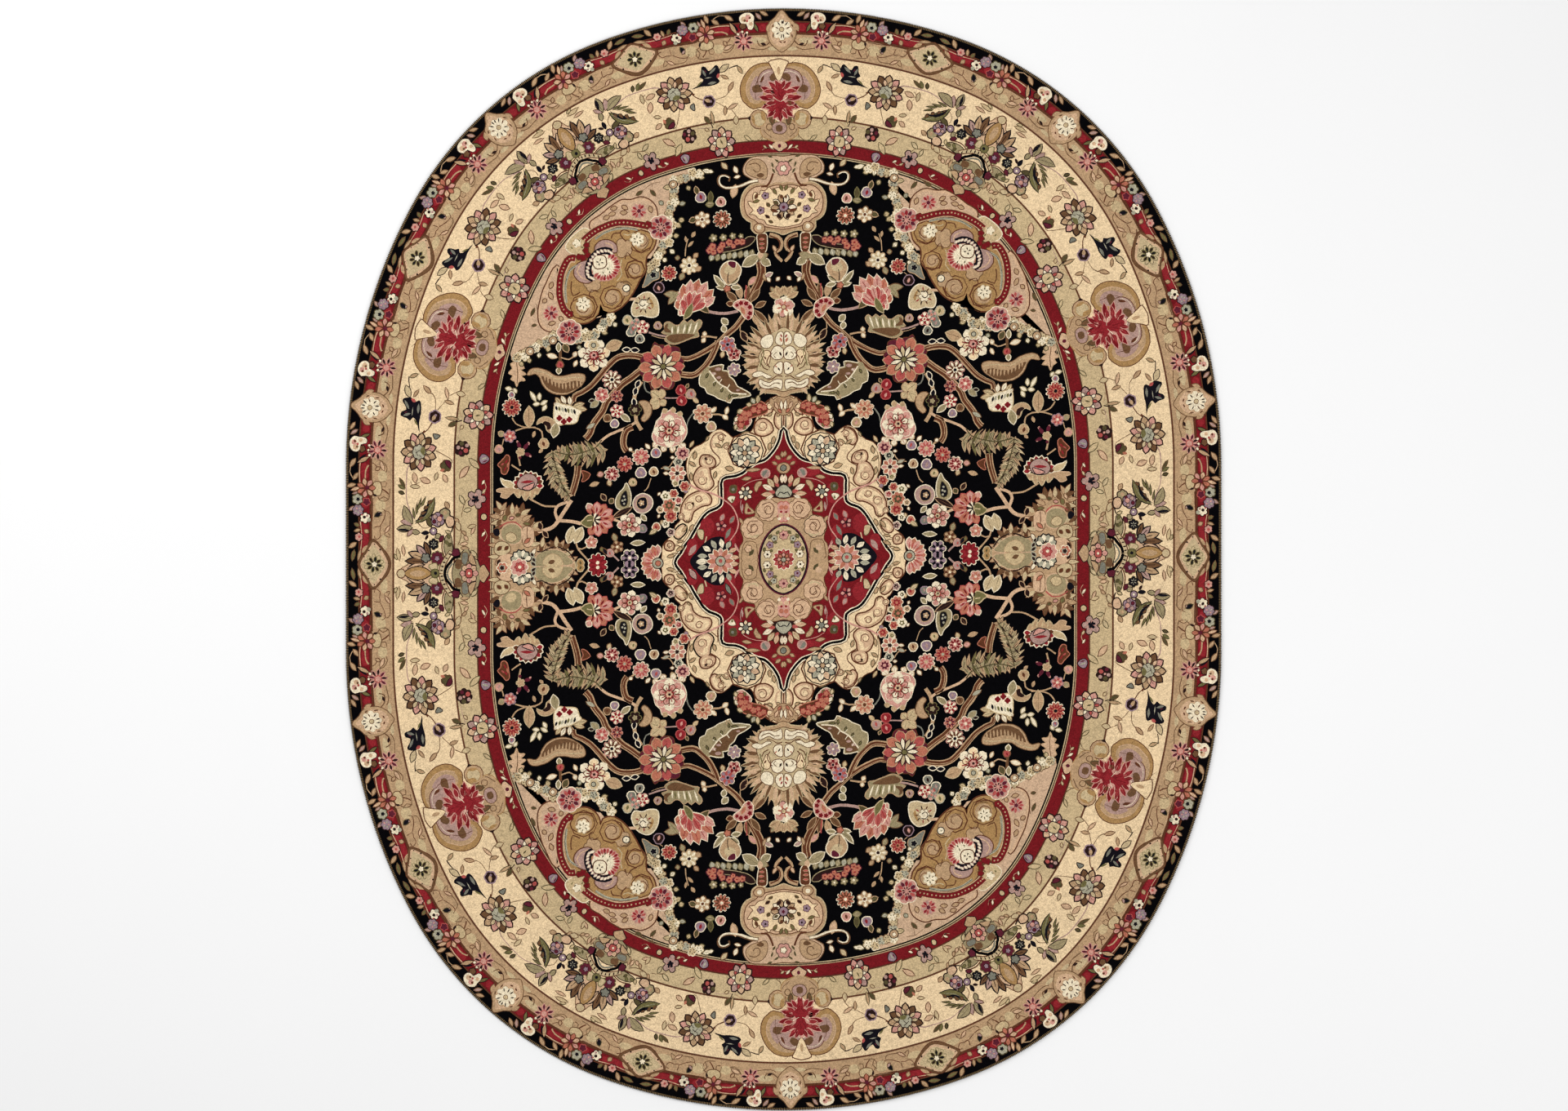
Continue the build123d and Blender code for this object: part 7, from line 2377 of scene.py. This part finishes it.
# ---------------------------------------------------------------------------
# Corner cartouches.  A gold many-lobed body with brown curls, and two pale outer
# lobes with a pink flower in each, set about the corner's own axis.
# ---------------------------------------------------------------------------
cartouches = Pile("corner_cartouche_yarn", QUARTERS)
for outline in (
        [(338, 886), (330, 908), (334, 934), (348, 952), (372, 962), (400, 956), (424, 956),
         (452, 940), (480, 918), (506, 900), (500, 880), (440, 884), (380, 890)],
        [(560, 652), (580, 628), (606, 616), (630, 624), (642, 642), (644, 670), (640, 694),
         (632, 724), (620, 750), (604, 782), (588, 786), (586, 720), (570, 668)]):
    cartouches.draw(smooth(outline, 7), "peach", 5, "brown", 3)
    cartouches.draw(swell(smooth(outline, 7), -7), "blush", 6, wander=0.5)
cartouches.draw(smooth([(512, 880), (506, 862), (514, 842), (510, 822), (526, 812), (546, 816),
                (562, 822), (572, 836), (562, 856), (544, 872), (526, 884)]), "sage", 6, "cream")
for x, y in ((524, 862), (548, 840), (536, 852), (528, 834), (556, 834), (518, 872)):
    cartouches.draw(blade(x - 3, y - 3, x + 3, y + 4, 5, count=4), "moss", 8)
cartouches.draw(lobes(542, 846, 13, 5, 0.3), "cream", 8, "tan", 1.4)
GOLD = [(352, 892), (338, 872), (335, 850), (342, 826), (358, 808), (362, 790), (362, 768),
        (376, 748), (386, 728), (400, 704), (414, 686), (430, 672), (452, 662), (474, 668),
        (480, 684), (484, 664), (498, 646), (518, 636), (544, 638), (562, 652), (572, 676),
        (580, 706), (582, 740), (574, 772), (558, 800), (536, 812), (514, 822), (512, 842),
        (496, 862), (470, 878), (436, 884), (404, 884), (376, 880)]
cartouches.draw(smooth(GOLD, 7), "gold", 7, "brown", 3.2, wander=0.3)
for x, y, r in ((374, 846, 34), (390, 772, 28), (450, 700, 34), (524, 678, 38)):
    cartouches.draw(lobes(x, y, r, 2, 0.04), "brown", 8)
    cartouches.draw(lobes(x, y, r - 3, 2, 0.04), "gold", 9)
    cartouches.draw(disc(x, y, 0.62 * r), "tan", 10, wander=0.4)
    cartouches.draw(volute(x, y, r - 4, 0.01 * x, 3.6, 1 if y > 740 else -1), "brown", 11,
            wander=0.4)
for x, y in ((384, 850), (526, 686)):
    cartouches.draw(lobes(x, y, 19, 7, 0.25), "cream", 12, "straw")
    for k in range(6):
        a = 0.4 + math.pi * k / 3
        cartouches.draw(ray(x, y, a, 4, 13, 4), "olive", 14)
for points, width, yarn in (
        ([(404, 872), (418, 878), (428, 870), (422, 856), (412, 846)], 3, "brown"),
        ([(430, 870), (448, 868), (452, 856)], 3, "brown"),
        ([(384, 796), (400, 804), (410, 818), (416, 800)], 3, "brown"),
        ([(408, 750), (414, 768), (404, 778), (396, 772)], 3, "brown"),
        ([(430, 716), (448, 722), (462, 716), (468, 702)], 3, "brown"),
        ([(486, 716), (504, 722), (510, 706), (500, 700)], 3, "brown"),
        ([(556, 746), (558, 728), (552, 708), (534, 716)], 3, "brown"),
        ([(372, 822), (358, 834), (354, 852)], 3, "stem"),
        ([(500, 660), (516, 652), (536, 654)], 3, "stem"),
        ([(436, 690), (450, 680), (464, 684)], 3, "stem"),
        ([(424, 800), (428, 780), (424, 760), (436, 744)], 3, "straw"),
        ([(392, 868), (408, 862), (420, 866)], 3, "straw"),
        ([(398, 730), (412, 742), (428, 738)], 3, "stem"),
        ([(540, 700), (556, 690), (558, 674)], 3, "brown")):
    cartouches.draw(strand(points, width), yarn, 12)
for x, y, w in ((420, 830, 26), (500, 740, 24), (424, 720, 22)):
    cartouches.draw(lobes(x, y, w, 5, 0.2), "tan", 9, "stem", wander=1.2)
cartouches.draw(disc(413, 724, 9), "cream", 13, "night")
cartouches.draw(disc(413, 724, 3, count=7), "mist", 14)
for x, y in ((380, 925), (610, 664)):
    petals(cartouches, x, y, 4, 20, 8, 11, ("rose", "crimson", "mauve"), "pink", level=9)
    cartouches.draw(lobes(x, y, 6, 5, 0.3), "wine", 12)
for x0, y0, x1, y1 in (
        (408, 930, 424, 940), (410, 922, 430, 922), (436, 936, 454, 932), (440, 922, 460, 916),
        (456, 914, 474, 906), (616, 720, 606, 700), (622, 702, 632, 692), (606, 746, 614, 728),
        (598, 640, 618, 636), (346, 920, 352, 938), (586, 656, 580, 642)):
    leaf(cartouches, x0, y0, x1, y1, 11, "tan", "brown", 9)
cartouches.finish("corner_cartouches", slot="wool_gold")

# ---------------------------------------------------------------------------
# Corner crests.  Two red arcs with a row of tan beads close the cartouche's outer
# side, each lined in pink and grey, with red drops where they meet.
# ---------------------------------------------------------------------------
crests = Pile("corner_crest_yarn", QUARTERS)
for crest in (
        [(352, 884), (378, 890), (410, 896), (440, 896), (468, 888), (494, 876), (516, 860),
         (524, 852)],
        [(546, 806), (562, 806), (574, 790), (584, 764), (588, 732), (586, 700), (576, 672),
         (562, 658)]):
    crests.draw(strand(crest, 23), "peach", 12)
    crests.draw(strand(crest, 19), "brown", 13)
    crests.draw(strand(crest, 15), "red", 14, wander=0.5)
    for x, y in smooth(crest, 10.5, closed=False)[1:]:
        crests.draw(disc(x, y, 3.0, count=7), "tan", 16)
for line in ([(382, 876), (412, 881), (444, 879), (470, 871), (494, 855)],
        [(538, 790), (560, 776), (570, 750), (573, 722), (570, 690)]):
    crests.draw(strand(line, 6), "mist", 14)
    crests.draw(strand(line, 2.4), "umber", 15)
for x, y, r in ((517, 840, 8), (519, 826, 8), (514, 814, 8), (526, 806, 9), (536, 810, 8),
        (562, 660, 10), (356, 888, 10)):
    crests.draw(lobes(x, y, r, 5, 0.25), "red", 15, "brown", 1.6)
crests.finish("corner_crests", slot="wool_wine")

# ---------------------------------------------------------------------------
# Corner hearts.  The carnation inside each cartouche: a ring of magenta petals, a
# pale heart, and a toothed black and cream curl between two mauve scrolls.
# ---------------------------------------------------------------------------
corner_hearts = Pile("corner_heart_yarn", QUARTERS)
corner_hearts.draw(smooth([(438, 818), (438, 834), (448, 846), (466, 852), (484, 848), (496, 834),
                (492, 820), (468, 828), (452, 820)]), "mauve", 14, "brown")
corner_hearts.draw(smooth([(506, 800), (526, 798), (542, 790), (550, 772), (546, 756), (532, 744),
                (512, 740), (500, 750), (516, 762), (520, 782)]), "mauve", 14, "brown")
corner_hearts.draw(strand([(446, 822), (450, 838), (468, 845)], 4), "peach", 16)
corner_hearts.draw(strand([(532, 790), (542, 772), (530, 754), (512, 748)], 4), "peach", 16)
corner_hearts.draw(lobes(468, 780, 36, 10, 0.08), "cream", 15, "pink")
for i in range(15):
    a = math.radians(112 + 14.5 * i)
    corner_hearts.draw(blade(468 + 22 * math.cos(a), 782 + 22 * math.sin(a), 468 + 40 * math.cos(a),
                782 + 38 * math.sin(a), 8.5, count=5, belly=0.62), ("rose", "crimson")[i % 2], 17,
            "pink", 1.6)
CURVE = [(452, 818), (468, 824), (486, 820), (500, 808), (510, 790), (514, 772), (510, 756),
        (500, 752)]
corner_hearts.draw(strand(CURVE, 19), "night", 18)
corner_hearts.draw(strand(CURVE, 5), "mauve", 20)
for x, y in smooth(CURVE, 11.0, closed=False):
    corner_hearts.draw(blade(x - 5, y - 4, x + 5, y + 4, 7, count=5), "cream", 21, "mauve", 1.0)
corner_hearts.draw(lobes(482, 794, 19, 4, 0.1, 0.7), "cream", 22, "brown")
for turn in (0.2, 1.77, 3.34, 4.91):
    corner_hearts.draw(ray(482, 794, turn, 2, 11, 4.5), "umber", 24)
for x, y in ((462, 776), (474, 766), (456, 766), (468, 758)):
    corner_hearts.draw(blade(x - 2, y - 4, x + 2, y + 4, 4, count=4), "olive", 18)
corner_hearts.finish("corner_hearts", slot="wool_rose")

# ---------------------------------------------------------------------------
# Plain pale floor, soft studio light from above, and the camera straight over
# the rug, far enough away that its outline shows with no perspective.
# ---------------------------------------------------------------------------
floor_mesh = bpy.data.meshes.new("floor")
floor_mesh.from_pydata([(-6, -6, 0), (6, -6, 0), (6, 6, 0), (-6, 6, 0)], [], [(0, 1, 2, 3)])
floor = bpy.data.objects.new("floor", floor_mesh)
bpy.context.scene.collection.objects.link(floor)
floor_mesh.materials.append(mottled("studio_floor", srgb(252, 252, 252), srgb(250, 250, 250), 0.5,
            0.9, 0.0))

world = bpy.data.worlds.new("studio")
world.use_nodes = True
world.node_tree.nodes["Background"].inputs["Color"].default_value = (1, 1, 1, 1)
world.node_tree.nodes["Background"].inputs["Strength"].default_value = 0.42
bpy.context.scene.world = world

for label, spot, size, power in (
        ("soft_left", (-3.4, 2.6, 4.6), 3.0, 132), ("soft_right", (3.6, -1.2, 5.0), 3.5, 84),
        ("soft_top", (0.0, 0.4, 7.0), 5.0, 120)):
    lamp = bpy.data.lights.new(label, "AREA")
    lamp.size = size
    lamp.energy = power
    lamp_object = bpy.data.objects.new(label, lamp)
    lamp_object.location = spot
    lamp_object.rotation_euler = (-Vector(spot)).to_track_quat("-Z", "Y").to_euler()
    bpy.context.scene.collection.objects.link(lamp_object)

LENS = 85.0
SENSOR = 36.0
FRAME_WIDTH = 4.113
lens = bpy.data.cameras.new("camera")
lens.lens = LENS
lens.sensor_width = SENSOR
lens.clip_end = 50
camera = bpy.data.objects.new("camera", lens)
camera.location = (0.001, 0.010, FRAME_WIDTH * LENS / SENSOR + GROUND_TOP * MM)
bpy.context.scene.collection.objects.link(camera)
bpy.context.scene.camera = camera
bpy.context.scene.view_settings.view_transform = "Standard"
